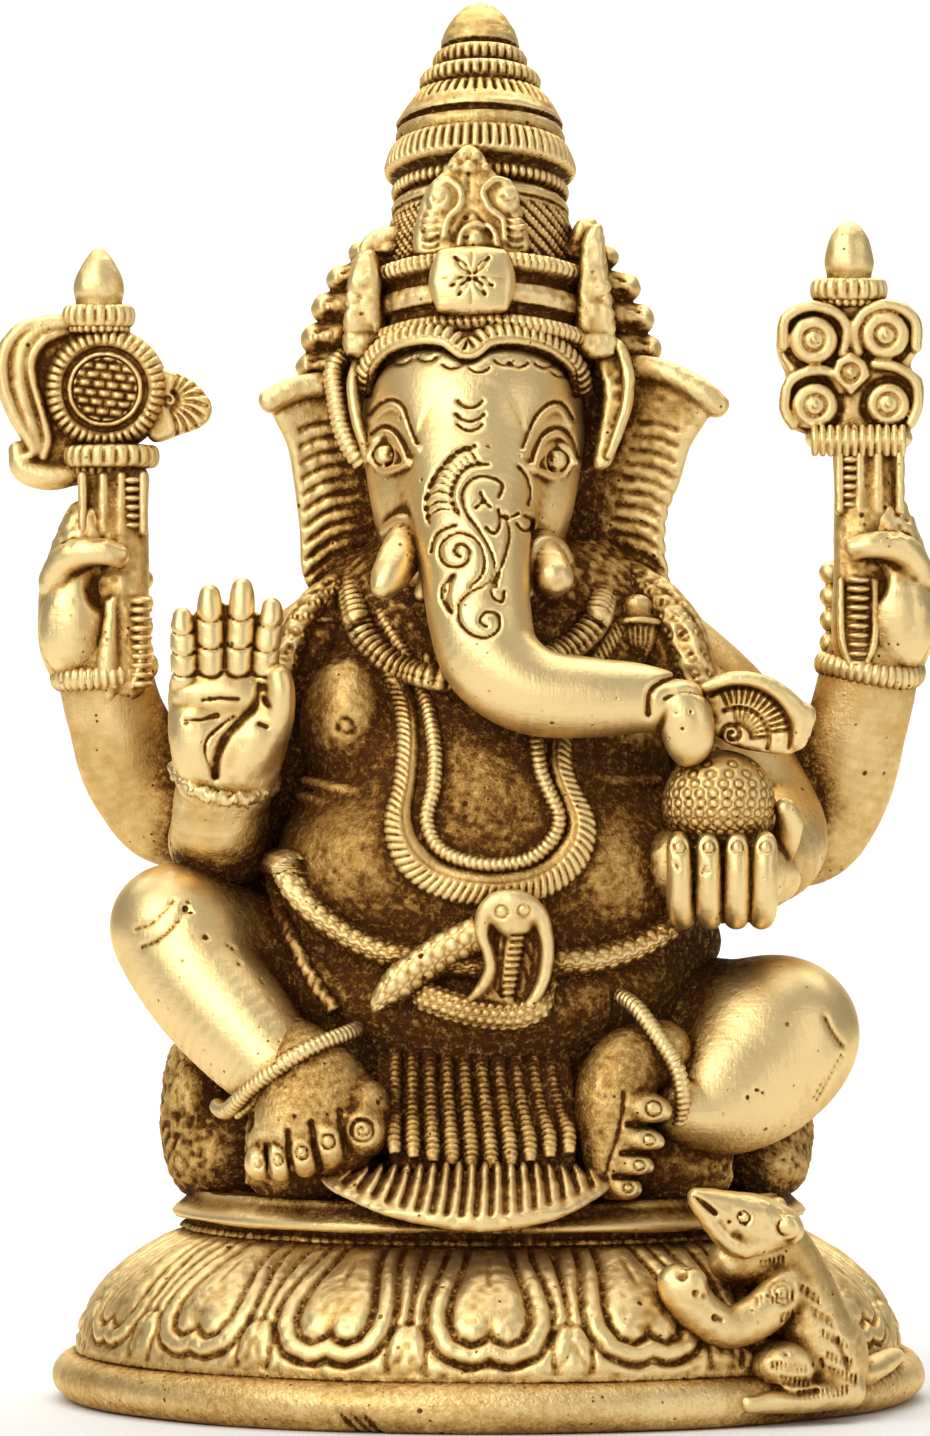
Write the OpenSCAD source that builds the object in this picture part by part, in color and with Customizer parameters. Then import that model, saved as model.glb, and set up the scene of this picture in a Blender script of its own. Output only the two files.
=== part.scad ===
// Seated elephant-headed deity idol in cast brass, on a round lotus pedestal with a mouse at its foot.
// Units are millimetres. The origin is the centre of the foot ring, Z is up and -Y is the front.
// "Right" and "left" are the deity's own: its right side is -X.

/* [Display] */
// Which sub-part to draw, or "all"

/* [Pedestal] */
// Outer radius of the foot rim
rim_radius = 63.4;
// Height of the foot rim
rim_height = 7;
// Thickness of the cast pedestal wall
wall = 3.6;
// Number of large lotus petals
petal_count = 16;
// Radius of the round plate the deity sits on
plate_radius = 45.6;
// Underside of the seat plate
plate_bottom = 27;
// Top of the seat plate
plate_top = 30.2;

/* [Figure] */
// Number of cords in the pleated front of the garment
pleat_count = 9;
// Radius of the snake belt
snake_radius = 2;
// Radius of the rope garland
garland_radius = 1.7;
// Radius of the bead garland
bead_radius = 1.15;

/* [Crown] */
// How far the crown leans back, in degrees
crown_lean = 14;
// Where the crown's axis meets the head
crown_foot = [-1.2, -2, 150];
// Height of the crown along its axis
crown_height = 55;

/* [Hidden] */
$fn = 48;
front = [0, -1, 0];
up = [0, 0, 1];
brass_bright = [0.86, 0.73, 0.44];
brass = [0.78, 0.64, 0.37];
brass_dark = [0.62, 0.48, 0.26];

// ---------- Curves and swept solids ----------

function xyz(p) = [p[0], p[1], p[2]];
function unit(v) = v / norm(v);

// One span of a smooth curve, at the fraction t between b and c
function blend(a, b, c, d, t) =
    0.5 * (2 * b + (c - a) * t + (2 * a - 5 * b + 4 * c - d) * t * t + (3 * b - a - 3 * c + d) * t * t * t);

function curve(p, steps) =
    let (m = len(p) - 1)
    [for (i = [0 : m - 1], j = [0 : steps - 1])
        blend(p[max(i - 1, 0)], p[i], p[i + 1], p[min(i + 2, m)], j / steps), p[m]];

function closed_curve(p, steps) =
    let (m = len(p))
    [for (i = [0 : m - 1], j = [0 : steps - 1])
        blend(p[(i + m - 1) % m], p[i], p[(i + 1) % m], p[(i + 2) % m], j / steps)];

// The points of one cross-section: half-widths station[3] across and station[4] towards the face direction
function section(station, tangent, sides, face) =
    let (across = unit(cross(tangent, face)), out = cross(across, tangent))
    [for (k = [0 : sides - 1])
        xyz(station) + across * station[3] * cos(360 * k / sides) + out * station[4] * sin(360 * k / sides)];

function side_faces(ring_a, ring_b, sides) =
    [for (k = [0 : sides - 1])
        let (a = ring_a * sides + k, b = ring_a * sides + (k + 1) % sides,
             c = ring_b * sides + (k + 1) % sides, d = ring_b * sides + k)
        each [[a, b, c], [a, c, d]]];

// A rounded solid swept through stations of [x, y, z, half-width, half-depth]
module limb(stations, steps = 3, sides = 12, face = front) {
    path = curve(stations, steps);
    last = len(path) - 1;
    points = [for (i = [0 : last])
        let (tangent = unit(xyz(path[min(i + 1, last)]) - xyz(path[max(i - 1, 0)])))
        each section(path[i], tangent, sides, face)];
    faces = [for (i = [0 : last - 1]) each side_faces(i, i + 1, sides)];
    start_cap = [for (k = [sides - 1 : -1 : 0]) k];
    end_cap = [for (k = [0 : sides - 1]) last * sides + k];
    polyhedron(points = points, faces = concat(faces, [start_cap, end_cap]), convexity = 6);
}

// The same, closed on itself like a necklace
module loop(stations, steps = 3, sides = 8, face = front) {
    path = closed_curve(stations, steps);
    count = len(path);
    points = [for (i = [0 : count - 1])
        let (tangent = unit(xyz(path[(i + 1) % count]) - xyz(path[(i + count - 1) % count])))
        each section(path[i], tangent, sides, face)];
    faces = [for (i = [0 : count - 1]) each side_faces(i, (i + 1) % count, sides)];
    polyhedron(points = points, faces = faces, convexity = 8);
}

module blob(centre, radii) {
    translate(centre)
        scale(radii)
            sphere(r = 1);
}

module ring(radius, thickness) {
    rotate_extrude()
        translate([radius, 0])
            circle(r = thickness);
}

// A flat plate standing in the XZ plane, its front at y = -depth
module standing_plate(outline, depth) {
    rotate([90, 0, 0])
        linear_extrude(height = depth)
            polygon(outline);
}

// ---------- The torso's surface, which the ornaments lie on ----------

torso_rings = [
    [0, -4, 30.4, 33, 27],
    [0, -5, 40, 36, 29],
    [0, -6, 50, 35, 29],
    [0, -7, 60, 32, 29],
    [0, -7, 72, 31, 28.5],
    [0, -6.5, 82, 29.5, 26.5],
    [0, -5, 91, 27, 22.5],
    [0, -4, 99, 28, 21],
    [0, -3, 106, 29, 18.5],
    [0, -2.5, 112, 27, 15.5],
    [0, -2, 117, 19, 13],
    [0, -2, 122, 13, 11]
];

torso_path = curve(torso_rings, 3);
function torso_value(z, index) = lookup(z, [for (p = torso_path) [p[2], p[index]]]);

// A point on the front of the torso at x and z, raised by lift
function on_torso(x, z, lift) =
    let (half = torso_value(z, 3), deep = torso_value(z, 4))
    [x, torso_value(z, 1) - deep * sqrt(max(0.04, 1 - x * x / half / half)) - lift, z];

function strand(p, lift, w, h) = let (q = on_torso(p[0], p[1], lift)) [q[0], q[1], q[2], w, h];

// ---------- Pedestal ----------

module plinth_rim() {
    rotate_extrude()
        polygon([
            [rim_radius - wall - 1.5, 0], [rim_radius - 3, 0], [rim_radius - 1, 1], [rim_radius, 2.6],
            [rim_radius, 4], [rim_radius - 0.7, 5.8], [rim_radius - 2.2, rim_height],
            [rim_radius - wall - 1.5, rim_height]
        ]);
}

bell_outline = [[60, 7], [59.4, 9.5], [57.6, 13.5], [53.9, 17.8], [48.8, 21.8], [45, 24.4]];

module lotus_bell() {
    inner = [for (i = [len(bell_outline) - 1 : -1 : 0]) bell_outline[i] - [wall, i > 3 ? 1.5 : 0]];
    rotate_extrude()
        polygon(concat(curve(bell_outline, 4), inner));
}

module lotus_petals() {
    for (i = [0 : petal_count - 1])
        rotate([0, 0, (i + 0.5) * 360 / petal_count - 90 - 180 / petal_count])
            limb([
                [46.4, 0, 24, 5.5, 0.9],
                [50.8, 0, 20.8, 8.6, 1.5],
                [55.4, 0, 16.8, 9.5, 1.7],
                [58.6, 0, 12.2, 8.8, 1.6],
                [60.2, 0, 8.4, 5, 1]
            ], steps = 2, sides = 10, face = [0.7, 0, 0.7]);
}

module neck_collar() {
    rotate_extrude()
        polygon([[40.8, 23.4], [44.4, 24.4], [43.4, 25.4], [43.2, 26.2], [44, plate_bottom], [40.8, plate_bottom]]);
}

module seat_plate() {
    rotate_extrude()
        polygon([
            [0, plate_bottom], [plate_radius - 0.8, plate_bottom], [plate_radius, plate_bottom + 0.9],
            [plate_radius, plate_top - 0.9], [plate_radius - 0.8, plate_top], [0, plate_top]
        ]);
}

// Rough-cast cushion behind the legs, open at the front
module cushion() {
    limb([
        [-37, -8, 37, 5, 6.5],
        [-41.5, 2, 38, 5, 7.6],
        [-37, 17, 37.5, 5.5, 7.4],
        [-21, 31, 37, 5.8, 7],
        [0, 36.5, 37, 6, 7],
        [21, 31, 37, 5.8, 7],
        [37, 17, 37.5, 5.5, 7.4],
        [41.5, 2, 37.5, 5, 7.4],
        [37.5, -8, 36.5, 5, 6.4]
    ], steps = 3, sides = 10, face = up);
}

// ---------- Legs ----------

module right_leg() {
    union() {
        limb([
            [-14, -8, 50, 12, 11],
            [-28, -12, 56, 13, 12],
            [-38, -16, 63, 11.5, 11],
            [-44, -19, 67.5, 9.2, 9.5],
            [-49, -21, 69.5, 4.5, 5]
        ], sides = 14);
        limb([
            [-47.5, -20, 71, 5, 5],
            [-44.5, -20.5, 67.5, 9.4, 9],
            [-40, -24, 60.5, 9, 8.6],
            [-34.5, -29, 54.5, 8.2, 7.8],
            [-29, -34, 49.5, 6.4, 6]
        ], sides = 14);
    }
}

module toes(places, size) {
    for (p = places)
        blob(xyz(p), size * p[3]);
}

module right_foot() {
    union() {
        limb([
            [-31, -31, 52, 5.6, 5],
            [-28, -35, 49, 7.4, 6],
            [-25.8, -38.5, 45, 8.8, 4.6],
            [-24.5, -40.5, 41, 9, 3.6],
            [-24.2, -41.2, 38.4, 7.6, 2.8]
        ], sides = 14);
        toes([
            [-17.8, -41.4, 41, 1.25],
            [-22.4, -42.2, 39.6, 1],
            [-25.8, -42, 37.9, 0.95],
            [-29.2, -41.4, 36.8, 0.9],
            [-32, -40.4, 36, 0.85]
        ], [2.3, 2.6, 2.8]);
    }
}

module right_anklet() {
    limb([
        [-38, -27.5, 45.4, 1, 1],
        [-35, -34.5, 44.6, 1, 1],
        [-29, -39.6, 47.4, 1, 1],
        [-23.6, -38.4, 51.8, 1, 1],
        [-20.4, -33.5, 55, 1, 1]
    ], sides = 8, face = [1, 0, -1]);
}

module left_leg() {
    union() {
        limb([
            [13, -8, 52, 12, 12],
            [26, -13, 57, 12.4, 12],
            [36, -18, 56.5, 9.6, 10],
            [43, -21, 54.5, 8.6, 9.4],
            [48.5, -22, 54, 5, 5.5]
        ], sides = 14);
        limb([
            [48, -22, 53.5, 5.5, 5.5],
            [43.5, -24, 51.5, 8.6, 8.4],
            [37, -28, 48, 8.8, 8.4],
            [31, -32, 47.4, 8.4, 7.4],
            [25.5, -35, 49.4, 6.6, 5.4]
        ], sides = 14);
    }
}

module left_foot() {
    union() {
        limb([
            [25.5, -33, 51, 6, 4.6],
            [20.6, -36, 50.5, 6.6, 4.4],
            [17.2, -38.6, 46, 6, 3.8],
            [15, -40.2, 40, 5, 3.4],
            [13.6, -40.8, 35.6, 3.4, 2.6]
        ], sides = 12);
        toes([
            [22, -39.8, 46, 1.15],
            [20.6, -40.6, 41.6, 1],
            [19.6, -41, 38.4, 0.95],
            [17.6, -41.2, 35.2, 0.9]
        ], [3, 2.4, 1.9]);
    }
}

module left_anklet() {
    limb([
        [18, -33, 59.6, 1, 1],
        [22.4, -37.6, 56.4, 1, 1],
        [25.4, -39.6, 51.4, 1, 1],
        [26.4, -38.6, 46.4, 1, 1],
        [25, -36, 42.6, 1, 1]
    ], sides = 8, face = [1, 0, 0.4]);
}

// ---------- Garment ----------

module dhoti_hem() {
    outline = concat(
        curve([[-19.6, 33], [-14, 29.6], [-7, 27.6], [0, 27], [7, 27.6], [12.5, 29.6], [16, 33]], 3),
        curve([[12, 34], [0, 35.2], [-14, 34]], 3)
    );
    translate([0, -37, 0])
        rotate([-4, 0, 0])
            standing_plate(outline, 7.2);
}

module dhoti_pleats() {
    for (i = [0 : pleat_count - 1]) {
        offset = i - (pleat_count - 1) / 2;
        x_top = -2.2 + offset * 2.75;
        x_low = -0.8 + offset * 2.45;
        z_low = 35.6 + abs(offset) * 0.75;
        depth = -36.4 - 1.8 * (1 - offset * offset / 20);
        limb([
            [x_top, depth + 3.2, 51.5, 0.9, 0.9],
            [x_top, depth + 0.4, 48.6, 1.25, 1.25],
            [(x_top + x_low) / 2, depth - 1.6, 43, 1.25, 1.25],
            [x_low, depth - 3.4, z_low + 1.6, 1.3, 1.3],
            [x_low, depth - 3.8, z_low, 0.8, 0.8]
        ], steps = 2, sides = 8);
    }
}

// ---------- Torso and what hangs on it ----------

module torso() {
    union() {
        limb(torso_rings, steps = 3, sides = 28);
        blob([-19, -19.5, 99], [8.6, 7, 8.4]);
        blob([17, -18.5, 96.5], [8.6, 7, 8.4]);
    }
}

module shawl() {
    for (side = [-1, 1])
        limb([
            [side * 12, 6, 122, 1.4, 3],
            [side * 21, -4, 119, 1.6, 4],
            [side * 28, -12, 113, 1.6, 4.4],
            [side * 30.5, -15, 106, 1.6, 4],
            [side * 31.5, -14, 99, 1.4, 3]
        ], steps = 3, sides = 8, face = front);
}

module necklace_band() {
    loop([
        strand([-15.5, 109.5], 0.6, 1.7, 1.5),
        strand([-9, 106.5], 0.6, 1.7, 1.5),
        strand([-1, 105.4], 0.6, 1.7, 1.5),
        strand([7, 106.5], 0.6, 1.7, 1.5),
        strand([13, 109.5], 0.6, 1.7, 1.5),
        [17.5, -13, 115.6, 1.7, 1.5],
        [16, -2, 120, 1.7, 1.5],
        [8, 9.4, 121, 1.7, 1.5],
        [-2, 12, 121, 1.7, 1.5],
        [-12, 8, 121, 1.7, 1.5],
        [-18.5, -2, 120, 1.7, 1.5],
        [-19.2, -13, 115.8, 1.7, 1.5]
    ], steps = 3, sides = 8, face = [0, -1, 1]);
}

module pendants() {
    for (x = [-23.4, 20.6]) {
        p = on_torso(x, 110.6, 2.2);
        limb([
            [p[0], p[1] + 1, 114.6, 0.8, 0.8],
            [p[0], p[1], 113, 1.5, 1.3],
            [p[0], p[1] - 0.6, 110, 1.3, 1.2],
            [p[0], p[1] - 0.4, 107.6, 1.9, 1.5]
        ], steps = 2, sides = 8);
    }
}

module rope_garland() {
    w = garland_radius;
    loop([
        strand([-14, 104.6], 0.9, w, w),
        strand([-12, 96], 0.9, w, w),
        strand([-12.4, 86], 0.9, w, w),
        strand([-10.4, 78], 0.9, w, w),
        strand([-4, 74.2], 0.9, w, w),
        strand([5, 74.2], 0.9, w, w),
        strand([11.6, 77.6], 0.9, w, w),
        strand([12.6, 86], 0.9, w, w),
        strand([11, 95], 0.9, w, w),
        strand([13, 104], 0.9, w, w),
        [20, -12, 113.4, w, w],
        [17, 4, 118, w, w],
        [0, 13, 118.4, w, w],
        [-17, 4, 118, w, w],
        [-21, -12, 113.6, w, w]
    ], steps = 4, sides = 8, face = [0, -1, 0.6]);
}

module bead_garland() {
    w = bead_radius;
    loop([
        strand([-10, 104.4], 0.7, w, w),
        strand([-7.8, 95], 0.7, w, w),
        strand([-8.8, 85.6], 0.7, w, w),
        strand([-5.6, 79.6], 0.7, w, w),
        strand([0.2, 77.8], 0.7, w, w),
        strand([6.2, 79.6], 0.7, w, w),
        strand([9.2, 85.6], 0.7, w, w),
        strand([7, 94], 0.7, w, w),
        strand([9, 104], 0.7, w, w),
        [15, -14, 114.6, w, w],
        [13, 4, 120, w, w],
        [0, 11.6, 120.4, w, w],
        [-13, 4, 120, w, w],
        [-16.4, -14, 114.8, w, w]
    ], steps = 3, sides = 8, face = [0, -1, 0.6]);
}

// The snake goes right round the waist
module snake_belt() {
    r = snake_radius;
    loop([
        strand([-27.6, 75.6], 0.8, r, r),
        strand([-23.6, 70.4], 1, r, r),
        strand([-15, 66], 1.2, r, r),
        strand([-4, 64.4], 1.4, r, r),
        strand([8, 64.2], 1.4, r, r),
        strand([17, 65.4], 1.2, r, r),
        strand([25, 69.4], 1, r, r),
        strand([28.6, 73], 0.8, r, r),
        [31.6, -2, 75, r, r],
        [25, 14, 75, r, r],
        [9, 21.6, 75, r, r],
        [-9, 21.6, 75.4, r, r],
        [-25, 14, 76.4, r, r],
        [-31.4, -2, 77, r, r]
    ], steps = 4, sides = 10, face = up);
}

module snake_tail() {
    limb([
        strand([-15.6, 59], 0.4, 0.8, 0.8),
        strand([-11.6, 62], 1.4, 1.5, 1.5),
        strand([-7.6, 65.4], 2, 1.7, 1.7),
        strand([-3.6, 68.8], 1.4, 1.7, 1.7)
    ], steps = 3, sides = 10);
}

module cobra_hood() {
    union() {
        limb([
            strand([3, 57.6], 1.2, 1.5, 1.2),
            strand([2.9, 62], 2.4, 4, 1.8),
            strand([2.9, 68], 2.8, 5.6, 1.9),
            strand([3, 72], 3, 4.4, 1.8),
            strand([3.1, 74.6], 2.4, 1.6, 1.1)
        ], steps = 3, sides = 14);
        blob(on_torso(3.3, 72, 4.6), [2.4, 2, 2.6]);
    }
}

// ---------- Arms and hands ----------

module upper_right_arm() {
    limb([
        [-20, 0, 108, 11, 10],
        [-32, 2, 99, 11.4, 10.5],
        [-40, 3, 89.5, 10.4, 10],
        [-46.5, 3, 86.6, 9.2, 9],
        [-51.6, 1, 91.6, 8.2, 8],
        [-54.2, -1, 98.6, 7.6, 7.4],
        [-55.8, -2, 105, 7.4, 6.8]
    ], sides = 14);
}

module upper_left_arm() {
    limb([
        [20, 0, 108, 11, 10],
        [32, 2, 98, 11.4, 10.5],
        [40, 3, 87, 10.6, 10],
        [46.4, 3, 84, 9.6, 9.4],
        [51, 1, 90, 8.4, 8],
        [53.6, -1, 98, 7.4, 7.2],
        [55.4, -2, 105.4, 7.2, 6.6]
    ], sides = 14);
}

// Fingers wrapped round an upright baton; side is the direction they start from
module gripping_hand(centre, side, bottom) {
    union() {
        limb([
            [centre[0] + side * 1.5, centre[1] + 1.5, bottom, 6, 5.4],
            [centre[0] + side * 2.6, centre[1] + 2, bottom + 5, 6.2, 5.6],
            [centre[0] + side * 3, centre[1] + 2, bottom + 11, 5.8, 5.4],
            [centre[0] + side * 2.6, centre[1] + 2, bottom + 16.5, 4.6, 4.6]
        ], steps = 2, sides = 12);
        for (i = [0 : 3])
            limb([
                [centre[0] + side * 5.4, centre[1] + 4.6, bottom + 2.8 + 3.3 * i, 1.9, 1.9],
                [centre[0] + side * 1.4, centre[1] + 6.4, bottom + 2.6 + 3.3 * i, 1.9, 1.9],
                [centre[0] - side * 2.8, centre[1] + 5.4, bottom + 2.4 + 3.3 * i, 1.9, 1.9],
                [centre[0] - side * 5, centre[1] + 2.4, bottom + 2.2 + 3.3 * i, 1.6, 1.6]
            ], steps = 2, sides = 8, face = up);
        limb([
            [centre[0] + side * 5.2, centre[1] - 2, bottom + 13.4, 2.3, 2.3],
            [centre[0] + side * 4.4, centre[1] - 4.6, bottom + 15.8, 2.2, 2.2],
            [centre[0] + side * 1, centre[1] - 5.8, bottom + 16.8, 2, 2],
            [centre[0] - side * 4.2, centre[1] - 5, bottom + 16.4, 1.6, 1.6]
        ], steps = 2, sides = 8, face = up);
    }
}

module upper_right_hand() {
    gripping_hand([-57.6, -3, 0], -1, 106.4);
}

module upper_left_hand() {
    gripping_hand([55.4, -3, 0], 1, 106.2);
}

module bangle(centre, radius) {
    translate(centre)
        rotate([0, 0, 0])
            ring(radius, 1.4);
}

module right_bangle() {
    bangle([-55.8, -2, 105.4], 7);
}

module left_bangle() {
    bangle([55.4, -2, 106], 6.9);
}

// An upright baton of stacked oval beads
module baton(x, bottom, top, low_radius, high_radius, beads) {
    step = (top - bottom) / beads;
    translate([x, -3, bottom])
        rotate_extrude()
            polygon(concat([[0, 0]],
                [for (i = [0 : beads - 1], j = [0 : 5])
                    let (r = low_radius + (high_radius - low_radius) * (i + 0.5) / beads)
                    [r - 0.9 + 0.9 * sin(j * 180 / 5), step * (i + j / 5 * 0.98)]],
                [[0, top - bottom]]));
}

module right_baton() {
    union() {
        baton(-53.2, 98.6, 125, 2.9, 3.6, 6);
        baton(-55.4, 124, 135, 5, 5.6, 2);
    }
}

module left_baton() {
    union() {
        baton(53.6, 99.6, 125.4, 3.6, 4, 6);
        baton(54.4, 124.6, 137, 5.2, 5.8, 2);
    }
}

// ---------- The two emblems held up by the upper hands ----------

module disc_emblem() {
    centre = [-55.4, 0, 146.4];
    union() {
        translate(centre)
            rotate([90, 0, 0])
                translate([0, 0, -3])
                    cylinder(h = 7, r = 8);
        translate(centre)
            rotate([90, 0, 0])
                ring(7.6, 1.5);
        translate(centre + [0, -3.6, 0])
            rotate([90, 0, 0])
                ring(6, 0.9);
        blob(centre + [0, -3, 0], [4.6, 3.2, 4.6]);
        translate([-55, 0, 134.6])
            cylinder(h = 5, r1 = 6.6, r2 = 5);
    }
}

module finial(centre, width) {
    translate(centre)
        rotate_extrude()
            polygon([
                [0, 0], [width * 0.7, 0], [width * 0.96, 0.8], [width, 1.8], [width * 0.9, 3], [width * 0.66, 3.6],
                [width * 0.6, 4.4], [width * 0.68, 5.6], [width * 0.68, 7.4], [width * 0.56, 9.2],
                [width * 0.34, 10.6], [0, 11.4]
            ]);
}

module disc_finial() {
    finial([-56.2, -1, 154.8], 5.1);
}

module boss_finial() {
    finial([52.4, -1, 158.6], 5.6);
}

module flame_scroll() {
    limb([
        [-60.5, 0, 155.2, 1, 1.4],
        [-64.6, 0, 155, 1.7, 2],
        [-67.8, 0, 152.4, 2.2, 2.4],
        [-68.6, 0, 147.4, 2.2, 2.6],
        [-67.4, 0, 142, 2.2, 2.6],
        [-66, 0, 137.4, 2, 2.2],
        [-62.4, 0, 134.4, 1.6, 1.8],
        [-58.8, 0, 134, 1.1, 1.2]
    ], steps = 3, sides = 10);
}

module emblem_leaf() {
    outline = curve([[-49, 149.4], [-46.2, 149], [-42.4, 147.2], [-40, 143.6], [-41.4, 141], [-45.6, 139.4],
        [-49, 138.6]], 3);
    translate([0, 1.4, 0])
        standing_plate(outline, 3.6);
}

module boss_emblem() {
    outline = closed_curve([[46, 158.6], [52.6, 159.6], [59.4, 158.8], [62, 154], [61.6, 149], [62.8, 144],
        [60.4, 140.4], [53, 139.6], [45.8, 140.2], [43.4, 144], [44.2, 148.6], [43, 153.6]], 3);
    union() {
        translate([0, 2.4, 0])
            standing_plate(outline, 6.4);
        for (p = [[47.4, 153.2], [57.6, 153.8], [47.6, 144.4], [57.8, 144.6]])
            blob([p[0], -3.4, p[1]], [3.4, 2.6, 3.4]);
        blob([52.5, -3.6, 148.9], [2, 1.8, 2.4]);
    }
}

// ---------- The lower pair of arms ----------

module lower_right_arm() {
    limb([
        [-22, -6, 104, 8.5, 8],
        [-31, -7, 94, 9, 8.6],
        [-37.4, -10, 82.4, 8, 8],
        [-38.4, -17, 82.2, 7.4, 7.6],
        [-37.8, -22, 88, 7, 5.6]
    ], sides = 12);
}

module open_palm() {
    union() {
        limb([
            [-37.6, -22.4, 87, 6.6, 4.8],
            [-37.2, -24, 92, 8, 4.4],
            [-37, -25, 98, 8.3, 4],
            [-37, -25.4, 104.6, 7.8, 3.2]
        ], steps = 2, sides = 12);
        for (f = [[-43, 113.6, 1.5], [-39.3, 116.8, 1.8], [-35.2, 117.8, 1.95], [-31.4, 115, 1.8]])
            limb([
                [f[0] * 0.96 - 1.4, -25.2, 102.4, f[2], f[2]],
                [f[0], -26, 107.6, f[2] * 1.05, f[2]],
                [f[0], -26.4, f[1] - 3, f[2], f[2]],
                [f[0], -26.2, f[1] - 0.6, f[2] * 0.8, f[2] * 0.8],
                [f[0], -26, f[1], f[2] * 0.4, f[2] * 0.4]
            ], steps = 2, sides = 8);
        limb([
            [-32.4, -24, 95, 2.4, 2.6],
            [-30.2, -26.6, 99.6, 2.2, 2.4],
            [-29.9, -28, 103.6, 1.9, 2],
            [-30.3, -28.2, 106.4, 1, 1.1]
        ], steps = 2, sides = 8);
    }
}

module lower_left_arm() {
    limb([
        [22, -6, 104, 8.5, 8],
        [32, -6, 95, 9.2, 8.6],
        [39.6, -9, 84, 8.6, 8.4],
        [40.6, -17, 80, 7.8, 7.6],
        [37, -24, 79, 7.2, 6.2]
    ], sides = 12);
}

module sweet_hand() {
    union() {
        limb([
            [39, -22, 76.6, 5, 6],
            [35.4, -27, 78, 7.6, 6.6],
            [31, -28.6, 78.4, 8, 6],
            [26.4, -28, 78, 6, 4.6]
        ], steps = 2, sides = 12);
        for (x = [25.9, 30.2, 34.5, 38.9])
            limb([
                [x, -28.4, 73.6, 1.9, 1.9],
                [x, -32.6, 72.2, 2.1, 2.1],
                [x, -35, 75, 2.1, 2.1],
                [x, -34.8, 79.6, 2, 2],
                [x, -33.6, 82.6, 1.5, 1.5]
            ], steps = 2, sides = 8, face = [1, 0, 0]);
        limb([
            [41.4, -24, 81, 2.2, 2.2],
            [42.6, -28, 84.6, 2.2, 2.2],
            [41.4, -30.6, 87.4, 1.4, 1.4]
        ], steps = 2, sides = 8, face = [1, 0, 0]);
    }
}

module sweet_ball() {
    blob([32.8, -30.8, 87.4], [7.6, 6.6, 6.2]);
}

// ---------- Head ----------

module head() {
    union() {
        limb([
            [-1.2, -1, 116, 9, 9],
            [-2, -3, 121, 13, 13],
            [-2.4, -4, 128, 16, 16.4],
            [-2.4, -4, 136, 17, 17.6],
            [-2.2, -4, 144, 17, 17.4],
            [-1.8, -3, 151, 16.4, 16.4],
            [-1.4, -1.6, 157, 14, 14]
        ], sides = 20);
        blob([-14.2, -14.6, 136.6], [2.9, 2.6, 2.2]);
        blob([9.4, -14.6, 136.4], [2.9, 2.6, 2.2]);
    }
}

module trunk() {
    limb([
        [-2.4, -13, 144, 8, 7],
        [-2.4, -19, 137, 9.6, 8],
        [-2.3, -24.6, 128, 9, 7.8],
        [-1.9, -28.6, 120, 8.2, 7.2],
        [-1.2, -31.4, 112.6, 7.4, 6.6],
        [1.4, -33.4, 105.8, 6.8, 6.2],
        [7.6, -34.6, 101.9, 6, 5.8],
        [15.4, -34.6, 101.7, 5.6, 5.4],
        [23, -34, 101.6, 4.7, 4.7],
        [28, -33.4, 99.8, 4.4, 4.4],
        [30.2, -33, 95.8, 3.6, 3.6],
        [29.4, -32.8, 92.8, 2, 2]
    ], sides = 16);
}

module trunk_leaf() {
    limb([
        [30, -31.6, 97, 1.6, 1.4],
        [33.4, -31.4, 102.8, 2.6, 1.9],
        [38.6, -30.6, 103.8, 2.8, 2],
        [43.4, -29.6, 101.2, 2.6, 1.9],
        [44.6, -28.6, 96.4, 2.2, 1.7],
        [41.4, -28.6, 93.6, 1.6, 1.4]
    ], sides = 10);
}

module tusks() {
    limb([
        [-10.6, -15, 122.6, 2.6, 2.6],
        [-12.2, -21, 119.6, 2.5, 2.5],
        [-13.4, -24.4, 117, 2.1, 2.1],
        [-13.8, -25.6, 116, 1.1, 1.1]
    ], steps = 2, sides = 10);
    limb([
        [6.4, -15, 122.4, 2.6, 2.6],
        [8, -21, 119.4, 2.6, 2.6],
        [9, -23.4, 117.6, 2.5, 2.5]
    ], steps = 2, sides = 10);
}

module ear(outline) {
    translate([0, 2, 0])
        rotate([5, 0, 0])
            translate([0, 10.5, 0])
                standing_plate(closed_curve(outline, 3), 4);
}

module right_ear() {
    ear([[-16.6, 146.4], [-21.4, 148.4], [-27.6, 147.8], [-32.4, 145.4], [-31, 141.4], [-29.6, 135], [-28.6, 127],
        [-27.4, 120.4], [-24, 116], [-18.6, 115.6], [-14.6, 119], [-14, 130], [-14.4, 140]]);
}

module left_ear() {
    ear([[12.6, 148], [20.6, 150], [27.4, 148.6], [32.6, 144], [30.4, 139.6], [28, 133.6], [26.2, 126],
        [26.2, 119.6], [23.4, 115.4], [17, 115], [12.4, 118.4], [12, 130], [12, 140]]);
}

module ear_straps() {
    limb([
        [-19.6, -6, 151, 1.5, 1.5],
        [-20.4, -8, 144, 1.7, 1.6],
        [-19.4, -9, 138.4, 1.7, 1.6],
        [-17.6, -9, 135, 1.3, 1.3]
    ], sides = 8);
    limb([
        [16.8, -6, 154, 1.5, 1.5],
        [17.6, -8, 146, 1.8, 1.6],
        [17.6, -9, 139.6, 1.8, 1.6],
        [16.4, -9.4, 134.6, 1.4, 1.4]
    ], sides = 8);
}

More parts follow.
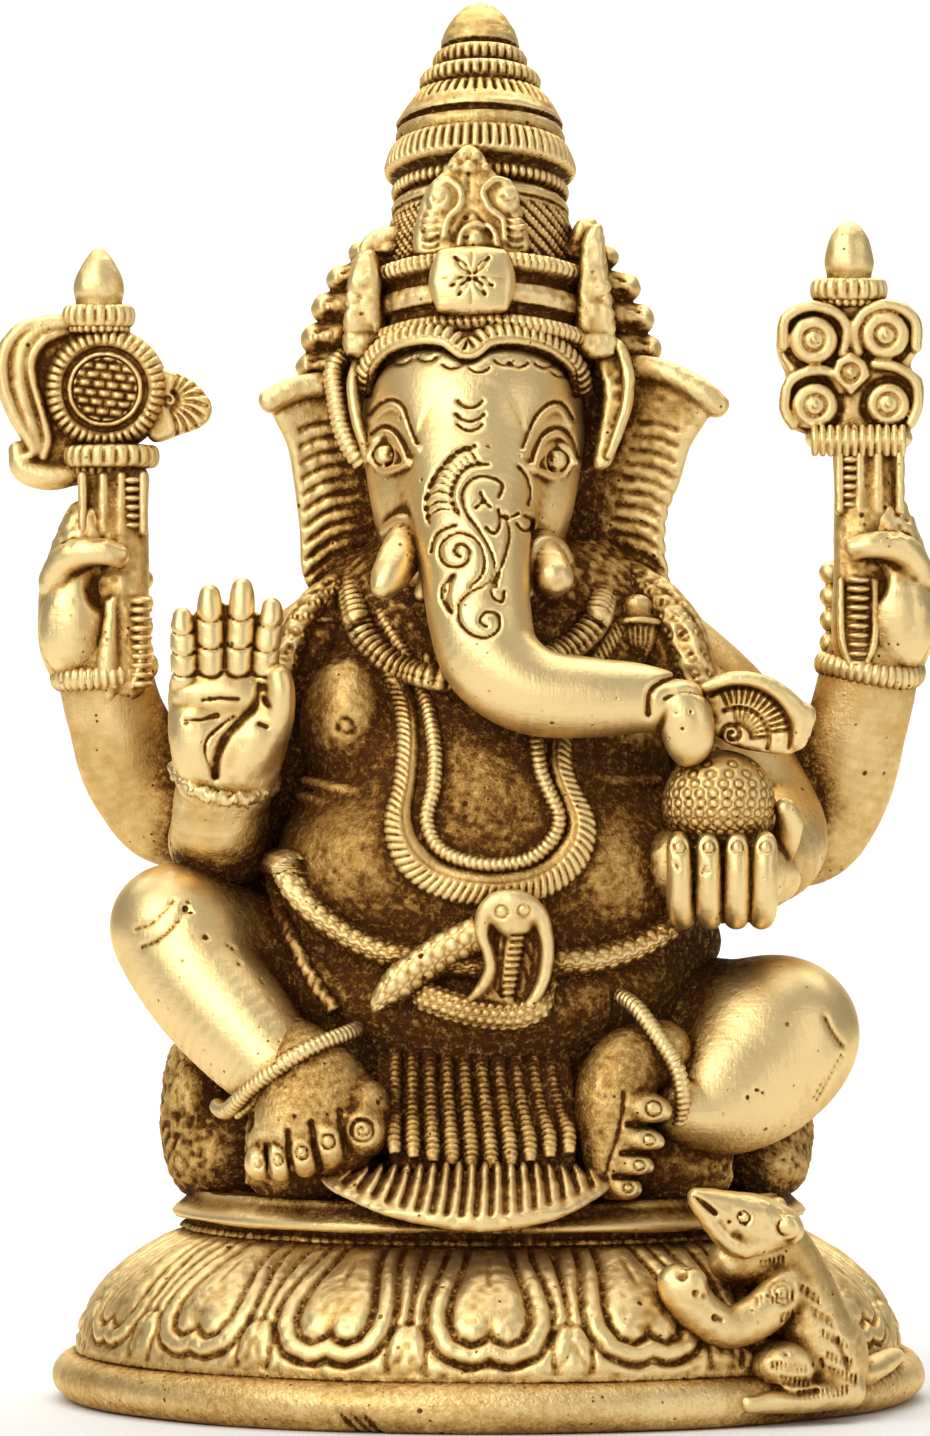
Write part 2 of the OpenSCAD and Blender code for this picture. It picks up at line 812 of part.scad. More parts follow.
// Rolled locks beside the crown and round the back of the head
module hair_curls() {
    side_locks = [[17.4, 164.6, 2.6], [20.2, 160.2, 3], [22.4, 155.6, 3.2], [23.4, 151, 3.2]];
    for (side = [-1, 1], p = side_locks)
        translate([-1 + side * p[0], 3.4, p[1]])
            rotate([90, 0, 0])
                cylinder(h = 8, r1 = p[2], r2 = p[2] * 0.8, center = true);
    for (row = [0 : 3], i = [-2 : 2]) {
        turn = i * 30 + (row % 2) * 15 - 7.5;
        radius = 15.4 - abs(row - 1) * 0.4;
        translate([-2 + radius * sin(turn), -2 + radius * cos(turn), 126 + row * 7.6])
            sphere(r = 4);
    }
}

// ---------- Crown, built upright and then leaned back ----------

module leaned() {
    translate(crown_foot)
        rotate([-crown_lean, 0, 0])
            children();
}

module headband() {
    leaned()
        union() {
            cylinder(h = 12.6, r = 15.8);
            translate([0, 0, 1.4])
                ring(15.7, 1.5);
            translate([0, 0, 11.2])
                ring(15.5, 1.5);
        }
}

module star_plaque() {
    points = [for (i = [0 : 11]) let (r = i % 2 == 0 ? 4 : 2) [r * sin(i * 30) - 1.2, r * cos(i * 30) + 7.2]];
    leaned()
        translate([0, -15.4, 0])
            union() {
                standing_plate([[-7, 2.4], [4.6, 2.4], [4.6, 12], [-7, 12]], 2);
                standing_plate(points, 2.8);
            }
}

module gable_plaque() {
    outline = closed_curve([[-1.8, 12.6], [-8, 12.8], [-9.8, 16], [-8.6, 20], [-5.4, 23.4], [-1.8, 28.6],
        [1.8, 23.4], [5, 20], [6.2, 16], [4.4, 12.8]], 3);
    leaned()
        translate([0, -13.2, 0])
            union() {
                standing_plate(outline, 3);
                for (x = [-5.4, 1.8])
                    translate([x, -3, 16.4])
                        rotate([90, 0, 0])
                            ring(2.2, 0.9);
            }
}

module crown_body() {
    leaned()
        translate([0, 0, 12.6])
            rotate_extrude()
                polygon([[0, 0], [14.6, 0], [14.2, 4], [13.2, 8], [12, 12], [0, 12]]);
}

module crown_rim() {
    leaned()
        union() {
            translate([0, 0, 24.6])
                cylinder(h = 8.4, r = 11.4);
            translate([0, 0, 26])
                ring(11.6, 1.1);
            translate([0, 0, 29.6])
                ring(11.8, 2);
        }
}

module crown_top() {
    leaned()
        rotate_extrude()
            polygon([
                [0, 33], [11.4, 33], [12.2, 34.2], [12.3, 36], [11.6, 39], [10, 40.8], [8, 41.2],
                [8.8, 42], [8.8, 43.8], [8, 44.8], [6.2, 45], [6.9, 45.8], [6.9, 47.6], [6, 48.4], [5.2, 48.6],
                [5.2, 50.4], [4.6, 52.4], [2.8, 54], [0, crown_height]
            ]);
}

// ---------- The mouse on the rim ----------

module mouse_body() {
    union() {
        limb([
            [42, -38, 22.5, 5.4, 5.4],
            [44.5, -38.5, 16, 7, 6.6],
            [46.5, -38.5, 10.6, 7.6, 7],
            [48, -37.5, 7.4, 6, 5.4]
        ], sides = 14);
        blob([42.6, -44, 10], [5.4, 4, 5]);
        limb([
            [42, -42, 20, 2.6, 2.6],
            [36.6, -47, 14.8, 2.2, 2.2],
            [33.4, -49.4, 16.4, 1.9, 1.9],
            [28.6, -50.4, 21.6, 2.2, 2.2],
            [26.6, -50.6, 23.6, 1.6, 1.6]
        ], sides = 8);
        limb([
            [48.6, -42.4, 5.4, 2.6, 2.2],
            [42.6, -47.4, 4.9, 2.4, 1.9],
            [36.8, -51, 4.7, 1.6, 1.3]
        ], sides = 8, face = up);
        limb([
            [50, -34, 8.4, 2.6, 2.2],
            [54.6, -28.6, 8, 1.8, 1.6],
            [57.4, -22, 7.6, 1.4, 1.2],
            [58.8, -16, 7.4, 0.8, 0.8]
        ], sides = 8, face = up);
    }
}

module mouse_head() {
    union() {
        limb([
            [42.4, -38.6, 24.6, 4.6, 4.4],
            [38.6, -41.6, 27, 5.4, 5.2],
            [34, -44.6, 29.4, 4, 4],
            [30.4, -46.6, 31.4, 2.4, 2.4],
            [28.6, -47.6, 32.4, 1.3, 1.3]
        ], sides = 12);
        blob([41.4, -43.4, 28.2], [2.2, 1.4, 3]);
        blob([42.4, -35, 30], [2.2, 1.4, 3]);
    }
}

// ---------- Drawing ----------

module show(name, tone) {
    color(tone)
            children();
}

show("plinth_rim", brass_bright) plinth_rim();
show("lotus_bell", brass_dark) lotus_bell();
show("lotus_petals", brass) lotus_petals();
show("neck_collar", brass_dark) neck_collar();
show("seat_plate", brass) seat_plate();
show("cushion", brass_dark) cushion();
show("right_leg", brass) right_leg();
show("right_foot", brass_bright) right_foot();
show("right_anklet", brass_dark) right_anklet();
show("left_leg", brass) left_leg();
show("left_foot", brass_bright) left_foot();
show("left_anklet", brass_dark) left_anklet();
show("dhoti_hem", brass_bright) dhoti_hem();
show("dhoti_pleats", brass_dark) dhoti_pleats();
show("torso", brass) torso();
show("shawl", brass_dark) shawl();
show("necklace_band", brass_bright) necklace_band();
show("pendants", brass_dark) pendants();
show("rope_garland", brass_dark) rope_garland();
show("bead_garland", brass_bright) bead_garland();
show("snake_belt", brass_dark) snake_belt();
show("snake_tail", brass_dark) snake_tail();
show("cobra_hood", brass_bright) cobra_hood();
show("upper_right_arm", brass) upper_right_arm();
show("upper_right_hand", brass_bright) upper_right_hand();
show("right_bangle", brass_dark) right_bangle();
show("right_baton", brass_dark) right_baton();
show("disc_emblem", brass_bright) disc_emblem();
show("disc_finial", brass) disc_finial();
show("flame_scroll", brass_dark) flame_scroll();
show("emblem_leaf", brass_dark) emblem_leaf();
show("upper_left_arm", brass) upper_left_arm();
show("upper_left_hand", brass_bright) upper_left_hand();
show("left_bangle", brass_dark) left_bangle();
show("left_baton", brass_dark) left_baton();
show("boss_emblem", brass_bright) boss_emblem();
show("boss_finial", brass) boss_finial();
show("lower_right_arm", brass) lower_right_arm();
show("open_palm", brass_bright) open_palm();
show("lower_left_arm", brass) lower_left_arm();
show("sweet_hand", brass_bright) sweet_hand();
show("sweet_ball", brass_dark) sweet_ball();
show("head", brass) head();
show("trunk", brass_bright) trunk();
show("trunk_leaf", brass_dark) trunk_leaf();
show("tusks", brass_bright) tusks();
show("right_ear", brass_dark) right_ear();
show("left_ear", brass_dark) left_ear();
show("ear_straps", brass_bright) ear_straps();
show("hair_curls", brass_dark) hair_curls();
show("headband", brass_bright) headband();
show("star_plaque", brass_dark) star_plaque();
show("gable_plaque", brass_dark) gable_plaque();
show("crown_body", brass) crown_body();
show("crown_rim", brass_bright) crown_rim();
show("crown_top", brass) crown_top();
show("mouse_body", brass) mouse_body();
show("mouse_head", brass_bright) mouse_head();
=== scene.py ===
"""A seated elephant-headed deity in antique cast brass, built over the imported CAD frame.

Shapes are worked out in millimetres in the frame's own axes (Z up, -Y the front, -X the deity's right)
and turned into metres when a mesh is made. Soft forms are modelled as blocks of signed distances, which
can be blended and engraved like clay. Cords, rings and turned parts are swept directly.
"""

import copy
import math

import bpy
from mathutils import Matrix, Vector
import numpy as np
import openvdb as vdb


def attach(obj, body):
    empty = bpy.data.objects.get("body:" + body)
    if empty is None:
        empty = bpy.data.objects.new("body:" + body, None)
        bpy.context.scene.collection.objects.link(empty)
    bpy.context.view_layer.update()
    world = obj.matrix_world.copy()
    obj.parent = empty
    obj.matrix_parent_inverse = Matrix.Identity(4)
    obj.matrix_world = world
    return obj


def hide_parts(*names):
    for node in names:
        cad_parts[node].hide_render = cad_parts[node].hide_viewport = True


METRES = 0.001
COARSER = 1.0
FRONT = np.array([0.0, -1.0, 0.0])
UP = np.array([0.0, 0.0, 1.0])
SIDE = np.array([1.0, 0.0, 0.0])

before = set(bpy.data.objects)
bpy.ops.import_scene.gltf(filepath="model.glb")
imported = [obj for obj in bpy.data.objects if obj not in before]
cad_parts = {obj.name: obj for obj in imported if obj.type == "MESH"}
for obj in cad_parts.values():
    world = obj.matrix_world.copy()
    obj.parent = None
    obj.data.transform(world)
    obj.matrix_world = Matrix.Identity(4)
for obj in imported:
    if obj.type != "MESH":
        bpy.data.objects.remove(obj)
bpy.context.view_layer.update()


# ---------- Curves ----------

def unit(v):
    """Vectors scaled to length 1."""
    v = np.asarray(v, float)
    return v / np.maximum(np.linalg.norm(v, axis=-1, keepdims=True), 1e-9)


def smooth(points, steps=6, closed=False):
    """A smooth curve through rows of numbers."""
    p = np.asarray(points, float)
    n = len(p)
    t = (np.arange(steps) / steps)[:, None]
    spans = []
    for i in range(n if closed else n - 1):
        picks = [(i + k) % n if closed else min(max(i + k, 0), n - 1) for k in (-1, 0, 1, 2)]
        a, b, c, d = p[picks]
        spans.append(0.5 * (2 * b + (c - a) * t + (2 * a - 5 * b + 4 * c - d) * t ** 2
                            + (3 * b - a - 3 * c + d) * t ** 3))
    if not closed:
        spans.append(p[-1:])
    return np.concatenate(spans)


def evenly(points, spacing, closed=False, dims=3):
    """The same curve with its points one spacing apart."""
    p = np.asarray(points, float)
    if closed:
        p = np.concatenate([p, p[:1]])
    steps = np.linalg.norm(np.diff(p[:, :dims], axis=0), axis=1)
    along = np.concatenate([[0.0], np.cumsum(steps)])
    count = max(int(round(along[-1] / spacing)), 3)
    at = np.linspace(0.0, along[-1], count + 1)
    if closed:
        at = at[:-1]
    return np.stack([np.interp(at, along, p[:, k]) for k in range(p.shape[1])], axis=1)


def arc(centre, radius, start, end, count=12, squash=1.0):
    """Points on an arc in the (x, z) plane, angles in degrees."""
    a = np.radians(np.linspace(start, end, count))
    return np.stack([centre[0] + radius * np.cos(a), centre[1] + radius * squash * np.sin(a)], axis=1)


def spiral(centre, r_start, r_end, start, turns, count=30):
    """A flat spiral in the (x, z) plane, turns positive is anticlockwise."""
    t = np.linspace(0.0, 1.0, count)
    a = np.radians(start) + 2 * math.pi * turns * t
    r = r_start + (r_end - r_start) * t
    return np.stack([centre[0] + r * np.cos(a), centre[1] + r * np.sin(a)], axis=1)


def corners(f):
    """The eight corners of a cell, and each one's share of a point at the fractions f across the cell."""
    for dx in (0, 1):
        for dy in (0, 1):
            for dz in (0, 1):
                yield dx, dy, dz, (np.where(dx, f[:, 0], 1 - f[:, 0]) * np.where(dy, f[:, 1], 1 - f[:, 1])
                                   * np.where(dz, f[:, 2], 1 - f[:, 2]))


def sampled(block, q):
    """Values read from a block of numbers at places between its cells."""
    q = np.clip(q, 0, np.array(block.shape) - 1.001)
    i = q.astype(int)
    total = 0.0
    for dx, dy, dz, share in corners(q - i):
        total = total + share * block[i[:, 0] + dx, i[:, 1] + dy, i[:, 2] + dz]
    return total


LATTICE_SIZE = 48
LATTICE = np.random.default_rng(5).random((LATTICE_SIZE,) * 3).astype(np.float32) * 2 - 1


def noise(p, size):
    """Smooth noise from -1 to 1 with lumps about size mm across."""
    q = np.asarray(p, float) / size + 100.0
    i = np.floor(q).astype(int)
    f = q - i
    total = 0.0
    for dx, dy, dz, share in corners(f * f * (3 - 2 * f)):
        a, b, c = ((i[:, k] + step) % LATTICE_SIZE for k, step in enumerate((dx, dy, dz)))
        total = total + share * LATTICE[a, b, c]
    return total


def span_distance(ax, ay, bx, by, x, y):
    """Distance from the points (x, y) to the straight span from (ax, ay) to (bx, by)."""
    ex, ey = bx - ax, by - ay
    t = np.clip(((x - ax) * ex + (y - ay) * ey) / max(ex * ex + ey * ey, 1e-9), 0, 1)
    return np.hypot(x - ax - ex * t, y - ay - ey * t)


def line_distance(line, x, y):
    """Distance from the points (x, y) to an open line."""
    best = np.full(np.broadcast(x, y).shape, 1e9)
    for a, b in zip(line[:-1], line[1:]):
        best = np.minimum(best, span_distance(*a, *b, x, y))
    return best


def edge_distance(outline, x, y):
    """Distance from the points (x, y) to a closed outline, negative inside."""
    p = np.asarray(outline, float)
    best = line_distance(np.concatenate([p, p[:1]]), x, y)
    inside = np.zeros(best.shape, bool)
    for (ax, ay), (bx, by) in zip(p, np.roll(p, -1, axis=0)):
        if ay != by:
            inside ^= ((ay > y) != (by > y)) & (x < (bx - ax) * (y - ay) / (by - ay) + ax)
    return np.where(inside, -best, best)


def turning(degrees):
    """The matrix that turns by degrees about X, then Y, then Z."""
    m = np.eye(3)
    for axis, angle in enumerate(np.radians(degrees)):
        i, j = (axis + 1) % 3, (axis + 2) % 3
        r = np.eye(3)
        r[i, i] = r[j, j] = math.cos(angle)
        r[i, j], r[j, i] = -math.sin(angle), math.sin(angle)
        m = r @ m
    return m


# ---------- Clay: blended and engraved solids ----------

EMPTY = 9.0
GROOVE_REACH = 2.5
AHEAD = -60.0


class Clay:
    """A block of signed distances in mm. Forms are blended in or cut away, and lines are engraved.

    EMPTY is the distance stored where there is nothing yet, a groove is followed out to GROOVE_REACH of its
    widths, and AHEAD is a y in front of the whole figure.
    """

    def __init__(self, low, high, cell):
        self.cell = cell * COARSER
        self.low = np.array(low, float)
        shape = np.ceil((np.array(high) - self.low) / self.cell).astype(int) + 1
        self.d = np.full(shape, EMPTY, np.float32)

    def part(self, low, high):
        """The slices of the block between two corners."""
        a = np.floor((np.asarray(low) - self.low) / self.cell).astype(int)
        b = np.ceil((np.asarray(high) - self.low) / self.cell).astype(int) + 1
        a, b = np.clip(a, 0, self.d.shape), np.clip(b, 0, self.d.shape)
        return tuple(slice(i, max(i, j)) for i, j in zip(a, b))

    def grid(self, part):
        """x, y and z of the cells in a part, each shaped to broadcast over it."""
        lines = [(self.low[k] + self.cell * np.arange(s.start, s.stop)).astype(np.float32)
                 for k, s in enumerate(part)]
        return lines[0][:, None, None], lines[1][None, :, None], lines[2][None, None, :]

    def join(self, part, new, blend, cut=False):
        """Adds a form to the block, or cuts it away, with a fillet about as wide as blend."""
        old = self.d[part]
        new = -new if cut else new
        mix = np.maximum(blend - np.abs(old - new), 0) ** 2 / (4 * blend)
        self.d[part] = np.maximum(old, new) + mix if cut else np.minimum(old, new) - mix

    def ball(self, centre, radii, turn=None, blend=1.0, cut=False):
        """An ellipsoid."""
        centre, radii = np.asarray(centre, float), np.asarray(radii, float) * np.ones(3)
        reach = (radii if turn is None else radii.max()) + blend + self.cell
        part = self.part(centre - reach, centre + reach)
        if 0 in self.d[part].shape:
            return
        x, y, z = (g - c for g, c in zip(self.grid(part), centre))
        if turn is not None:
            m = turning(turn)
            x, y, z = (x * m[0, k] + y * m[1, k] + z * m[2, k] for k in range(3))
        far = np.sqrt(x * x + y * y + z * z)
        scaled = np.sqrt((x / radii[0]) ** 2 + (y / radii[1]) ** 2 + (z / radii[2]) ** 2)
        self.join(part, far - far / np.maximum(scaled, 1e-3), blend, cut)

    def limb(self, stations, steps=5, face=FRONT, blend=1.5, cut=False):
        """A tube through rows of x, y, z, half-width and half-depth."""
        path = smooth(stations, steps)
        reach = path[:, 3:5].max(axis=1, keepdims=True) + blend + self.cell
        whole = self.part(path[:, :3].min(axis=0) - reach.max(), path[:, :3].max(axis=0) + reach.max())
        if 0 in self.d[whole].shape:
            return
        new = np.full(self.d[whole].shape, EMPTY, np.float32)
        corner = [s.start for s in whole]
        for a, b, r in zip(path[:-1], path[1:], reach[1:]):
            here = self.part(np.minimum(a[:3], b[:3]) - r, np.maximum(a[:3], b[:3]) + r)
            local = tuple(slice(s.start - c, s.stop - c) for s, c in zip(here, corner))
            if 0 in new[local].shape:
                continue
            length = np.linalg.norm(b[:3] - a[:3]) + 1e-9
            way = (b[:3] - a[:3]) / length
            across = unit(np.cross(way, face))
            out = np.cross(across, way)
            x, y, z = (g - c for g, c in zip(self.grid(here), a[:3]))
            u, v, w = (x * k[0] + y * k[1] + z * k[2] for k in (across, out, way))
            t = np.clip(w / length, 0, 1)
            half, deep = a[3] + (b[3] - a[3]) * t, a[4] + (b[4] - a[4]) * t
            w = w - t * length
            far = np.sqrt(u * u + v * v + w * w)
            scaled = np.sqrt((u / half) ** 2 + (v / deep) ** 2 + (w / np.minimum(half, deep)) ** 2)
            new[local] = np.minimum(new[local], far - far / np.maximum(scaled, 1e-3))
        self.join(whole, new, blend, cut)

    def slab(self, outline, y_low, y_high, edge=0.6, blend=0.6, cut=False, bow=None):
        """A plate in the XZ plane with rounded edges; bow(x, z) moves it back."""
        outline = np.asarray(outline, float)
        pad = edge + blend + 1.0
        shift = 0.0 if bow is None else 6.0
        low = [outline[:, 0].min() - pad, y_low - pad - shift, outline[:, 1].min() - pad]
        high = [outline[:, 0].max() + pad, y_high + pad + shift, outline[:, 1].max() + pad]
        part = self.part(low, high)
        x, y, z = self.grid(part)
        flat = edge_distance(outline, x[:, :, 0], z[:, 0, :])[:, None, :]
        if bow is not None:
            y = y - bow(x, z)
        a, b = flat + edge, np.abs(y - (y_low + y_high) / 2) - (y_high - y_low) / 2 + edge
        new = np.hypot(np.maximum(a, 0), np.maximum(b, 0)) + np.minimum(np.maximum(a, b), 0) - edge
        self.join(part, new, blend, cut)

    def engrave(self, lines, width, depth, y_low, y_high):
        """Cuts lines of (x, z) points into what lies between two y values; a negative depth raises them."""
        for line in lines:
            line = np.asarray(line, float)
            pad = GROOVE_REACH * width
            low, high = line.min(axis=0) - pad, line.max(axis=0) + pad
            part = self.part([low[0], y_low, low[1]], [high[0], y_high, high[1]])
            if 0 in self.d[part].shape:
                continue
            x, _, z = self.grid(part)
            away = line_distance(line, x[:, :, 0], z[:, 0, :])
            self.d[part] += (depth * np.exp(-(away / width) ** 2))[:, None, :].astype(np.float32)

    def score(self, line, width, depth):
        """Cuts a groove along a line of x, y, z points that lies on the surface."""
        line = np.asarray(line, float)
        pad = GROOVE_REACH * width
        whole = self.part(line.min(axis=0) - pad, line.max(axis=0) + pad)
        if 0 in self.d[whole].shape:
            return
        x, y, z = self.grid(whole)
        away = np.full(self.d[whole].shape, 1e6, np.float32)
        for a, b in zip(line[:-1], line[1:]):
            e = b - a
            t = np.clip(((x - a[0]) * e[0] + (y - a[1]) * e[1] + (z - a[2]) * e[2]) / max(e @ e, 1e-9), 0, 1)
            away = np.minimum(away, (x - a[0] - e[0] * t) ** 2 + (y - a[1] - e[1] * t) ** 2
                              + (z - a[2] - e[2] * t) ** 2)
        self.d[whole] += depth * np.exp(-away / width ** 2)

    def punch(self, centre, radius, width=0.3, depth=0.3):
        """Cuts a ring of the given radius round a point on the surface."""
        reach = radius + GROOVE_REACH * width
        part = self.part(np.asarray(centre) - reach, np.asarray(centre) + reach)
        if 0 in self.d[part].shape:
            return
        x, y, z = (g - c for g, c in zip(self.grid(part), centre))
        away = np.abs(np.sqrt(x * x + y * y + z * z) - radius)
        self.d[part] += depth * np.exp(-(away / width) ** 2)

    def sample(self, points):
        """Signed distances at points anywhere in the block."""
        return sampled(self.d, (np.asarray(points, float) - self.low) / self.cell)

    def pits(self, marks, blend=0.15):
        """Small casting holes in the front: rows of x, z and radius."""
        for x, z, r in marks:
            self.ball(self.front(x, z), r, blend=blend, cut=True)

    def front(self, x, z, y=AHEAD):
        """Where the surface is met from the front at (x, z)."""
        return self.land([[x, y, z]], -FRONT)[0]

    def land(self, points, way, reach=60.0):
        """Where points that move along way first meet the surface."""
        p = np.asarray(points, float)
        way = unit(way)
        travel = np.zeros(len(p))
        step = self.cell * 0.6
        moving = np.ones(len(p), bool)
        for _ in range(int(reach / step)):
            moving &= self.sample(p + way * travel[:, None]) > 0
            if not moving.any():
                break
            travel[moving] += step
        return p + way * travel[:, None]

    def cast(self):
        """The surface as points in mm and four-sided faces."""
        grid = vdb.FloatGrid()
        grid.copyFromArray(np.ascontiguousarray(self.d))
        points, quads = grid.convertToQuads(isovalue=0.0)
        return points * self.cell + self.low, [quads.astype(int)]

    def cast_rough(self, centre, height, size):
        """The surface with a casting skin: lumps size mm across, pushed out from centre by up to height."""
        points, faces = self.cast()
        return points + unit(points - centre) * (height * noise(points, size))[:, None], faces


# ---------- Swept and turned shapes ----------

def sleeve(rows, closed, ends):
    """Points and faces round rows of points, with a fan from a middle point over each open end."""
    n, around = rows.shape[:2]
    points = rows.reshape(-1, 3)
    k = np.arange(around)
    after = (k + 1) % around
    row = np.arange(n if closed else n - 1)[:, None] * around
    ahead = (row + around) % (n * around)
    faces = [np.stack([row + k, ahead + k, ahead + after, row + after], axis=-1).reshape(-1, 4)]
    if not closed:
        last = (n - 1) * around
        faces.append(np.stack([np.full(around, len(points)), k, after], axis=1))
        faces.append(np.stack([np.full(around, len(points) + 1), last + after, last + k], axis=1))
        points = np.concatenate([points, ends])
    return points, faces


def cord(path, relief=None, closed=False, around=18, face=FRONT, sizes=None):
    """A cord swept along x, y, z, half-width, half-depth rows; relief(along, angle) is added, in mm."""
    path = np.asarray(path, float)
    if sizes is not None:
        path = np.concatenate([path[:, :3], np.ones((len(path), 1)) * np.asarray(sizes)[None, :]], axis=1)
    around = max(int(around / COARSER), 6)
    p = path[:, :3]
    if closed:
        way = unit(np.roll(p, -1, axis=0) - np.roll(p, 1, axis=0))
        steps = np.linalg.norm(np.roll(p, -1, axis=0) - p, axis=1)
    else:
        way = unit(np.gradient(p, axis=0))
        steps = np.append(np.linalg.norm(np.diff(p, axis=0), axis=1), 0.0)
    along = np.concatenate([[0.0], np.cumsum(steps)[:-1]])
    across = unit(np.cross(way, face))
    out = np.cross(across, way)
    angle = 2 * math.pi * np.arange(around) / around
    extra = relief(along[:, None], angle[None, :]) if relief else np.zeros((len(p), around))
    u = (path[:, 3:4] + extra) * np.cos(angle)
    v = (path[:, 4:5] + extra) * np.sin(angle)
    points = p[:, None, :] + across[:, None, :] * u[..., None] + out[:, None, :] * v[..., None]
    return sleeve(points, closed, p[[0, -1]])


def total_length(path, closed=False):
    """The length of a line of x, y, z points."""
    p = np.asarray(path)[:, :3]
    if closed:
        p = np.concatenate([p, p[:1]])
    return float(np.linalg.norm(np.diff(p, axis=0), axis=1).sum())


def turned(outline, around, relief=None, closed=True):
    """A turned shape from rows of radius and height; relief(turn, along, height) is added outwards, in mm."""
    outline = np.asarray(outline, float)
    around = max(int(around / COARSER), 24)
    if closed:
        way = unit(np.roll(outline, -1, axis=0) - np.roll(outline, 1, axis=0))
    else:
        way = unit(np.gradient(outline, axis=0))
    steps = np.linalg.norm(np.diff(outline, axis=0), axis=1)
    along = np.concatenate([[0.0], np.cumsum(steps)])
    normal = np.stack([way[:, 1], -way[:, 0]], axis=1)
    turn = np.arange(around) / around
    extra = np.zeros((len(outline), around))
    if relief:
        extra = extra + relief(turn[None, :], along[:, None], outline[:, 1:2])
    r = outline[:, :1] + normal[:, :1] * extra
    z = outline[:, 1:2] + normal[:, 1:2] * extra
    angle = 2 * math.pi * turn[None, :]
    points = np.stack([r * np.cos(angle), r * np.sin(angle), z], axis=-1)
    ends = [[0, 0, outline[0, 1]], [0, 0, outline[-1, 1]]]
    points, faces = sleeve(points, closed, ends)
    return points, [np.c_[f[:, 0], f[:, :0:-1]] for f in faces]


def grouped(shapes):
    """Several shapes as one."""
    points, faces, offset = [], [], 0
    for p, fs in shapes:
        points.append(p)
        faces += [f + offset for f in fs]
        offset += len(p)
    return np.concatenate(points), faces


def moved(shape, offset=(0, 0, 0), turn=(0, 0, 0)):
    """A shape turned by degrees about X, Y and Z, then shifted."""
    points, faces = shape
    return points @ turning(turn).T + np.asarray(offset, float), faces


# ---------- Pieces ----------

pieces = []


def piece(name, shape, finish, *nodes):
    """Makes a mesh object in one of the FINISHES that rides on the frame and stands in for CAD nodes."""
    points, faces = shape
    mesh = bpy.data.meshes.new(name)
    mesh.vertices.add(len(points))
    mesh.vertices.foreach_set("co", (np.asarray(points, np.float64) * METRES).astype(np.float32).ravel())
    sizes = np.concatenate([np.full(len(f), f.shape[1]) for f in faces])
    mesh.loops.add(int(sizes.sum()))
    mesh.loops.foreach_set("vertex_index", np.concatenate([f.ravel() for f in faces]).astype(np.int32))
    mesh.polygons.add(len(sizes))
    mesh.polygons.foreach_set("loop_start", np.concatenate([[0], np.cumsum(sizes)[:-1]]).astype(np.int32))
    mesh.update(calc_edges=True)
    mesh.validate()
    mesh.shade_smooth()
    mesh.materials.append(FINISHES[finish])
    obj = bpy.data.objects.new(name, mesh)
    bpy.context.scene.collection.objects.link(obj)
    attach(obj, "root")
    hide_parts(*nodes)
    pieces.append(obj)


# ---------- Materials ----------

class Shader:
    """A node tree for one procedural brass."""

    def __init__(self, name):
        self.material = bpy.data.materials.new(name)
        self.material.use_nodes = True
        self.tree = self.material.node_tree
        self.tree.nodes.clear()

    def node(self, kind, inputs=None, **settings):
        made = self.tree.nodes.new(kind)
        for key, value in settings.items():
            setattr(made, key, value)
        for key, value in (inputs or {}).items():
            if isinstance(value, bpy.types.NodeSocket):
                self.tree.links.new(value, made.inputs[key])
            else:
                made.inputs[key].default_value = value
        return made

    def math(self, operation, a, b=0.0, clamp=False):
        return self.node("ShaderNodeMath", {0: a, 1: b}, operation=operation, use_clamp=clamp).outputs[0]

    def noise(self, place, scale, detail=2.0, roughness=0.5):
        made = self.node("ShaderNodeTexNoise", {"Vector": place, "Scale": scale, "Detail": detail,
                                                "Roughness": roughness})
        return made.outputs["Fac"]

    def pits(self, place, scale, rarity):
        """1 inside small round casting holes, 0 elsewhere; rarity is the share of cells with no hole."""
        cells = self.node("ShaderNodeTexVoronoi", {"Vector": place, "Scale": scale})
        draw = self.node("ShaderNodeSeparateColor", {"Color": cells.outputs["Color"]}).outputs[0]
        hole = self.ramp(cells.outputs["Distance"], [(0.08, (1.0,) * 3), (0.15, (0.0,) * 3)])
        return self.math("MULTIPLY", hole, self.math("GREATER_THAN", draw, rarity))

    def ramp(self, value, stops):
        made = self.node("ShaderNodeValToRGB", {"Fac": value})
        marks = made.color_ramp.elements
        while len(marks) < len(stops):
            marks.new(0.5)
        for mark, (at, colour) in zip(marks, stops):
            mark.position = at
            mark.color = (*colour, 1.0) if len(colour) == 3 else colour
        return made.outputs["Color"]


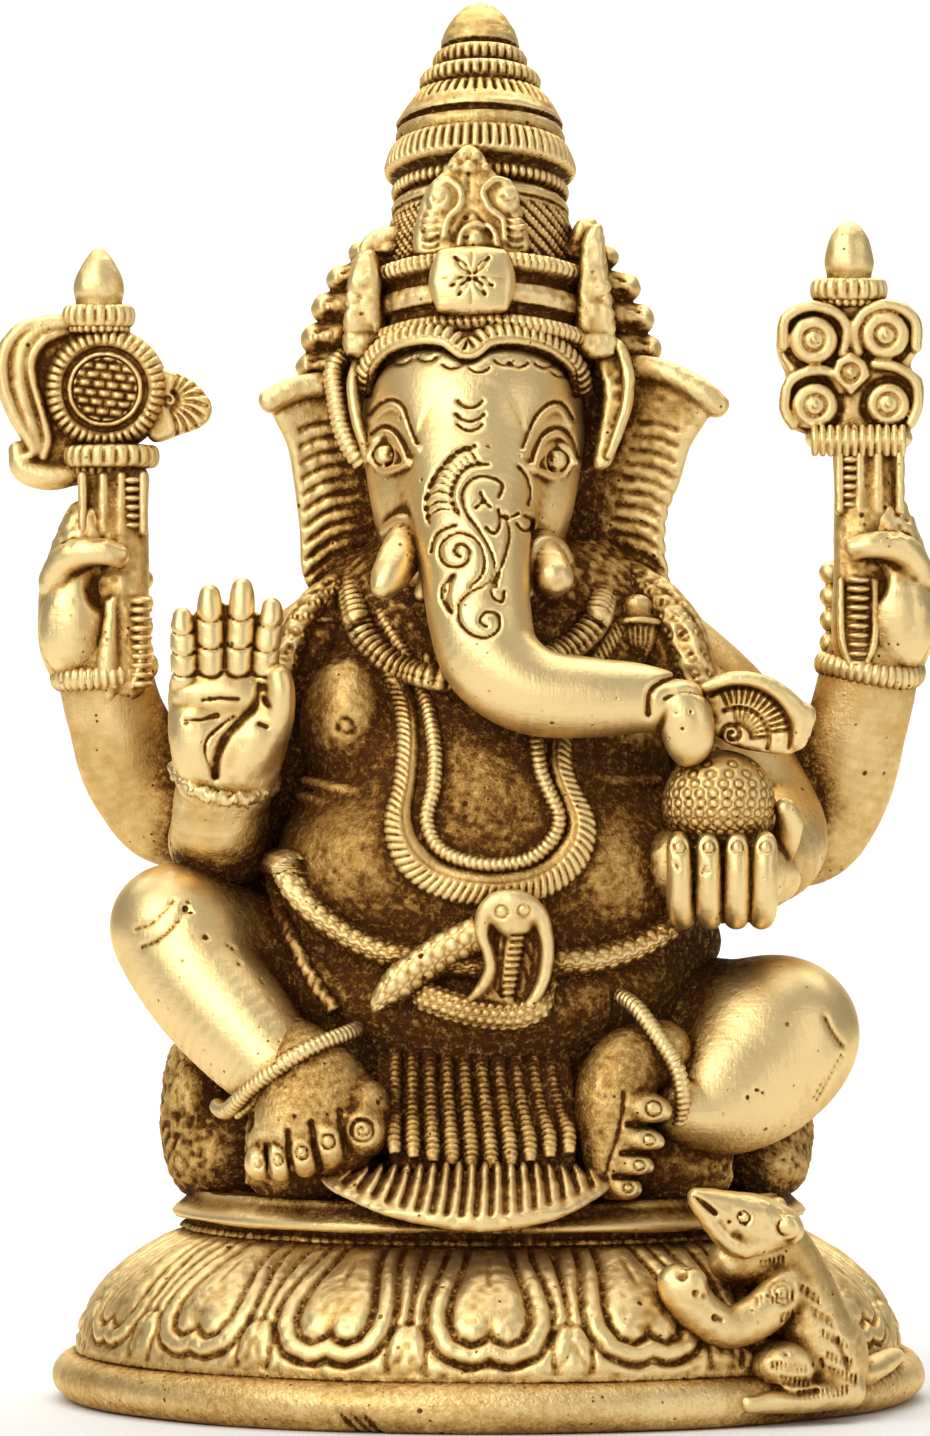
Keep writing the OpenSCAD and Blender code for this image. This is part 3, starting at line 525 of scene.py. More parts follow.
def brass(name, exposed, grain, polish, inked):
    """Cast brass. exposed is how much is rubbed bright, grain how rough the casting is, polish the roughness
    where it is rubbed, and inked how dark the cut lines are."""
    s = Shader(name)
    place = s.node("ShaderNodeTexCoord").outputs["Object"]
    relief = s.node("ShaderNodeAttribute", attribute_name="relief").outputs["Fac"]
    depth = s.node("ShaderNodeAttribute", attribute_name="depth").outputs["Fac"]
    fine = s.math("SUBTRACT", s.noise(place, 2300.0, 3.0, 0.7), 0.5)
    coarse = s.math("SUBTRACT", s.noise(place, 1000.0, 3.0, 0.65), 0.5)
    patches = s.math("SUBTRACT", s.noise(place, 190.0, 2.0, 0.6), 0.5)
    clouds = s.math("SUBTRACT", s.noise(place, 45.0, 2.0, 0.5), 0.5)

    # The depth attribute darkens the colour: patina in hollows, and painted shade in sheltered places, on
    # undersides, on back faces and in the lap.
    hollow_and_shade = s.math("MULTIPLY", s.math("SUBTRACT", depth, 0.5), 2.5)
    ridge = s.math("MAXIMUM", s.math("MINIMUM", s.math("MULTIPLY", relief, 2.4), 0.22), -0.22)
    cut_in = s.math("MINIMUM", s.math("ADD", relief, 0.015), 0.0)
    ridge = s.math("ADD", ridge, s.math("MULTIPLY", cut_in, inked))
    # Rubbed brightness on raised points, less the patina and painted shade that come from the depth
    # attribute.
    worn = s.math("ADD", s.math("SUBTRACT", exposed, hollow_and_shade), ridge)
    worn = s.math("ADD", worn, s.math("MULTIPLY", clouds, 0.7))
    worn = s.math("ADD", worn, s.math("MULTIPLY", patches, 0.35), clamp=True)
    buried = s.math("MAXIMUM", s.math("MULTIPLY", hollow_and_shade, 0.8), s.math("MULTIPLY", relief, -2.5))
    crusted = s.math("ADD", s.math("MAXIMUM", buried, 0.0), 0.06 * grain * grain, clamp=True)
    crust = s.math("ADD", s.math("MULTIPLY", coarse, 2.6), s.math("MULTIPLY", fine, 1.6))
    crust = s.math("MULTIPLY", crust, crusted)

    large_pits = s.pits(place, 330.0, 0.80)
    small_pits = s.pits(place, 620.0, 0.62)
    crusty = s.math("MULTIPLY", s.math("ADD", patches, crusted), 5.0, clamp=True)
    pit = s.math("MAXIMUM", large_pits, s.math("MULTIPLY", small_pits, crusty))
    tone = s.math("ADD", worn, crust)
    tone = s.math("SUBTRACT", tone, s.math("MULTIPLY", pit, 0.7), clamp=True)

    colour = s.ramp(tone, [
        (0.0, (0.090, 0.030, 0.005)), (0.2, (0.220, 0.098, 0.019)), (0.45, (0.430, 0.250, 0.070)),
        (0.7, (0.650, 0.430, 0.150)), (1.0, (0.880, 0.675, 0.325))])
    dull = s.ramp(tone, [(0.0, (0.72,) * 3), (0.4, (0.5,) * 3), (1.0, (polish,) * 3)])
    metal = s.ramp(tone, [(0.0, (0.75,) * 3), (0.3, (1.0,) * 3)])

    upright = s.node("ShaderNodeMapping", {"Vector": place, "Scale": (1.0, 1.0, 0.04)}).outputs[0]
    level = s.node("ShaderNodeMapping", {"Vector": place, "Scale": (0.05, 0.3, 1.0),
                                         "Rotation": (0.0, 0.5, 0.0)}).outputs[0]
    marks = s.math("ADD", s.noise(upright, 3200.0, 1.0), s.noise(level, 2400.0, 1.0))
    height = s.math("MULTIPLY", coarse, s.math("ADD", s.math("MULTIPLY", crusted, grain), 0.05))
    fine_share = s.math("ADD", s.math("MULTIPLY", crusted, grain * 0.6), 0.02)
    height = s.math("ADD", height, s.math("MULTIPLY", fine, fine_share))
    height = s.math("ADD", height, s.math("MULTIPLY", patches, 0.14))
    height = s.math("ADD", height, s.math("MULTIPLY", marks, 0.04))
    height = s.math("SUBTRACT", height, s.math("MULTIPLY", pit, 0.3))
    bump = s.node("ShaderNodeBump", {"Height": height, "Strength": 0.9, "Distance": 0.0007})
    shader = s.node("ShaderNodeBsdfPrincipled", {
        "Base Color": colour,
        "Roughness": dull,
        "Metallic": metal,
        "Specular Tint": (1.0, 0.86, 0.66, 1.0),
        "Normal": bump.outputs["Normal"],
    })
    s.node("ShaderNodeOutputMaterial", {"Surface": shader.outputs["BSDF"]})
    return s.material


POLISHED, ANTIQUE, ROUGH = "polished_brass", "antique_brass", "rough_cast_brass"
FINISHES = {
    POLISHED: brass(POLISHED, exposed=0.92, grain=0.8, polish=0.40, inked=7.0),
    ANTIQUE: brass(ANTIQUE, exposed=0.66, grain=1.2, polish=0.42, inked=0.0),
    ROUGH: brass(ROUGH, exposed=0.42, grain=1.9, polish=0.46, inked=0.0),
}


# ---------- Pedestal ----------

def plinth_rim():
    outline = evenly(smooth([
        [57.8, 0.0], [59.6, 0.0], [61.6, 0.5], [63.0, 1.9], [63.4, 3.4], [63.1, 4.9], [62.2, 6.1],
        [61.0, 6.8], [59.6, 7.0], [57.8, 6.8], [57.4, 3.4]], 5, closed=True), 0.4, closed=True, dims=2)

    def worn(turn, along, height):
        wave = 0.10 * np.sin(2 * math.pi * turn * 3 + 0.6) + 0.06 * np.sin(2 * math.pi * turn * 11 + height)
        nicks = 0.0
        for at in (0.6995, 0.7035, 0.7075):
            skew = turn - at + (height - 1.5) * 0.0016
            nicks = nicks - 0.7 * np.exp(-(skew / 0.0012) ** 2) * np.exp(-((height - 1.4) / 1.5) ** 2)
        return wave + nicks

    points, faces = turned(outline, 800, worn)
    points[:, 2] = np.maximum(points[:, 2], 0.0)
    piece("foot_rim", (points, faces), POLISHED, "plinth_rim")


PETALS = 16


def petal_heights(count_x, count_y, width, length):
    """The carved pattern of one petal, as heights over a grid from -0.5 to 0.5 across and 0 to 1 up."""
    x = (np.linspace(-0.5, 0.5, count_x) * width)[:, None]
    y = (np.linspace(0.0, 1.0, count_y) * length)[None, :]
    half = [[0.0, 7.6], [1.0, 6.5], [2.4, 5.9], [4.0, 6.6], [5.0, 8.6], [5.2, 11.0], [4.8, 14.0],
            [4.1, 17.5], [3.5, 21.0], [3.2, 26.0]]
    outline = np.array(half[::-1] + [[-a, b] for a, b in half[1:]])
    away = edge_distance(outline, x, y)
    tongue = 0.95 * (1 - np.exp(np.minimum(away, 0) / 1.3))
    groove_in = -0.55 * np.exp(-((away - 0.45) / 0.42) ** 2)
    band = 0.55 * np.exp(-((away - 2.1) / 1.05) ** 4)
    groove_out = -0.55 * np.exp(-((away - 3.75) / 0.42) ** 2)
    outer = 0.42 * np.exp(-((away - 5.4) / 1.1) ** 4)
    side = width / 2 - np.abs(x)
    crease = -0.75 * np.exp(-(side / 0.5) ** 2) * np.clip((y - 6.0) / 4.0, 0, 1)
    spine = -0.35 * np.exp(-(x / 0.35) ** 2) * np.exp(-((y - 17.5) / 2.4) ** 2)
    bud = 1.0 - np.hypot(side / 2.6, np.maximum(np.abs(y - 4.2) - 1.5, 0) / 3.2)
    bud_edge = -0.5 * np.exp(-(bud / 0.16) ** 2)
    bud_body = 0.6 * np.clip(bud, 0, 1)
    return tongue + groove_in + band + groove_out + outer + crease + spine + bud_body + bud_edge


def lotus_bell():
    outer = evenly(smooth([
        [60.0, 7.0], [59.9, 8.6], [59.2, 11.4], [57.4, 14.8], [54.6, 18.0], [51.2, 20.8], [47.6, 23.0],
        [44.8, 24.4], [43.0, 25.0]], 6), 0.27, dims=2)
    inner = evenly([[40.9, 24.6], [44.2, 22.8], [50.6, 17.8], [54.2, 13.4], [56.2, 9.0], [56.4, 7.0]], 2.0,
                   dims=2)
    outline = np.concatenate([outer, inner])
    length = total_length(np.c_[outer, np.zeros(len(outer))])
    width, fine = 22.0, 200
    heights = petal_heights(161, fine, width, length)

    def carved(turn, along, height):
        across = ((turn * PETALS + 0.5) % 1.0) * 160
        up = np.clip(along / length, 0, 1) * (fine - 1)
        across, up = np.broadcast_arrays(across, up)
        i, j = across.astype(int), up.astype(int)
        u, v = across - i, up - j
        i1, j1 = np.minimum(i + 1, 160), np.minimum(j + 1, fine - 1)
        h = (heights[i, j] * (1 - u) * (1 - v) + heights[i1, j] * u * (1 - v)
             + heights[i, j1] * (1 - u) * v + heights[i1, j1] * u * v)
        wear = 0.85 + 0.25 * np.sin(2 * math.pi * turn * 2 + 1.0)
        fade = np.clip((along - 0.8) / 1.5, 0, 1) * np.clip((length - 1.0 - along) / 2.5, 0, 1)
        return np.where(along <= length, (h * wear - 0.2) * fade, 0.0)

    shape = moved(turned(outline, 900, carved), turn=(0, 0, 90))
    points, faces = shape
    outward = unit(np.c_[points[:, :2], np.full(len(points), 12.0)])
    points = points + outward * (0.16 * noise(points, 1.1) + 0.12 * noise(points, 3.1))[:, None]
    piece("lotus_bell_carved", (points, faces), ANTIQUE, "lotus_bell", "lotus_petals")


def neck_collar():
    outline = evenly([[41.0, 23.8], [43.6, 24.4], [44.6, 25.0], [44.3, 25.6], [43.6, 25.9], [43.9, 26.5],
                      [44.6, 26.9], [44.2, 27.3], [41.0, 27.3]], 0.26, closed=True, dims=2)

    def beads(turn, along, height):
        ticks = np.abs(np.sin(math.pi * turn * 150))
        return np.where((height > 24.3) & (height < 27.2), -0.28 * (1 - ticks) ** 2, 0.0)

    points, faces = turned(outline, 1100, beads)
    outward = unit(np.c_[points[:, :2], np.zeros(len(points))])
    points = points + outward * (0.4 * noise(points, 1.2) + 0.25 * noise(points, 3.0))[:, None]
    piece("ribbed_neck", (points, faces), ROUGH, "neck_collar")


def seat_plate():
    outline = evenly(smooth([
        [0.01, 26.6], [30.0, 26.6], [43.0, 26.6], [45.6, 26.7], [46.1, 27.1], [45.9, 27.7], [45.0, 28.4],
        [43.9, 29.4], [43.4, 30.3], [42.4, 30.7], [30.0, 30.6], [0.01, 30.6]], 5), 0.8, dims=2)

    def wavy(turn, along, height):
        return 0.14 * np.sin(2 * math.pi * turn * 5) + 0.1 * np.sin(2 * math.pi * turn * 13 + 2)

    points, faces = turned(outline, 600, wavy, closed=False)
    points[:, 2] += 0.2 * noise(points, 1.4) * np.clip(1 - np.abs(points[:, 2] - 30.0) / 1.6, 0, 1)
    piece("seat_disc", (points, faces), ANTIQUE, "seat_plate")


def cushion():
    clay = Clay([-54, -22, 28.5], [54, 48, 58], 0.5)
    clay.limb([
        [-36, -10, 36, 5.2, 6.5], [-42, 2, 38, 5.4, 8.4], [-37.5, 17, 37.5, 5.6, 7.8],
        [-21, 31, 37, 5.8, 7.2], [0, 36.5, 37, 6, 7.2], [21, 31, 37, 5.8, 7.2], [37.5, 17, 37, 5.6, 7.4],
        [42, 2, 37, 5.2, 7.6], [38, -9, 36, 5, 6.4]], face=UP)
    clay.ball([-42, -3, 43], [5.6, 8, 10.5], blend=3)
    clay.ball([-39, -7, 35], [6.6, 7, 6.5], blend=3)
    clay.ball([41.5, -2, 38.5], [5, 8, 7.4], blend=3)
    clay.ball([40, -8, 34], [6, 6, 4.6], blend=3)
    for k in range(14):
        a = math.radians(-25 + 230 * k / 13)
        clay.score(smooth([[math.cos(a) * r, 2 + math.sin(a) * r * 0.96, z] for r, z in
                           ((34, 43), (39, 45.5), (44, 42), (46.5, 36), (44, 31))], 4), 0.5, 0.35)
    points, faces = clay.cast()
    away = unit(points - np.array([0, 4, 37]))
    swell = 0.3 * noise(points, 0.8) + 0.18 * noise(points, 1.6) + 0.5 * noise(points, 5.0)
    points = points + away * swell[:, None]
    piece("bolster", (points, faces), ROUGH, "cushion")


# ---------- Torso ----------

def ribbed(along, pitch, depth):
    """Rounded ribs across a cord: 0 on each crest and -depth in each groove."""
    return -depth * (1 - np.abs(np.sin(math.pi * along / pitch))) ** 1.6


def scales(along, round_it, pitch):
    """Rows of punched circles, as a height in mm."""
    v = round_it / (0.87 * pitch)
    row = np.round(v)
    du = (along / pitch + 0.5 * (row % 2) + 0.5) % 1.0 - 0.5
    away = pitch * np.hypot(du, (v - row) * 0.87)
    return 0.05 * np.exp(-(away / (0.3 * pitch)) ** 4) - 0.2 * np.exp(-((away - 0.42 * pitch) / 0.2) ** 2)


TORSO_RINGS = [
    [0, -4, 30.4, 33, 27], [0, -5, 40, 36, 29], [0, -6, 50, 34.5, 28.5], [0, -7, 60, 32, 29],
    [0, -7, 72, 31, 28.5], [0, -6.5, 82, 29, 26.5], [0, -5, 91, 26, 21.5], [0, -4, 99, 27, 20],
    [0, -3, 106, 29, 18], [0, -2.5, 112, 27, 15.5], [0, -2, 117, 19, 13], [0, -2, 122, 12, 11], ]


def torso_clay():
    """The chest, belly and folds of flesh, before any marks are cut."""
    clay = Clay([-38, -45, 29.5], [38, 27, 124], 0.45)
    clay.limb(TORSO_RINGS, 4)
    clay.ball([-15.5, -17.5, 76.5], [15, 17.4, 13.5], blend=4)
    clay.ball([16.5, -17, 76], [14.5, 17, 13], blend=4)
    clay.ball([0, -13, 74], [20, 21.5, 12], blend=5)
    clay.ball([-20, -16.4, 98.4], [7.2, 9.2, 9.4], [0, 0, 8], blend=2.6)
    clay.ball([18.6, -16, 96.4], [7, 9, 8], [0, 0, -8], blend=2.6)
    clay.ball([0.1, -23.4, 85], [7.6, 6.4, 6], blend=0.8)
    clay.limb([[-29, -13, 66, 4, 4.6], [-22, -24, 60.4, 5.6, 5.4], [-11, -30, 57.8, 6.8, 6.4],
               [1, -31.6, 57, 7.2, 6.8], [12, -30, 58.4, 6.8, 6.4], [21, -24, 61.6, 5.8, 5.4],
               [29, -13, 66.6, 4.2, 4.6]], blend=3)
    clay.limb([[-31, -12, 76, 1.6, 2.2], [-28, -20, 69, 1.8, 2.4], [-23.6, -27.6, 62.6, 2, 2.4],
               [-19, -31, 57.6, 1.8, 2]], blend=1)
    for z, low in ((88.6, -15.6), (86.4, -16.4)):
        clay.limb([[low, -27, z - 1.2, 0.9, 1], [low - 5.5, -25, z, 1, 1.1],
                   [low - 10.5, -20, z + 1.2, 0.8, 0.9]], blend=0.8)
    for z, high in ((91, 24), (88.8, 25), (86.6, 25.4)):
        clay.limb([[12.4, -27, z - 0.4, 0.9, 1], [18.5, -25.4, z - 1.4, 1.1, 1.2],
                   [high, -21, z - 1.2, 0.9, 1]], blend=0.8)
    for side in (-1, 1):
        for k in range(4):
            x, z = side * (2.0 + 1.9 * k) - 0.3, 93.4 + 2.7 * k
            clay.limb([[x - side * 1.4, -23.4, z - 1.4, 0.7, 0.8], [x, -24.4, z + 2, 0.9, 1],
                       [x + side * 0.6, -23.6, z + 6, 0.8, 0.9]], blend=0.4)
        clay.limb([[-0.3 + side * 8.6, -22.6, 103.4, 0.8, 1], [-0.3 + side * 4.4, -24.6, 97.6, 0.9, 1.2],
                   [-0.3, -25.6, 92.8, 0.9, 1.1]], blend=0.4)
    return clay


def torso():
    clay = torso_clay()
    bare = copy.deepcopy(clay)
    clay.punch(clay.front(-20.4, 97.6), 1.15, 0.28, 0.5)
    clay.punch(clay.front(19.4, 93.6), 1.0, 0.28, 0.4)
    points, faces = clay.cast()
    seamy = noise(points, 0.9) * 0.12 + noise(points, 2.6) * 0.16
    calm = np.clip(bare.sample(points + unit(points - [0, -4, 0]) * 1.5) / 1.5, 0.0, 1.0)
    collar = np.clip((points[:, 2] - 103) / 6, 0, 1) * 0.34 * noise(points, 1.0)
    points = points + unit(points * [1, 1, 0.2]) * (seamy * (1.25 - calm) + collar)[:, None]
    piece("torso_body", (points, faces), ANTIQUE, "torso")
    return bare


def laid(clay, flat, lift, spacing=0.3):
    """A line through (x, z) points laid on the front of a clay form, raised by lift and evenly spaced."""
    flat = evenly(smooth(flat, 8), 0.8, dims=2)
    start = np.stack([flat[:, 0], np.full(len(flat), AHEAD), flat[:, 1]], axis=1)
    p = clay.land(start, -FRONT)
    for _ in range(6):
        p[1:-1, 1] = (p[:-2, 1] + 2 * p[1:-1, 1] + p[2:, 1]) / 4
    p[:, 1] -= lift
    return evenly(p, spacing)


def round_back(front_line, back, spacing=0.3):
    """A closed line: a laid front part, then stations that go round behind."""
    return evenly(smooth(np.concatenate([front_line[::6], np.array(back, float)]), 6, closed=True), spacing,
                  closed=True)


def garlands(body):
    outer = laid(body, [[-13.8, 105], [-12, 100.5], [-11.5, 95], [-12, 89.4], [-12.9, 84.5], [-11.6, 79.9],
                        [-7.8, 76.4], [-2, 74.8], [4, 74.9], [8.8, 76.6], [12.2, 80], [13.1, 84],
                        [11.4, 88.4], [10.2, 92], [10.4, 98], [12.6, 104.4]], 0.6)
    path = round_back(outer, [[19, -13, 113.2], [18.6, -2, 118], [11, 9.6, 118.6], [0, 12.6, 118.4],
                              [-11, 9.6, 118.4], [-19, -2, 118], [-20, -13, 113.2]], 0.22)
    low = np.clip((88 - path[:, 2]) / 9, 0, 1) * (path[:, 1] < -14)
    rows = np.c_[path, 1.7 + 0.85 * low, 1.2 + 0.0 * low]

    def fans(along, angle):
        outside = np.clip(np.cos(angle) * 2.2 + 0.7, 0, 1)
        rib = ribbed(along + 0.9 * np.cos(angle), 1.05, 0.42)
        facing = np.clip(np.sin(angle) * 3 + 1, 0, 1)
        return rib * facing * outside - 0.2 * np.exp(-((np.cos(angle) + 0.35) / 0.1) ** 2)

    piece("rope_garland_outer", cord(rows, fans, True, 40, [0, -1, 0.3]), ANTIQUE,
          "rope_garland")
    inner = laid(body, [[-10, 104.8], [-8.4, 99.2], [-7.6, 93.6], [-7.9, 88.6], [-8.8, 84.6], [-7.5, 80.9],
                        [-4.2, 78.9], [0.8, 78.1], [5.8, 79], [9, 81.8], [9.9, 84.8], [8.5, 88.4],
                        [7.2, 92], [6.8, 98], [8.6, 104.4]], 0.75)
    path = round_back(inner, [[14.4, -14, 114.6], [14.6, -2, 119.8], [8.6, 8.8, 120.4], [0, 11, 120.4],
                              [-8.6, 8.8, 120.4], [-14.6, -2, 119.8], [-15.8, -14, 114.6]], 0.2)

    def rings(along, angle):
        return ribbed(along + 0.3 * np.sin(angle), 0.92, 0.32)

    shape = cord(path, rings, True, 26, [0, -1, 0.3], [1.15, 1.15])
    piece("bead_garland_inner", shape, ANTIQUE, "bead_garland")


def necklace(body):
    front_line = laid(body, [[-18.8, 113.4], [-17.4, 110.2], [-14.4, 107.2], [-10.6, 105.4], [-4, 104.2],
                             [2, 104.6], [7.4, 106.8], [11.6, 109.0], [14.4, 111.6], [15.6, 114]], 0.9)
    path = round_back(front_line, [[16.4, -8, 118.4], [13.4, 0, 121], [7, 8.6, 121], [-2, 11.2, 121],
                                   [-12, 6.4, 121], [-17.4, -2, 120.6], [-19.4, -9, 118]])

    def ribs(along, angle):
        rib = ribbed(along, 1.2, 0.8) * np.clip(np.sin(angle) * 3 + 0.6, 0, 1)
        return rib - 0.3 * np.exp(-((np.abs(np.cos(angle)) - 0.8) / 0.08) ** 2)

    shape = cord(path, ribs, True, 30, [0, -1, 1], [2.4, 1.8])
    piece("necklace_collar", shape, ANTIQUE, "necklace_band")


def pendants(body):
    shapes = []
    for x in (-24.0, 21.4):
        clay = Clay([x - 5, -34, 104], [x + 5, -10, 118], 0.26)
        y = float(body.front(x, 110.6)[1]) - 0.2
        clay.ball([x, y + 0.6, 114.8], [2.2, 1.4, 1.8], blend=0.5)
        clay.limb([[x, y + 0.2, 113.8, 2.0, 1.2], [x, y, 112, 3.0, 1.5], [x, y - 0.2, 109.8, 2.9, 1.6],
                   [x, y - 0.2, 107.8, 1.9, 1.3], [x, y, 106.2, 0.8, 0.9]], blend=0.3)
        clay.limb([[x - 2.9, y - 0.6, 112.5, 0.6, 0.6], [x, y - 1.4, 112.8, 0.6, 0.6],
                   [x + 2.9, y - 0.6, 112.5, 0.6, 0.6]], blend=0.2)
        lines = [[[x + k * 0.85, 112.0], [x + k * 0.7, 109.6],
                  [x + k * 0.2, 107.0]] for k in (-2, -1, 0, 1, 2)]
        clay.engrave(lines, 0.22, 0.4, y - 4, y + 0.6)
        shapes.append(clay.cast())
    piece("shoulder_pendants", grouped(shapes), ANTIQUE, "pendants")


def shawl():
    shapes = []
    for side, half in ((-1, 2.6), (1, 3.4)):
        inner, outer = sorted([side * 8, side * 39])
        clay = Clay([inner, -24, 93], [outer, 12, 127], 0.34)
        stations = [[side * 12, 6, 121.6, 1.5, 3.2], [side * 20.4, -4, 118.4, half - 0.4, 4.2],
                    [side * 26.6, -11.4, 113.0, half, 4.2], [side * 29.4, -14.4, 105.6, half, 4],
                    [side * 30.6, -13.6, 98.6, half - 0.4, 3.2]]
        clay.limb(stations, 6, blend=0.5)
        clay.limb([[side * 17, -4, 116, 3, 4], [side * 24.4, -10.6, 109, 3.4, 4.4],
                   [side * 27.4, -12, 101, 3, 4]], blend=1)
        line = evenly(smooth(np.array(stations)[:, :3], 6), 1.7)
        for k, (x, _, z) in enumerate(line):
            for shift in (-0.7 * half, 0.0, 0.7 * half):
                spot = clay.land([[x + side * shift, -40, z + 0.8 * (k % 2)]], -FRONT)[0]
                clay.punch(spot, 0.62, 0.2, 0.36)
        for shift in (-half * 0.9, half * 0.9):
            edge = clay.land(np.c_[line[:, 0] + side * shift, np.full(len(line), -40.0), line[:, 2]], -FRONT)
            keep = edge[:, 1] < 8
            if keep.sum() > 2:
                clay.score(edge[keep], 0.3, 0.55)
        shapes.append(clay.cast_rough([side * 20, 4, 108], 0.3, 1.1))
    piece("shawl_edges", grouped(shapes), ANTIQUE, "shawl")


def snake(body):
    belt = laid(body, [[-28.4, 78], [-26, 73.2], [-21.9, 69.5], [-17.3, 66.8], [-12.6, 65.2], [-6, 64.4],
                       [2, 63.8], [8.5, 64.4], [14.4, 64.6], [20, 66.2], [25, 69], [28.4, 72.6]], 0.6)
    path = round_back(belt, [[31.8, -2, 75], [25, 14, 75], [9, 21.6, 75], [-9, 21.6, 75.4], [-25, 14, 76.4],
                             [-31.6, -2, 77.6]], 0.24)

    def skin(along, angle):
        return scales(along, angle * 2.6, 2.1) - 0.22 * np.exp(-((np.cos(angle) + 0.94) / 0.05) ** 2)

    shape = cord(path, skin, True, 72, UP, [3.1, 2.1])
    piece("snake_belt_scaled", shape, ANTIQUE, "snake_belt")

    tail = laid(body, [[-16.2, 57.6], [-15.2, 59.2], [-12.6, 61.6], [-9.6, 63.8], [-6.4, 66], [-3.2, 67.6],
                       [-1.2, 68.6]], 2.9)
    t = np.linspace(0, 1, len(tail))
    half = 0.5 + 2.2 * np.clip(t * 3.4, 0, 1) ** 0.7
    rows = np.c_[tail, half, 0.5 + half * 0.7]
    coil = laid(body, [[-12.4, 61.4], [-9.4, 59.8], [-5, 58.2], [-0.4, 57.2], [4.4, 57.2], [7.6, 59.2],
                       [9, 61.8]], 1.4)
    u = np.linspace(0, 1, len(coil))
    thick = 2.3 * np.clip(u * 6, 0.3, 1) * np.clip((1 - u) * 6, 0.3, 1)
    coil_rows = np.c_[coil, thick, thick * 0.8]
    shape = grouped([cord(rows, lambda s, a: scales(s, a * 2.1, 2.1), around=64),
                     cord(coil_rows, lambda s, a: 1.2 * scales(s, a * 1.9, 1.25), around=64)])
    piece("snake_tail_crossed", shape, ANTIQUE, "snake_tail")


def cobra_hood(body):
    y = float(body.front(3, 66)[1]) - 3.2
    clay = Clay([-7, y - 8, 53], [13, y + 8, 78], 0.22)
    outline = smooth([[3.0, 74.2], [6.2, 73.2], [8.3, 70.8], [9.0, 67.4], [8.8, 64], [7.9, 60.8],
                      [6.5, 58.2], [4.5, 56.9], [2.4, 57.4], [0.6, 58.6], [-1.2, 58.8], [-3.0, 59.0],
                      [-1.6, 60.8], [-0.7, 62.8], [-0.5, 65], [-1.4, 67.4], [-1.9, 69.8], [-1.2, 72.2],
                      [0.6, 73.8]], 4, closed=True)
    clay.slab(outline, y - 1.8, y + 6, 1.1, 0.8)
    hollow = smooth([[3.2, 69.4], [5.8, 69.0], [7.2, 67.0], [7.2, 64.0], [6.4, 61.2], [4.9, 58.9],
                     [2.4, 59.6], [0.8, 60.8], [0.9, 62.8], [1.2, 65], [0.6, 67.2],
                     [1.0, 69.0]], 4, closed=True)
    clay.slab(hollow, y - 6, y - 1.1, 0.3, 0.4, cut=True)
    clay.limb([[2.6, y - 1.2, 59.2, 0.9, 0.8], [2.8, y - 1.4, 62, 1.2, 1], [3.2, y - 1.5, 65, 1.35, 1.1],
               [3.6, y - 1.7, 68, 1.4, 1.1], [3.7, y - 1.8, 70.2, 1.2, 1]], blend=0.2)
    clay.limb([[1.0, y - 1.0, 60.2, 0.35, 0.5], [1.5, y - 1.2, 63.4, 0.45, 0.6],
               [1.6, y - 1.2, 66.4, 0.4, 0.6], [1.9, y - 1.2, 68.6, 0.35, 0.5]], blend=0.2)
    clay.limb([[-2.6, y - 1.3, 59.4, 0.6, 0.8], [-0.9, y - 1.6, 61.2, 0.9, 1], [0.1, y - 1.8, 63.6, 0.9, 1.1],
               [-0.2, y - 1.9, 66, 0.85, 1.1], [-1.0, y - 1.9, 68.6, 1.0, 1.2],
               [-0.6, y - 2.1, 71.4, 1.3, 1.3],
               [1.4, y - 2.4, 73.2, 1.5, 1.4], [4.4, y - 2.4, 73.2, 1.5, 1.4], [7.0, y - 2.1, 71.2, 1.3, 1.3],
               [8.1, y - 1.8, 67.6, 1.0, 1.2], [8.0, y - 1.7, 64, 0.95, 1.1], [7.2, y - 1.6, 61, 0.9, 1.1],
               [5.8, y - 1.5, 58.6, 0.8, 1]], blend=0.6)
    clay.ball([3.3, y - 2.4, 71.4], [3.6, 1.5, 2.5], blend=1)
    clay.ball([3.5, y - 2.3, 69.5], [2.2, 1.4, 1.4], blend=0.8)
    clay.engrave([[[1.7 + 0.17 * k, 59.8 + 0.95 * k], [3.7 + 0.15 * k, 59.9 + 0.95 * k]] for k in range(10)],
                 0.18, 0.4, y - 6, y)
    clay.engrave([smooth([[5.6, 68.6], [6.4, 66.8], [6.1, 64.8]], 3),
                  smooth([[5.4, 66.2], [6.2, 64.2], [5.7, 62]], 3),
                  smooth([[5.0, 63.6], [5.5, 61.8], [4.9, 60]], 3)], 0.18, 0.3, y - 6, y)
    for x, z in ((1.7, 71.7), (4.9, 71.9)):
        clay.punch(clay.front(x, z, y - 8), 0.85, 0.18, 0.36)
    piece("cobra_hood_raised", clay.cast_rough([3, y + 12, 66], 0.06, 1.0), ANTIQUE, "cobra_hood")


# ---------- Legs ----------

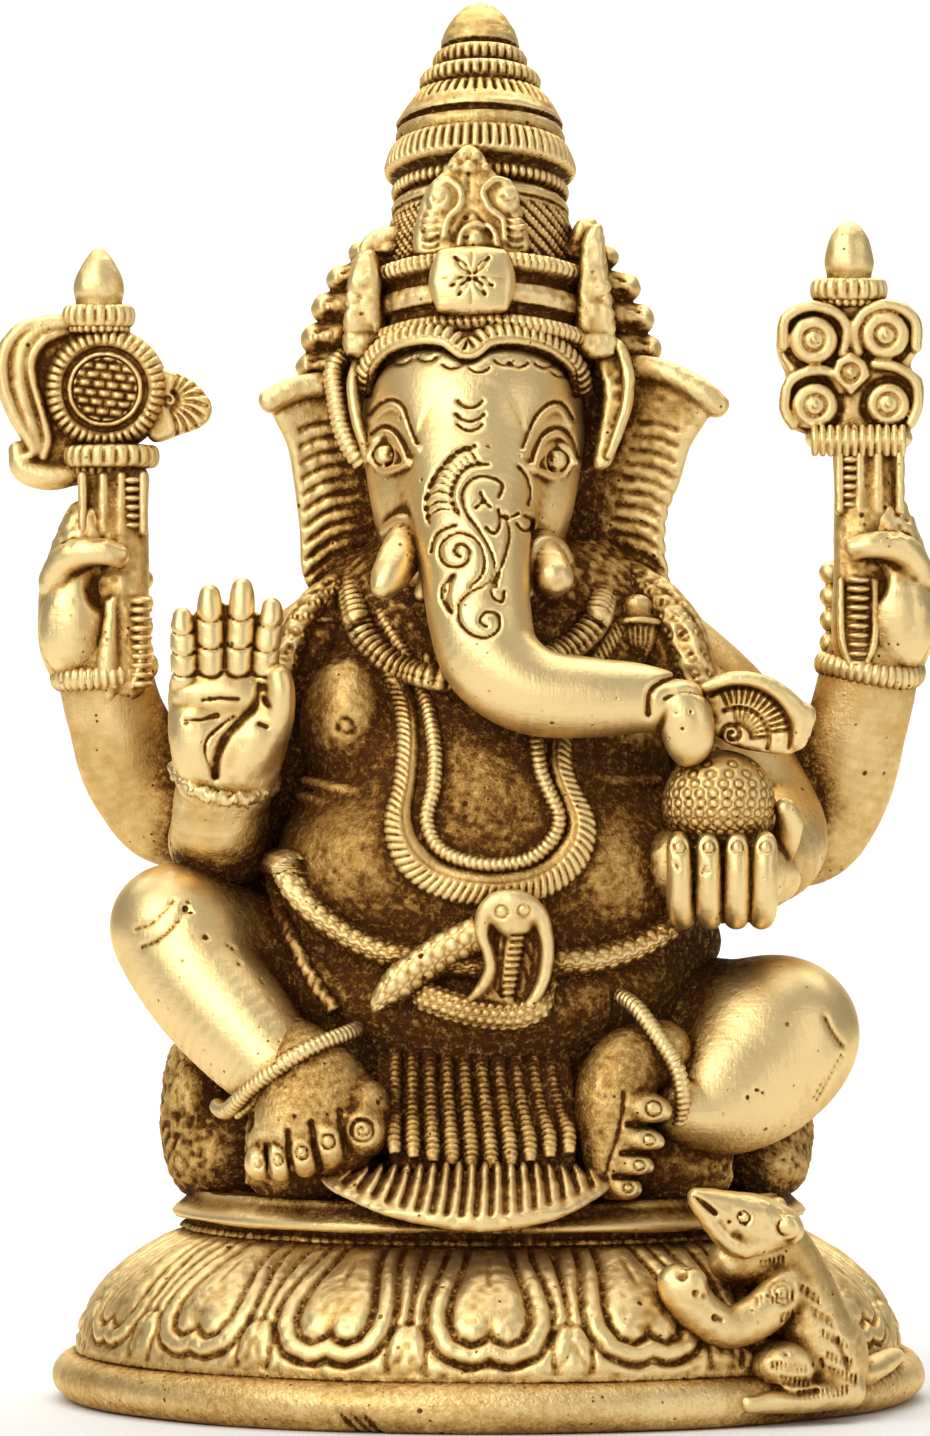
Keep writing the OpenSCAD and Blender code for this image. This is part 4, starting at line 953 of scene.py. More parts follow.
def right_leg():
    clay = Clay([-56, -44, 38], [-2, 8, 80], 0.42)
    clay.limb([[-13, -8, 50, 12, 11], [-27, -12, 56, 13, 12.4], [-37.6, -16, 63, 11.6, 11.4],
               [-43, -19, 67.4, 9.4, 10], [-46, -20.4, 69, 7, 7.6]], blend=2)
    clay.limb([[-45.6, -20.6, 69.6, 7.4, 7.4], [-44.2, -21, 67.4, 9.2, 9], [-40.4, -24.6, 61, 8.9, 8.6],
               [-35.4, -29, 55, 8.2, 7.8], [-30.4, -33.4, 49.4, 6.8, 6.2], [-28, -35.4, 47.4, 6, 5.4]],
              blend=2)
    clay.ball([-45.2, -19, 69.6], [8.2, 8.6, 7.8], blend=2.5)
    clay.engrave([smooth([[-50.2, 68.8], [-47.8, 69.7], [-46.2, 71.2], [-44.8, 72.9]], 4),
                  smooth([[-49.3, 66.3], [-47, 67.3], [-44.8, 69.2], [-43.1, 71.4]], 4)], 0.36, 0.26, AHEAD,
                 -14)
    clay.pits([[-43.1, 71.8, 0.5], [-42.4, 71.2, 0.3], [-40.2, 67.8, 0.4], [-41.6, 67.6, 0.25],
               [-36.5, 66.2, 0.3], [-35.4, 64, 0.3], [-31.9, 61.4, 0.32], [-30.6, 58.9, 0.25],
               [-43.6, 64.4, 0.22], [-29.2, 57.6, 0.25], [-44, 62.8, 0.2], [-37.2, 66.6, 0.2]])
    piece("right_leg_bent", clay.cast(), POLISHED, "right_leg")


def toe_nail(clay, x, z, size, spiral_turns=0.0):
    """A ring punched on a toe or finger, with a spiral in it if asked."""
    spot = clay.front(x, z)
    clay.punch(spot, size, 0.22, 0.42)
    if spiral_turns:
        coil = spiral((x, z), 0.2, size * 0.95, 20, spiral_turns)
        clay.engrave([coil], 0.24, 0.4, spot[1] - 2, spot[1] + 2)


def right_foot():
    clay = Clay([-39, -50, 31], [-11, -24, 56], 0.28)
    clay.limb([[-29.6, -31, 51.6, 5.6, 5], [-26.6, -35, 49, 6.8, 6], [-24.8, -38, 45.6, 8.4, 5.2],
               [-24, -39.6, 41.6, 9, 4.4], [-24.4, -40, 38, 7.8, 3.2]], blend=1)
    toes = [[-17.7, -41.4, 41, 3.4, 3.4, 3.9], [-22.5, -42, 39.4, 2.7, 3.1, 3.9],
            [-26.2, -41.6, 37.8, 2.4, 2.8, 3.5], [-29.6, -40.8, 36.7, 2.2, 2.6, 3],
            [-32.4, -39.6, 36.2, 2.0, 2.3, 2.4]]
    for x, y, z, a, b, c in toes:
        clay.ball([x, y, z], [a, b, c], [0, -14, 0], blend=0.4)
        clay.ball([x + 0.5, y + 1.6, z + 3.2], [a, b, c], blend=0.9)
    clefts = [[[-21.0, 43.8], [-20.6, 41], [-19.9, 37.4]], [[-25.0, 42.2], [-24.5, 39.2], [-23.6, 35.4]],
              [[-28.3, 41.0], [-28.1, 38], [-27.5, 34.6]], [[-31.3, 38.8], [-31.1, 36.6], [-30.8, 34.4]]]
    clay.engrave([smooth(c, 4) for c in clefts], 0.36, 0.9, -52, -38.4)
    for (x, y, z, a, b, c), size in zip(toes, (1.7, 1.05, 1.0, 0.85, 0.7)):
        toe_nail(clay, x - 0.1, z + 0.2, size, 1.5 if size > 1.5 else 0.0)
    piece("right_foot_toes", clay.cast(), POLISHED, "right_foot")


def anklets():
    def rings(along, angle):
        return ribbed(along + 0.25 * np.sin(angle), 0.86, 0.36)

    path = evenly(smooth([[-38.6, -27, 43.6], [-37, -33.4, 43.4], [-33.4, -38.6, 46.8], [-28.2, -41.4, 50.8],
                          [-24, -40.2, 53], [-20, -36.6, 54.4], [-18, -32, 55]], 6), 0.22)
    shape = cord(path, rings, around=24, face=[0.4, -0.8, 0.4], sizes=[1.25, 1.2])
    second = evenly(smooth([[-35.6, -34, 42.6], [-31.4, -38.8, 46], [-26.4, -40.4, 49.4], [-21.6, -38.6, 52]],
                           6), 0.3)
    thin = cord(second, rings, around=14, sizes=[0.6, 0.6])
    piece("right_anklet_cord", grouped([shape, thin]), ANTIQUE, "right_anklet")
    path = evenly(smooth([[17.6, -32, 60], [20.6, -37, 58.2], [23.8, -39.6, 54], [26.4, -40, 49.6],
                          [27.2, -39.4, 45.4], [26.8, -37.6, 41.6]], 6), 0.22)
    shape = cord(path, rings, around=24, face=[0.6, -0.8, 0.2], sizes=[1.25, 1.2])
    piece("left_anklet_cord", shape, ANTIQUE, "left_anklet")


def left_leg():
    clay = Clay([2, -45, 33], [54, 8, 70], 0.42)
    clay.limb([[12, -8, 50, 12, 12], [25, -12, 53, 11.6, 12], [35, -17, 54.4, 9.8, 10.6],
               [42, -20, 54.6, 9.4, 10]], blend=2)
    clay.limb([[44.6, -21.6, 54.4, 7.4, 8], [42.6, -22.6, 53.6, 9.8, 9.6], [38.4, -25, 50, 11.2, 10.4],
               [34.4, -28.4, 46.4, 9.6, 9], [30.4, -32, 43.6, 6.6, 6.4], [27.4, -34.6, 43.6, 4.6, 4.4]],
              blend=2.5)
    clay.ball([40.6, -23, 53.6], [11.4, 10.6, 10.6], [0, 38, 0], blend=3)
    clay.engrave([smooth([[47.6, 56.4], [48.6, 54.4], [50.2, 52.2]], 4)], 0.36, 0.3, AHEAD, -12)
    clay.engrave([[[46.6 + 0.45 * k, 44.6 + 0.75 * k], [46.1 + 0.45 * k, 45.3 + 0.75 * k]] for k in range(9)],
                 0.18, 0.25, AHEAD, -12)
    clay.pits(((37.8, 46.4, 0.35), (38.6, 46, 0.25), (36.4, 45.4, 0.3), (42, 50, 0.18), (33.8, 44.6, 0.3),
               (39.4, 58, 0.16), (34.4, 52.6, 0.16)))
    piece("left_leg_folded", clay.cast(), POLISHED, "left_leg")


def left_foot():
    clay = Clay([8, -48, 29], [31, -28, 57], 0.28)
    clay.limb([[24, -33, 51.6, 4.6, 5], [19.4, -36.6, 49.6, 5.4, 5], [17.6, -38.4, 45.4, 5.6, 4.8],
               [17.2, -39.4, 40.6, 4.8, 4.2], [17.0, -39.8, 36.4, 3.6, 3.4],
               [17.0, -39.8, 33.6, 2.4, 2.4]], blend=1.5)
    toes = [[21.8, -40.6, 44.0, 4.0, 3.0, 2.5], [21.2, -41, 39.7, 3.5, 2.6, 1.9],
            [20.0, -41, 36.2, 3.2, 2.5, 1.9], [18.8, -40.8, 33.0, 2.7, 2.3, 1.8]]
    for x, y, z, a, b, c in toes:
        clay.ball([x, y, z], [a, b, c], [0, 8, 0], blend=0.9)
    clay.engrave([smooth([[19.4, 41.9], [21.6, 41.7], [24.8, 41.9]], 3),
                  smooth([[18.6, 37.9], [20.8, 37.8], [24, 38]], 3),
                  smooth([[17.6, 34.6], [19.8, 34.4], [22.6, 34.5]], 3)], 0.32, 0.8, -50, -38.6)
    clay.engrave([smooth([[18.8, 46.4], [18.6, 43.4], [17.8, 39.8], [16.6, 36.2], [16.2, 33.6]], 4)], 0.35,
                 0.3, -50, -38.6)
    toe_nail(clay, 23.2, 44.2, 1.2)
    toe_nail(clay, 22.6, 39.8, 0.9)
    toe_nail(clay, 21.2, 36.2, 0.85)
    toe_nail(clay, 19.6, 33.0, 0.75)
    piece("left_foot_toes", clay.cast_rough([19, -34, 42], 0.09, 1.4), POLISHED, "left_foot")


def pleats():
    shapes = []
    for i in range(10):
        offset = i - 4.5
        x_top, x_low = -2.2 + offset * 2.45, -1.2 + offset * 2.72
        z_low = 36.0 + abs(offset) * 0.55
        depth = -36.4 - 1.8 * (1 - offset * offset / 26)
        path = evenly(smooth([
            [x_top, depth + 3.0, 52, 0.9, 0.8], [x_top, depth + 0.2, 48.6, 0.95, 0.9],
            [(x_top + x_low) / 2, depth - 2.2, 43.6, 1.05, 0.95],
            [x_low, depth - 4.6, z_low + 2.6, 1.15, 1.0],
            [x_low + 0.1, depth - 5.6, z_low + 0.6, 1.1, 0.85],
            [x_low + 0.2, depth - 6.2, z_low - 0.6, 0.7, 0.4]], 6), 0.15)

        def ticks(along, angle):
            fade = np.clip((total - along) / 2.0, 0, 1)
            return ribbed(along + 0.3 * np.sin(angle), 0.86, 0.36) * fade

        total = total_length(path)
        shapes.append(cord(path, ticks, around=18))
    clay = Clay([-20, -48, 32], [18, -28, 55], 0.36)
    clay.limb([[-2.4, -32.0, 52, 13.6, 2], [-2, -35.2, 47.6, 13.8, 2], [-1.4, -37.8, 42.6, 13.6, 2],
               [-0.8, -40.0, 38, 13.2, 1.8], [-0.8, -41.4, 35.6, 12.4, 1.4]], 4, blend=0.6)
    shapes.append(clay.cast_rough([0, -20, 43], 0.24, 1.0))
    piece("garment_pleats", grouped(shapes), ANTIQUE, "dhoti_pleats")


def hem():
    clay = Clay([-28, -57, 23.5], [23, -30, 41], 0.26)
    outline = smooth([[-23.6, 33.8], [-18.4, 30.9], [-11, 28.6], [-1.6, 27.4], [7.4, 28.4], [13.6, 30.8],
                      [17.4, 33.6], [15, 36.0], [8, 36.8], [0, 37.0], [-8, 36.8],
                      [-19.4, 36.0]], 4, closed=True)
    centre_x = -2.2

    def bow(x, z):
        return 0.016 * (x - centre_x) ** 2 - 7.6 * np.clip((38.0 - z) / 8, 0, 1)

    clay.slab(outline, -44.4, -34, 1.0, 0.6, bow=bow)
    for k in range(-10, 10):
        x = 1.9 * k + 0.3
        drop = 0.0145 * (x - centre_x) ** 2
        tip = [x * 1.07 - 0.2, 29.9 + drop]
        long_cut = smooth([[x * 0.94, 36.8], [x * 1.0, (36.8 + tip[1]) / 2], tip], 3)
        short_cut = smooth([[x * 0.94, 36.8], [x * 0.98, (37.6 + tip[1]) / 2]], 3)
        clay.engrave([long_cut], 0.42, 1.25, AHEAD, -36)
        clay.engrave([short_cut], 0.5, 0.5, AHEAD, -36)
    piece("garment_hem", clay.cast_rough([-2, -30, 33], 0.18, 1.2), ANTIQUE, "dhoti_hem")


def garment_fill():
    """The rough ground behind the feet and pleats, beside the belly, and the garment's edge by the knee."""
    shapes = []
    front = Clay([-34, -42, 30], [34, -14, 60], 0.5)
    front.ball([0, -24, 40], [22, 14.4, 14], blend=2)
    front.ball([-24, -24, 37], [12, 12, 9], blend=2)
    front.ball([24, -24, 36], [12, 12, 8], blend=2)
    beside = Clay([-44, -20, 58], [-24, 8, 88], 0.5)
    beside.limb([[-31, -8, 66, 6, 7], [-34.6, -7, 74, 5.6, 6.4], [-34, -6, 82, 4, 5]], blend=1)
    for clay in (front, beside):
        points, faces = clay.cast()
        swell = 0.4 * noise(points, 1.3) + 0.3 * noise(points, 3.4)
        shapes.append((points + unit(points - points.mean(axis=0)) * swell[:, None], faces))

    def twist(along, angle):
        strands = ribbed(along * 0.8 + 0.42 * angle, 1.32, 0.3)
        return strands + 0.2 * np.sin(along * 2.3) * np.sin(angle * 2 + along)

    rope = cord(evenly(smooth([[-31.6, -16, 78.4], [-30, -21.4, 72], [-27.4, -27, 66.4], [-24.8, -30.6, 61.6],
                               [-21.8, -33, 57.4]], 6), 0.3), twist, around=20, sizes=[1.1, 1.1])
    piece("garment_ground", grouped([*shapes, rope]), ROUGH)


# ---------- Arms and hands ----------

def arm(name, node, stations, marks=()):
    """A bare arm through its stations, with a muscle or elbow ball for each mark."""
    stations = np.array(stations, float)
    reach = stations[:, 3:5].max()
    clay = Clay(stations[:, :3].min(axis=0) - reach - 1, stations[:, :3].max(axis=0) + reach + 1, 0.45)
    clay.limb(stations, 6)
    for centre, radii in marks:
        clay.ball(centre, radii, blend=3)
    piece(name, clay.cast_rough(stations[:, :3].mean(axis=0), 0.07, 2.2), ANTIQUE, node)


def arms():
    arm("upper_right_arm_bent", "upper_right_arm", [
        [-20, 0, 108, 11, 10], [-31, 2, 99.6, 11, 10.5], [-39, 3, 90.5, 10.6, 10],
        [-45.4, 3, 87.2, 9.6, 9.2], [-50.8, 1, 91.4, 8.4, 8], [-53.8, -1, 98, 7.2, 7.2],
        [-55.4, -2, 103.6, 6.9, 6.6], [-56, -2.4, 106.6, 6.2, 6]], [([-45, 2, 84.6], [8.6, 8.4, 7])])
    arm("upper_left_arm_bent", "upper_left_arm", [
        [20, 0, 108, 11, 10], [31, 2, 98.6, 11, 10.5], [39.4, 3, 88, 10.8, 10], [45.6, 3, 84.6, 9.8, 9.4],
        [50.4, 1, 89.6, 8.6, 8], [53.4, -1, 97.4, 7.4, 7.2], [55, -2, 103.6, 7.2, 6.8],
        [55.6, -2.4, 107, 6.6, 6.2]], [([44.6, 2, 82], [9, 8.6, 7])])
    arm("lower_right_arm_raised", "lower_right_arm", [
        [-22, -6, 104, 8.5, 8], [-31, -7, 94, 9, 8.6], [-37.4, -10, 82.8, 7.8, 8],
        [-38.4, -17, 82.4, 7.2, 7.6], [-38.2, -21, 86.6, 6.9, 5.8], [-38, -22.4, 89, 6.6, 5]])
    arm("lower_left_arm_bent", "lower_left_arm", [
        [22, -6, 104, 8.5, 8], [32, -6, 95, 9.2, 8.6], [39.6, -9, 84, 8.6, 8.4], [40.2, -17, 80, 7.8, 7.6],
        [36.6, -23, 79, 7, 6.2]])


def bangles():
    def ticks(along, angle):
        return ribbed(along, 1.1, 0.45)

    for name, node, centre, radius, tilt in (
            ("right_wrist_bangle", "right_bangle", [-55.8, -2.2, 105.4], 6.7, [8, -9, 0]),
            ("left_wrist_bangle", "left_bangle", [55.4, -2.2, 106], 6.9, [8, 6, 0])):
        a = np.linspace(0, 2 * math.pi, 161)[:-1]
        path = np.stack([radius * np.cos(a), radius * 0.96 * np.sin(a), 0.3 * np.sin(2 * a)], axis=1)
        shape = cord(path, ticks, True, 22, UP, [1.3, 1.75])
        piece(name, moved(shape, centre, tilt), ANTIQUE, node)


def gripping_hand(name, node, side, x, bottom):
    """A fist whose thumb crosses in front of the baton; side is where its back faces."""
    low, high = sorted([x + side * 10.4, x - side * 8.4])
    clay = Clay([low, -15, bottom - 2], [high, 9, bottom + 25], 0.3)
    clay.limb([[x + side * 0.6, -2, bottom, 6, 5.6], [x + side * 2.4, -2.4, bottom + 3.6, 6.2, 5.8],
               [x + side * 3, -2.6, bottom + 8, 5.8, 5.8], [x + side * 3, -2.6, bottom + 12, 5.4, 5.4],
               [x + side * 2, -2, bottom + 16.6, 5, 4.8], [x + side * 1, -1.6, bottom + 20.4, 4.4, 4.2]],
              blend=1.2)
    clay.ball([x + side * 3.8, -6.4, bottom + 6], [4.2, 2.9, 6.4], [0, -side * 6, 0], blend=1.8)
    clay.limb([[x + side * 6.0, -5.0, bottom + 12.6, 2.6, 2.6],
               [x + side * 4.6, -7.0, bottom + 15.4, 2.5, 2.4],
               [x + side * 2.2, -8.4, bottom + 16.6, 2.3, 2.2],
               [x - side * 0.8, -9.0, bottom + 16.7, 2.1, 2.0],
               [x - side * 3.0, -8.6, bottom + 16.2, 1.9, 1.8]], face=UP, blend=0.9)
    for k in range(4):
        z = bottom + 3.2 + 3.4 * k
        clay.limb([[x + side * 4.6, 2.4, z, 1.9, 1.9], [x, 4.2, z - 0.2, 1.9, 1.9],
                   [x - side * 4.2, 3.2, z - 0.4, 1.9, 1.9],
                   [x - side * 6.2, 0.2, z - 0.6, 1.7, 1.7]], face=UP, blend=0.5)
    clay.ball([x - side * 1.0, -8.0, bottom + 11.6], [2.6, 2.2, 3.4], blend=1.2, cut=True)
    points, faces = clay.cast()
    rough = 0.07 + 0.22 * np.clip((points[:, 2] - bottom - 16.6) / 2.0, 0, 1)
    points = points + unit(points - [x, 0, bottom + 8]) * (rough * noise(points, 1.1))[:, None]
    piece(name, (points, faces), POLISHED, node)


def open_palm():
    clay = Clay([-48.5, -33, 84], [-25, -15, 121], 0.28)
    clay.limb([[-37.8, -22.4, 87.4, 6.4, 4.8], [-37.4, -24.2, 91, 7.4, 4.6], [-37, -25, 96, 8.4, 4.2],
               [-37.1, -25.2, 101, 8.6, 3.8], [-37.4, -25.4, 104.4, 8.2, 3.2]], blend=1.2)
    clay.ball([-41.6, -26.8, 95.4], [3.6, 3.2, 6.4], [0, -8, 0], blend=1.6)
    clay.ball([-33.2, -27, 95.4], [3.4, 3, 5.8], [0, 26, 0], blend=1.4)
    clay.ball([-37.6, -27.2, 102.2], [7.2, 2.3, 2.8], blend=1.2)
    fingers = [[-43.3, -43.6, 114.2, 1.95, 3.0], [-39.5, -39.7, 117.4, 2.05, 3.9],
               [-35.6, -35.1, 118.4, 2.05, 4.0], [-31.9, -30.9, 115.6, 1.95, 3.5]]
    for foot, tip, top, r, joint in fingers:
        clay.limb([[foot, -26, 102.8, r, r * 1.05], [foot, -27, 105.6, r, r * 1.05],
                   [(foot + tip) / 2, -27, (105 + top) / 2, r * 0.97, r],
                   [tip, -26.8, top - 2.6, r * 0.88, r * 0.95],
                   [tip, -26.6, top - 1.0, r * 0.72, r * 0.8]], blend=0.25)
        creases = []
        for k in range(3):
            z = 105.0 + joint * k
            cx = foot + (tip - foot) * (z - 105.0) / (top - 105.0)
            creases.append(arc((cx, z + 1.25), 2.05, 218, 322, 8, 0.8))
        clay.engrave(creases, 0.24, 0.42, -34, -25.5)
    clay.limb([[-38.8, -25.6, 104, 5.6, 1.6], [-38.6, -25.8, 110, 5.0, 1.4], [-37.2, -25.8, 113.8, 3.6, 1.1]],
              blend=0.4)
    clay.ball([-33.2, -25.4, 109], [2.0, 1.3, 5.0], blend=0.4)
    clay.limb([[-32.8, -24.6, 93.6, 2.8, 3.0], [-30.4, -26.6, 98, 2.5, 2.9], [-29.6, -28, 102.2, 2.1, 2.4],
               [-29.8, -28.2, 104.6, 1.8, 2.0]], blend=0.8)
    clay.engrave([smooth([[-38.9, 90.6], [-38.6, 93.4], [-37.2, 96.4], [-35, 98.8], [-33.4, 100.4],
                          [-32.6, 103.0]], 4)], 0.55, 0.95, -34, -25)
    clay.engrave([smooth([[-38.9, 90.6], [-40.2, 93.4], [-40, 95.8], [-38.2, 97.6], [-36.2, 99]], 4),
                  [[-43.2, 98.6], [-41, 98.6], [-38.6, 99.2]],
                  [[-40.6, 101.4], [-38.2, 101.7], [-35.6, 101.5]]], 0.3, 0.42, -34, -25)
    clay.engrave([[[-32, 101.6], [-31.2, 100.6]], [[-32.6, 98], [-31.6, 97.6]]], 0.35, 0.6, -34, -25)
    points, faces = clay.cast_rough([-37, -20, 98], 0.07, 1.3)
    seam = evenly(smooth([[-44.6, -22, 91.6], [-42.6, -27, 89.2], [-38.8, -29, 87.6], [-34.6, -28, 87.4],
                          [-31.4, -24, 88.8], [-31.6, -19, 90], [-37.8, -16.6, 91], [-43.6, -18, 91.8]], 4,
                         closed=True), 0.3, closed=True)

    def ragged(along, angle):
        return 0.35 * np.sin(along * 3.7) * np.sin(along * 1.3 + 2 * angle) + 0.2 * np.sin(along * 9.1)

    braze = cord(seam, ragged, True, 16, UP, [1.1, 1.0])
    piece("open_palm_lined", grouped([(points, faces), braze]), POLISHED, "open_palm")


def sweet_in_hand():
    clay = Clay([21, -41, 66], [47, -17, 92], 0.28)
    clay.limb([[39, -21, 77, 5.4, 6], [35.4, -26, 77.6, 7.6, 6.8], [31.4, -28.4, 77.8, 8, 6.4],
               [27, -28.6, 77.8, 5.8, 5.4]], blend=1.5)
    for x, tilt in ((26.9, 0.9), (31.0, 0.4), (35.0, 0.0), (38.9, -0.5)):
        clay.limb([[x + tilt, -28.4, 71.6, 1.8, 1.8], [x + tilt * 0.6, -32.4, 70.9, 2.0, 1.9],
                   [x, -35.2, 73.0, 2.05, 1.9], [x, -36.2, 77.0, 2.0, 1.8],
                   [x - tilt * 0.2, -35.8, 80.4, 1.95, 1.7],
                   [x - tilt * 0.2, -35.2, 81.3, 1.8, 1.5]], face=SIDE, blend=0.2)
        toe_nail(clay, x, 80.9, 1.0)
    clay.limb([[41.6, -25, 80, 2.2, 2.2], [42.6, -29, 83.6, 2.1, 2], [42, -31, 86, 1.6, 1.6]], face=SIDE,
              blend=0.6)
    clay.engrave([[[30.4, 78.0], [30, 77.0], [31, 77.2]], [[26.2, 78.4], [26.8, 77.6]]], 0.22, 0.35, -44, -30)
    piece("sweet_hand_fingers", clay.cast_rough([32, -24, 77], 0.07, 1.4), POLISHED, "sweet_hand")

    ball = Clay([23, -39.5, 79], [42.5, -21.5, 96], 0.22)
    ball.ball([32.6, -30.6, 86.6], [8.1, 7.2, 6.9])
    ball.ball([32.6, -30.6, 89.4], [6.6, 5.8, 4.8], blend=2)
    for row in range(8):
        z = 82.6 + 1.42 * row
        count = (24, 25, 25, 24, 22, 19, 14, 8)[row]
        for k in range(count):
            a = 2 * math.pi * (k + 0.5 * (row % 2)) / count
            way = np.array([math.cos(a), math.sin(a), 0.0])
            if way[1] > 0.35:
                continue
            spot = ball.land([np.array([32.6, -30.6, z]) + way * 12], -way, 12)[0]
            ball.punch(spot, 0.68, 0.16, 0.3)
    piece("sweet_ball_scaled", ball.cast(), ANTIQUE, "sweet_ball")


# ---------- Emblems ----------

def bead_column(x, y, bottom, top, count, half):
    """A stack of flattened beads."""
    shapes = []
    pitch = (top - bottom) / count
    outline = evenly(arc((0, 0), 1.0, -89, 89, 9), 0.22, dims=2)
    for k in range(count):
        points, faces = turned(outline, 28, closed=False)
        points = points * [half, half * 0.8, pitch * 0.47] + [x, y, bottom + pitch * (k + 0.5)]
        shapes.append((points, faces))
    return grouped(shapes)


def flange(x, y, bottom, radius, height, lobes, squash=0.8):
    """A collar of fat upright ribs."""
    outline = evenly(smooth([[radius - 1.6, 0], [radius - 0.5, 0.2], [radius, height * 0.3],
                             [radius, height * 0.7], [radius - 0.5, height - 0.2], [radius - 1.6, height],
                             [1.5, height], [1.5, 0]], 4,
                            closed=True), 0.28, closed=True, dims=2)

    def lobed(turn, along, z):
        inside = np.exp(-(((z - height / 2) / (height * 0.42)) ** 4))
        return ribbed(turn * lobes, 1.0, 0.75) * inside

    points, faces = turned(outline, 12 * lobes, lobed)
    return points * [1, squash, 1] + [x, y, bottom], faces


def baton(name, node, x, low, side, beads, spike):
    """The shaft in the fist: a framed column of beads, a pointed foot and a fluted part above the thumb."""
    clay = Clay([x - 9, -13, low - 1], [x + 9, 5, low + 40], 0.3)
    clay.limb([[x, -6, low + 0.8, 1.2, 1.4], [x, -6.2, low + 3.6, 3.2, 2.6], [x, -5.6, low + 9, 3.8, 2.8],
               [x + side * 0.6, -4.4, low + 16, 4.0, 3], [x + side * 1.2, -3, low + 22, 4.6, 3.6],
               [x + side * 1.8, -2, low + 28, 5, 3.8], [x + side * 1.8, -1.6, low + 33, 5.2, 3.6]], blend=0.8)
    for shift in (-2.4, 2.4):
        clay.limb([[x + shift * 0.5, -8.6, low + 3, 0.5, 0.6], [x + shift, -8.4, low + 7, 0.6, 0.7],
                   [x + shift, -7.2, low + 15, 0.6, 0.7]], blend=0.4)
    for shift in (-4.4, -1.4, 1.2, 4.4):
        clay.limb([[x + side * 1.8 + shift, -5.4, low + 25.4, 0.7, 0.8],
                   [x + side * 1.8 + shift, -5.2, low + 33.4, 0.7, 0.8]], blend=0.6)
    if spike:
        clay.limb([[x - 2.2, -7.0, low + 1.4, 1.6, 1.6], [x - 2.4, -8.0, low + 5, 1.9, 1.6],
                   [x - 2.2, -8.0, low + 10, 1.3, 1.3], [x - 1.6, -7.4, low + 15.6, 0.5, 0.6]], blend=0.4)
    points, faces = clay.cast_rough([x, 0, low + 18], 0.15, 0.9)
    column_x = x + (2.4 if spike else 0.0)
    shape = grouped([(points, faces), bead_column(column_x, -8.2, low + 2.6, low + 16.0, beads + 2, 1.7),
                     bead_column(x + side * 1.8 + (2.8 if spike else -2.8), -5.2, low + 25.6, low + 33.4, 6,
                                 1.25)])
    piece(name, shape, ANTIQUE, node)


def disc_emblem():
    cx, cz = -55.6, 146.4
    outline = evenly(smooth([[0.01, 3.0], [7.6, 3.0], [8.8, 2.2], [9.1, 0.6], [8.7, -1.6], [8.1, -3.0],
                             [7.1, -3.4], [6.4, -2.9], [6.1, -2.3], [5.7, -2.3], [5.3, -2.9], [4.9, -2.9],
                             [4.6, -2.3], [3, -2.4], [0.01, -2.5]][::-1], 5), 0.18, dims=2)
    walked = np.concatenate([[0], np.cumsum(np.linalg.norm(np.diff(outline, axis=0), axis=1))])

    def lobed(turn, along, height):
        r = np.interp(along[:, 0], walked, outline[:, 0])[:, None]
        ring = np.exp(-(((r - 7.7) / 1.15) ** 4)) * (height < -0.5)
        return ribbed(turn * 42, 1.0, 0.55) * ring

    points, faces = turned(outline, 420, lobed, closed=False)
    u, v = points[:, 0], points[:, 1]
    c, s = math.cos(0.12), math.sin(0.12)
    b = (s * u + c * v) / 1.3
    a = (c * u - s * v) / 2.0 + 0.5 * (np.floor(b) % 2)
    weave = np.abs(np.sin(math.pi * a)) ** 0.6 * np.abs(np.sin(math.pi * b)) ** 0.6
    patch = (np.hypot(u, v) < 4.5) & (points[:, 2] < 0)
    points[:, 2] -= np.where(patch, 0.8 * weave - 0.15, 0)
    points[:, 2] += 0.12 * noise(points, 0.9)
    points = np.stack([points[:, 0] + cx, points[:, 2] - 1.2, points[:, 1] + cz], axis=1)
    faces = [f[:, ::-1] for f in faces]
    shape = grouped([(points, faces), flange(-54.8, -1.0, 135.0, 7.0, 3.4, 22, 0.8),
                     flange(-55.6, -1.0, 133.6, 5.2, 2.2, 24, 0.8)])
    piece("disc_emblem_woven", shape, ANTIQUE, "disc_emblem")


def finial(name, node, x, base, radius, dome, pointed):
    """A bud on a ribbed collar, above an emblem."""
    shoulder, neck, tip = (0.66, 0.36, 0.16) if pointed else (0.80, 0.50, 0.14)
    outline = evenly(smooth([[0.01, base + 2.6], [dome * 0.8, base + 2.6], [dome * 0.92, base + 4.2],
                             [dome, base + 5.4], [dome * 0.96, base + 7.0], [dome * shoulder, base + 9.2],
                             [dome * neck, base + 10.8], [dome * tip, base + 11.6],
                             [0.01, base + 11.7]], 6), 0.28, dims=2)
    points, faces = turned(outline, 90, closed=False)
    points = points * [1, 0.9, 1]
    points = points + unit(points - [0, 0, base + 7]) * (0.1 * noise(points, 1.5))[:, None] + [x, -1, 0]
    foot = flange(x, -1, base - 1.0, radius * 0.86, 1.6, 24, 0.8)
    piece(name, grouped([(points, faces), flange(x, -1, base, radius, 3.4, 19, 0.8), foot]), ANTIQUE, node)


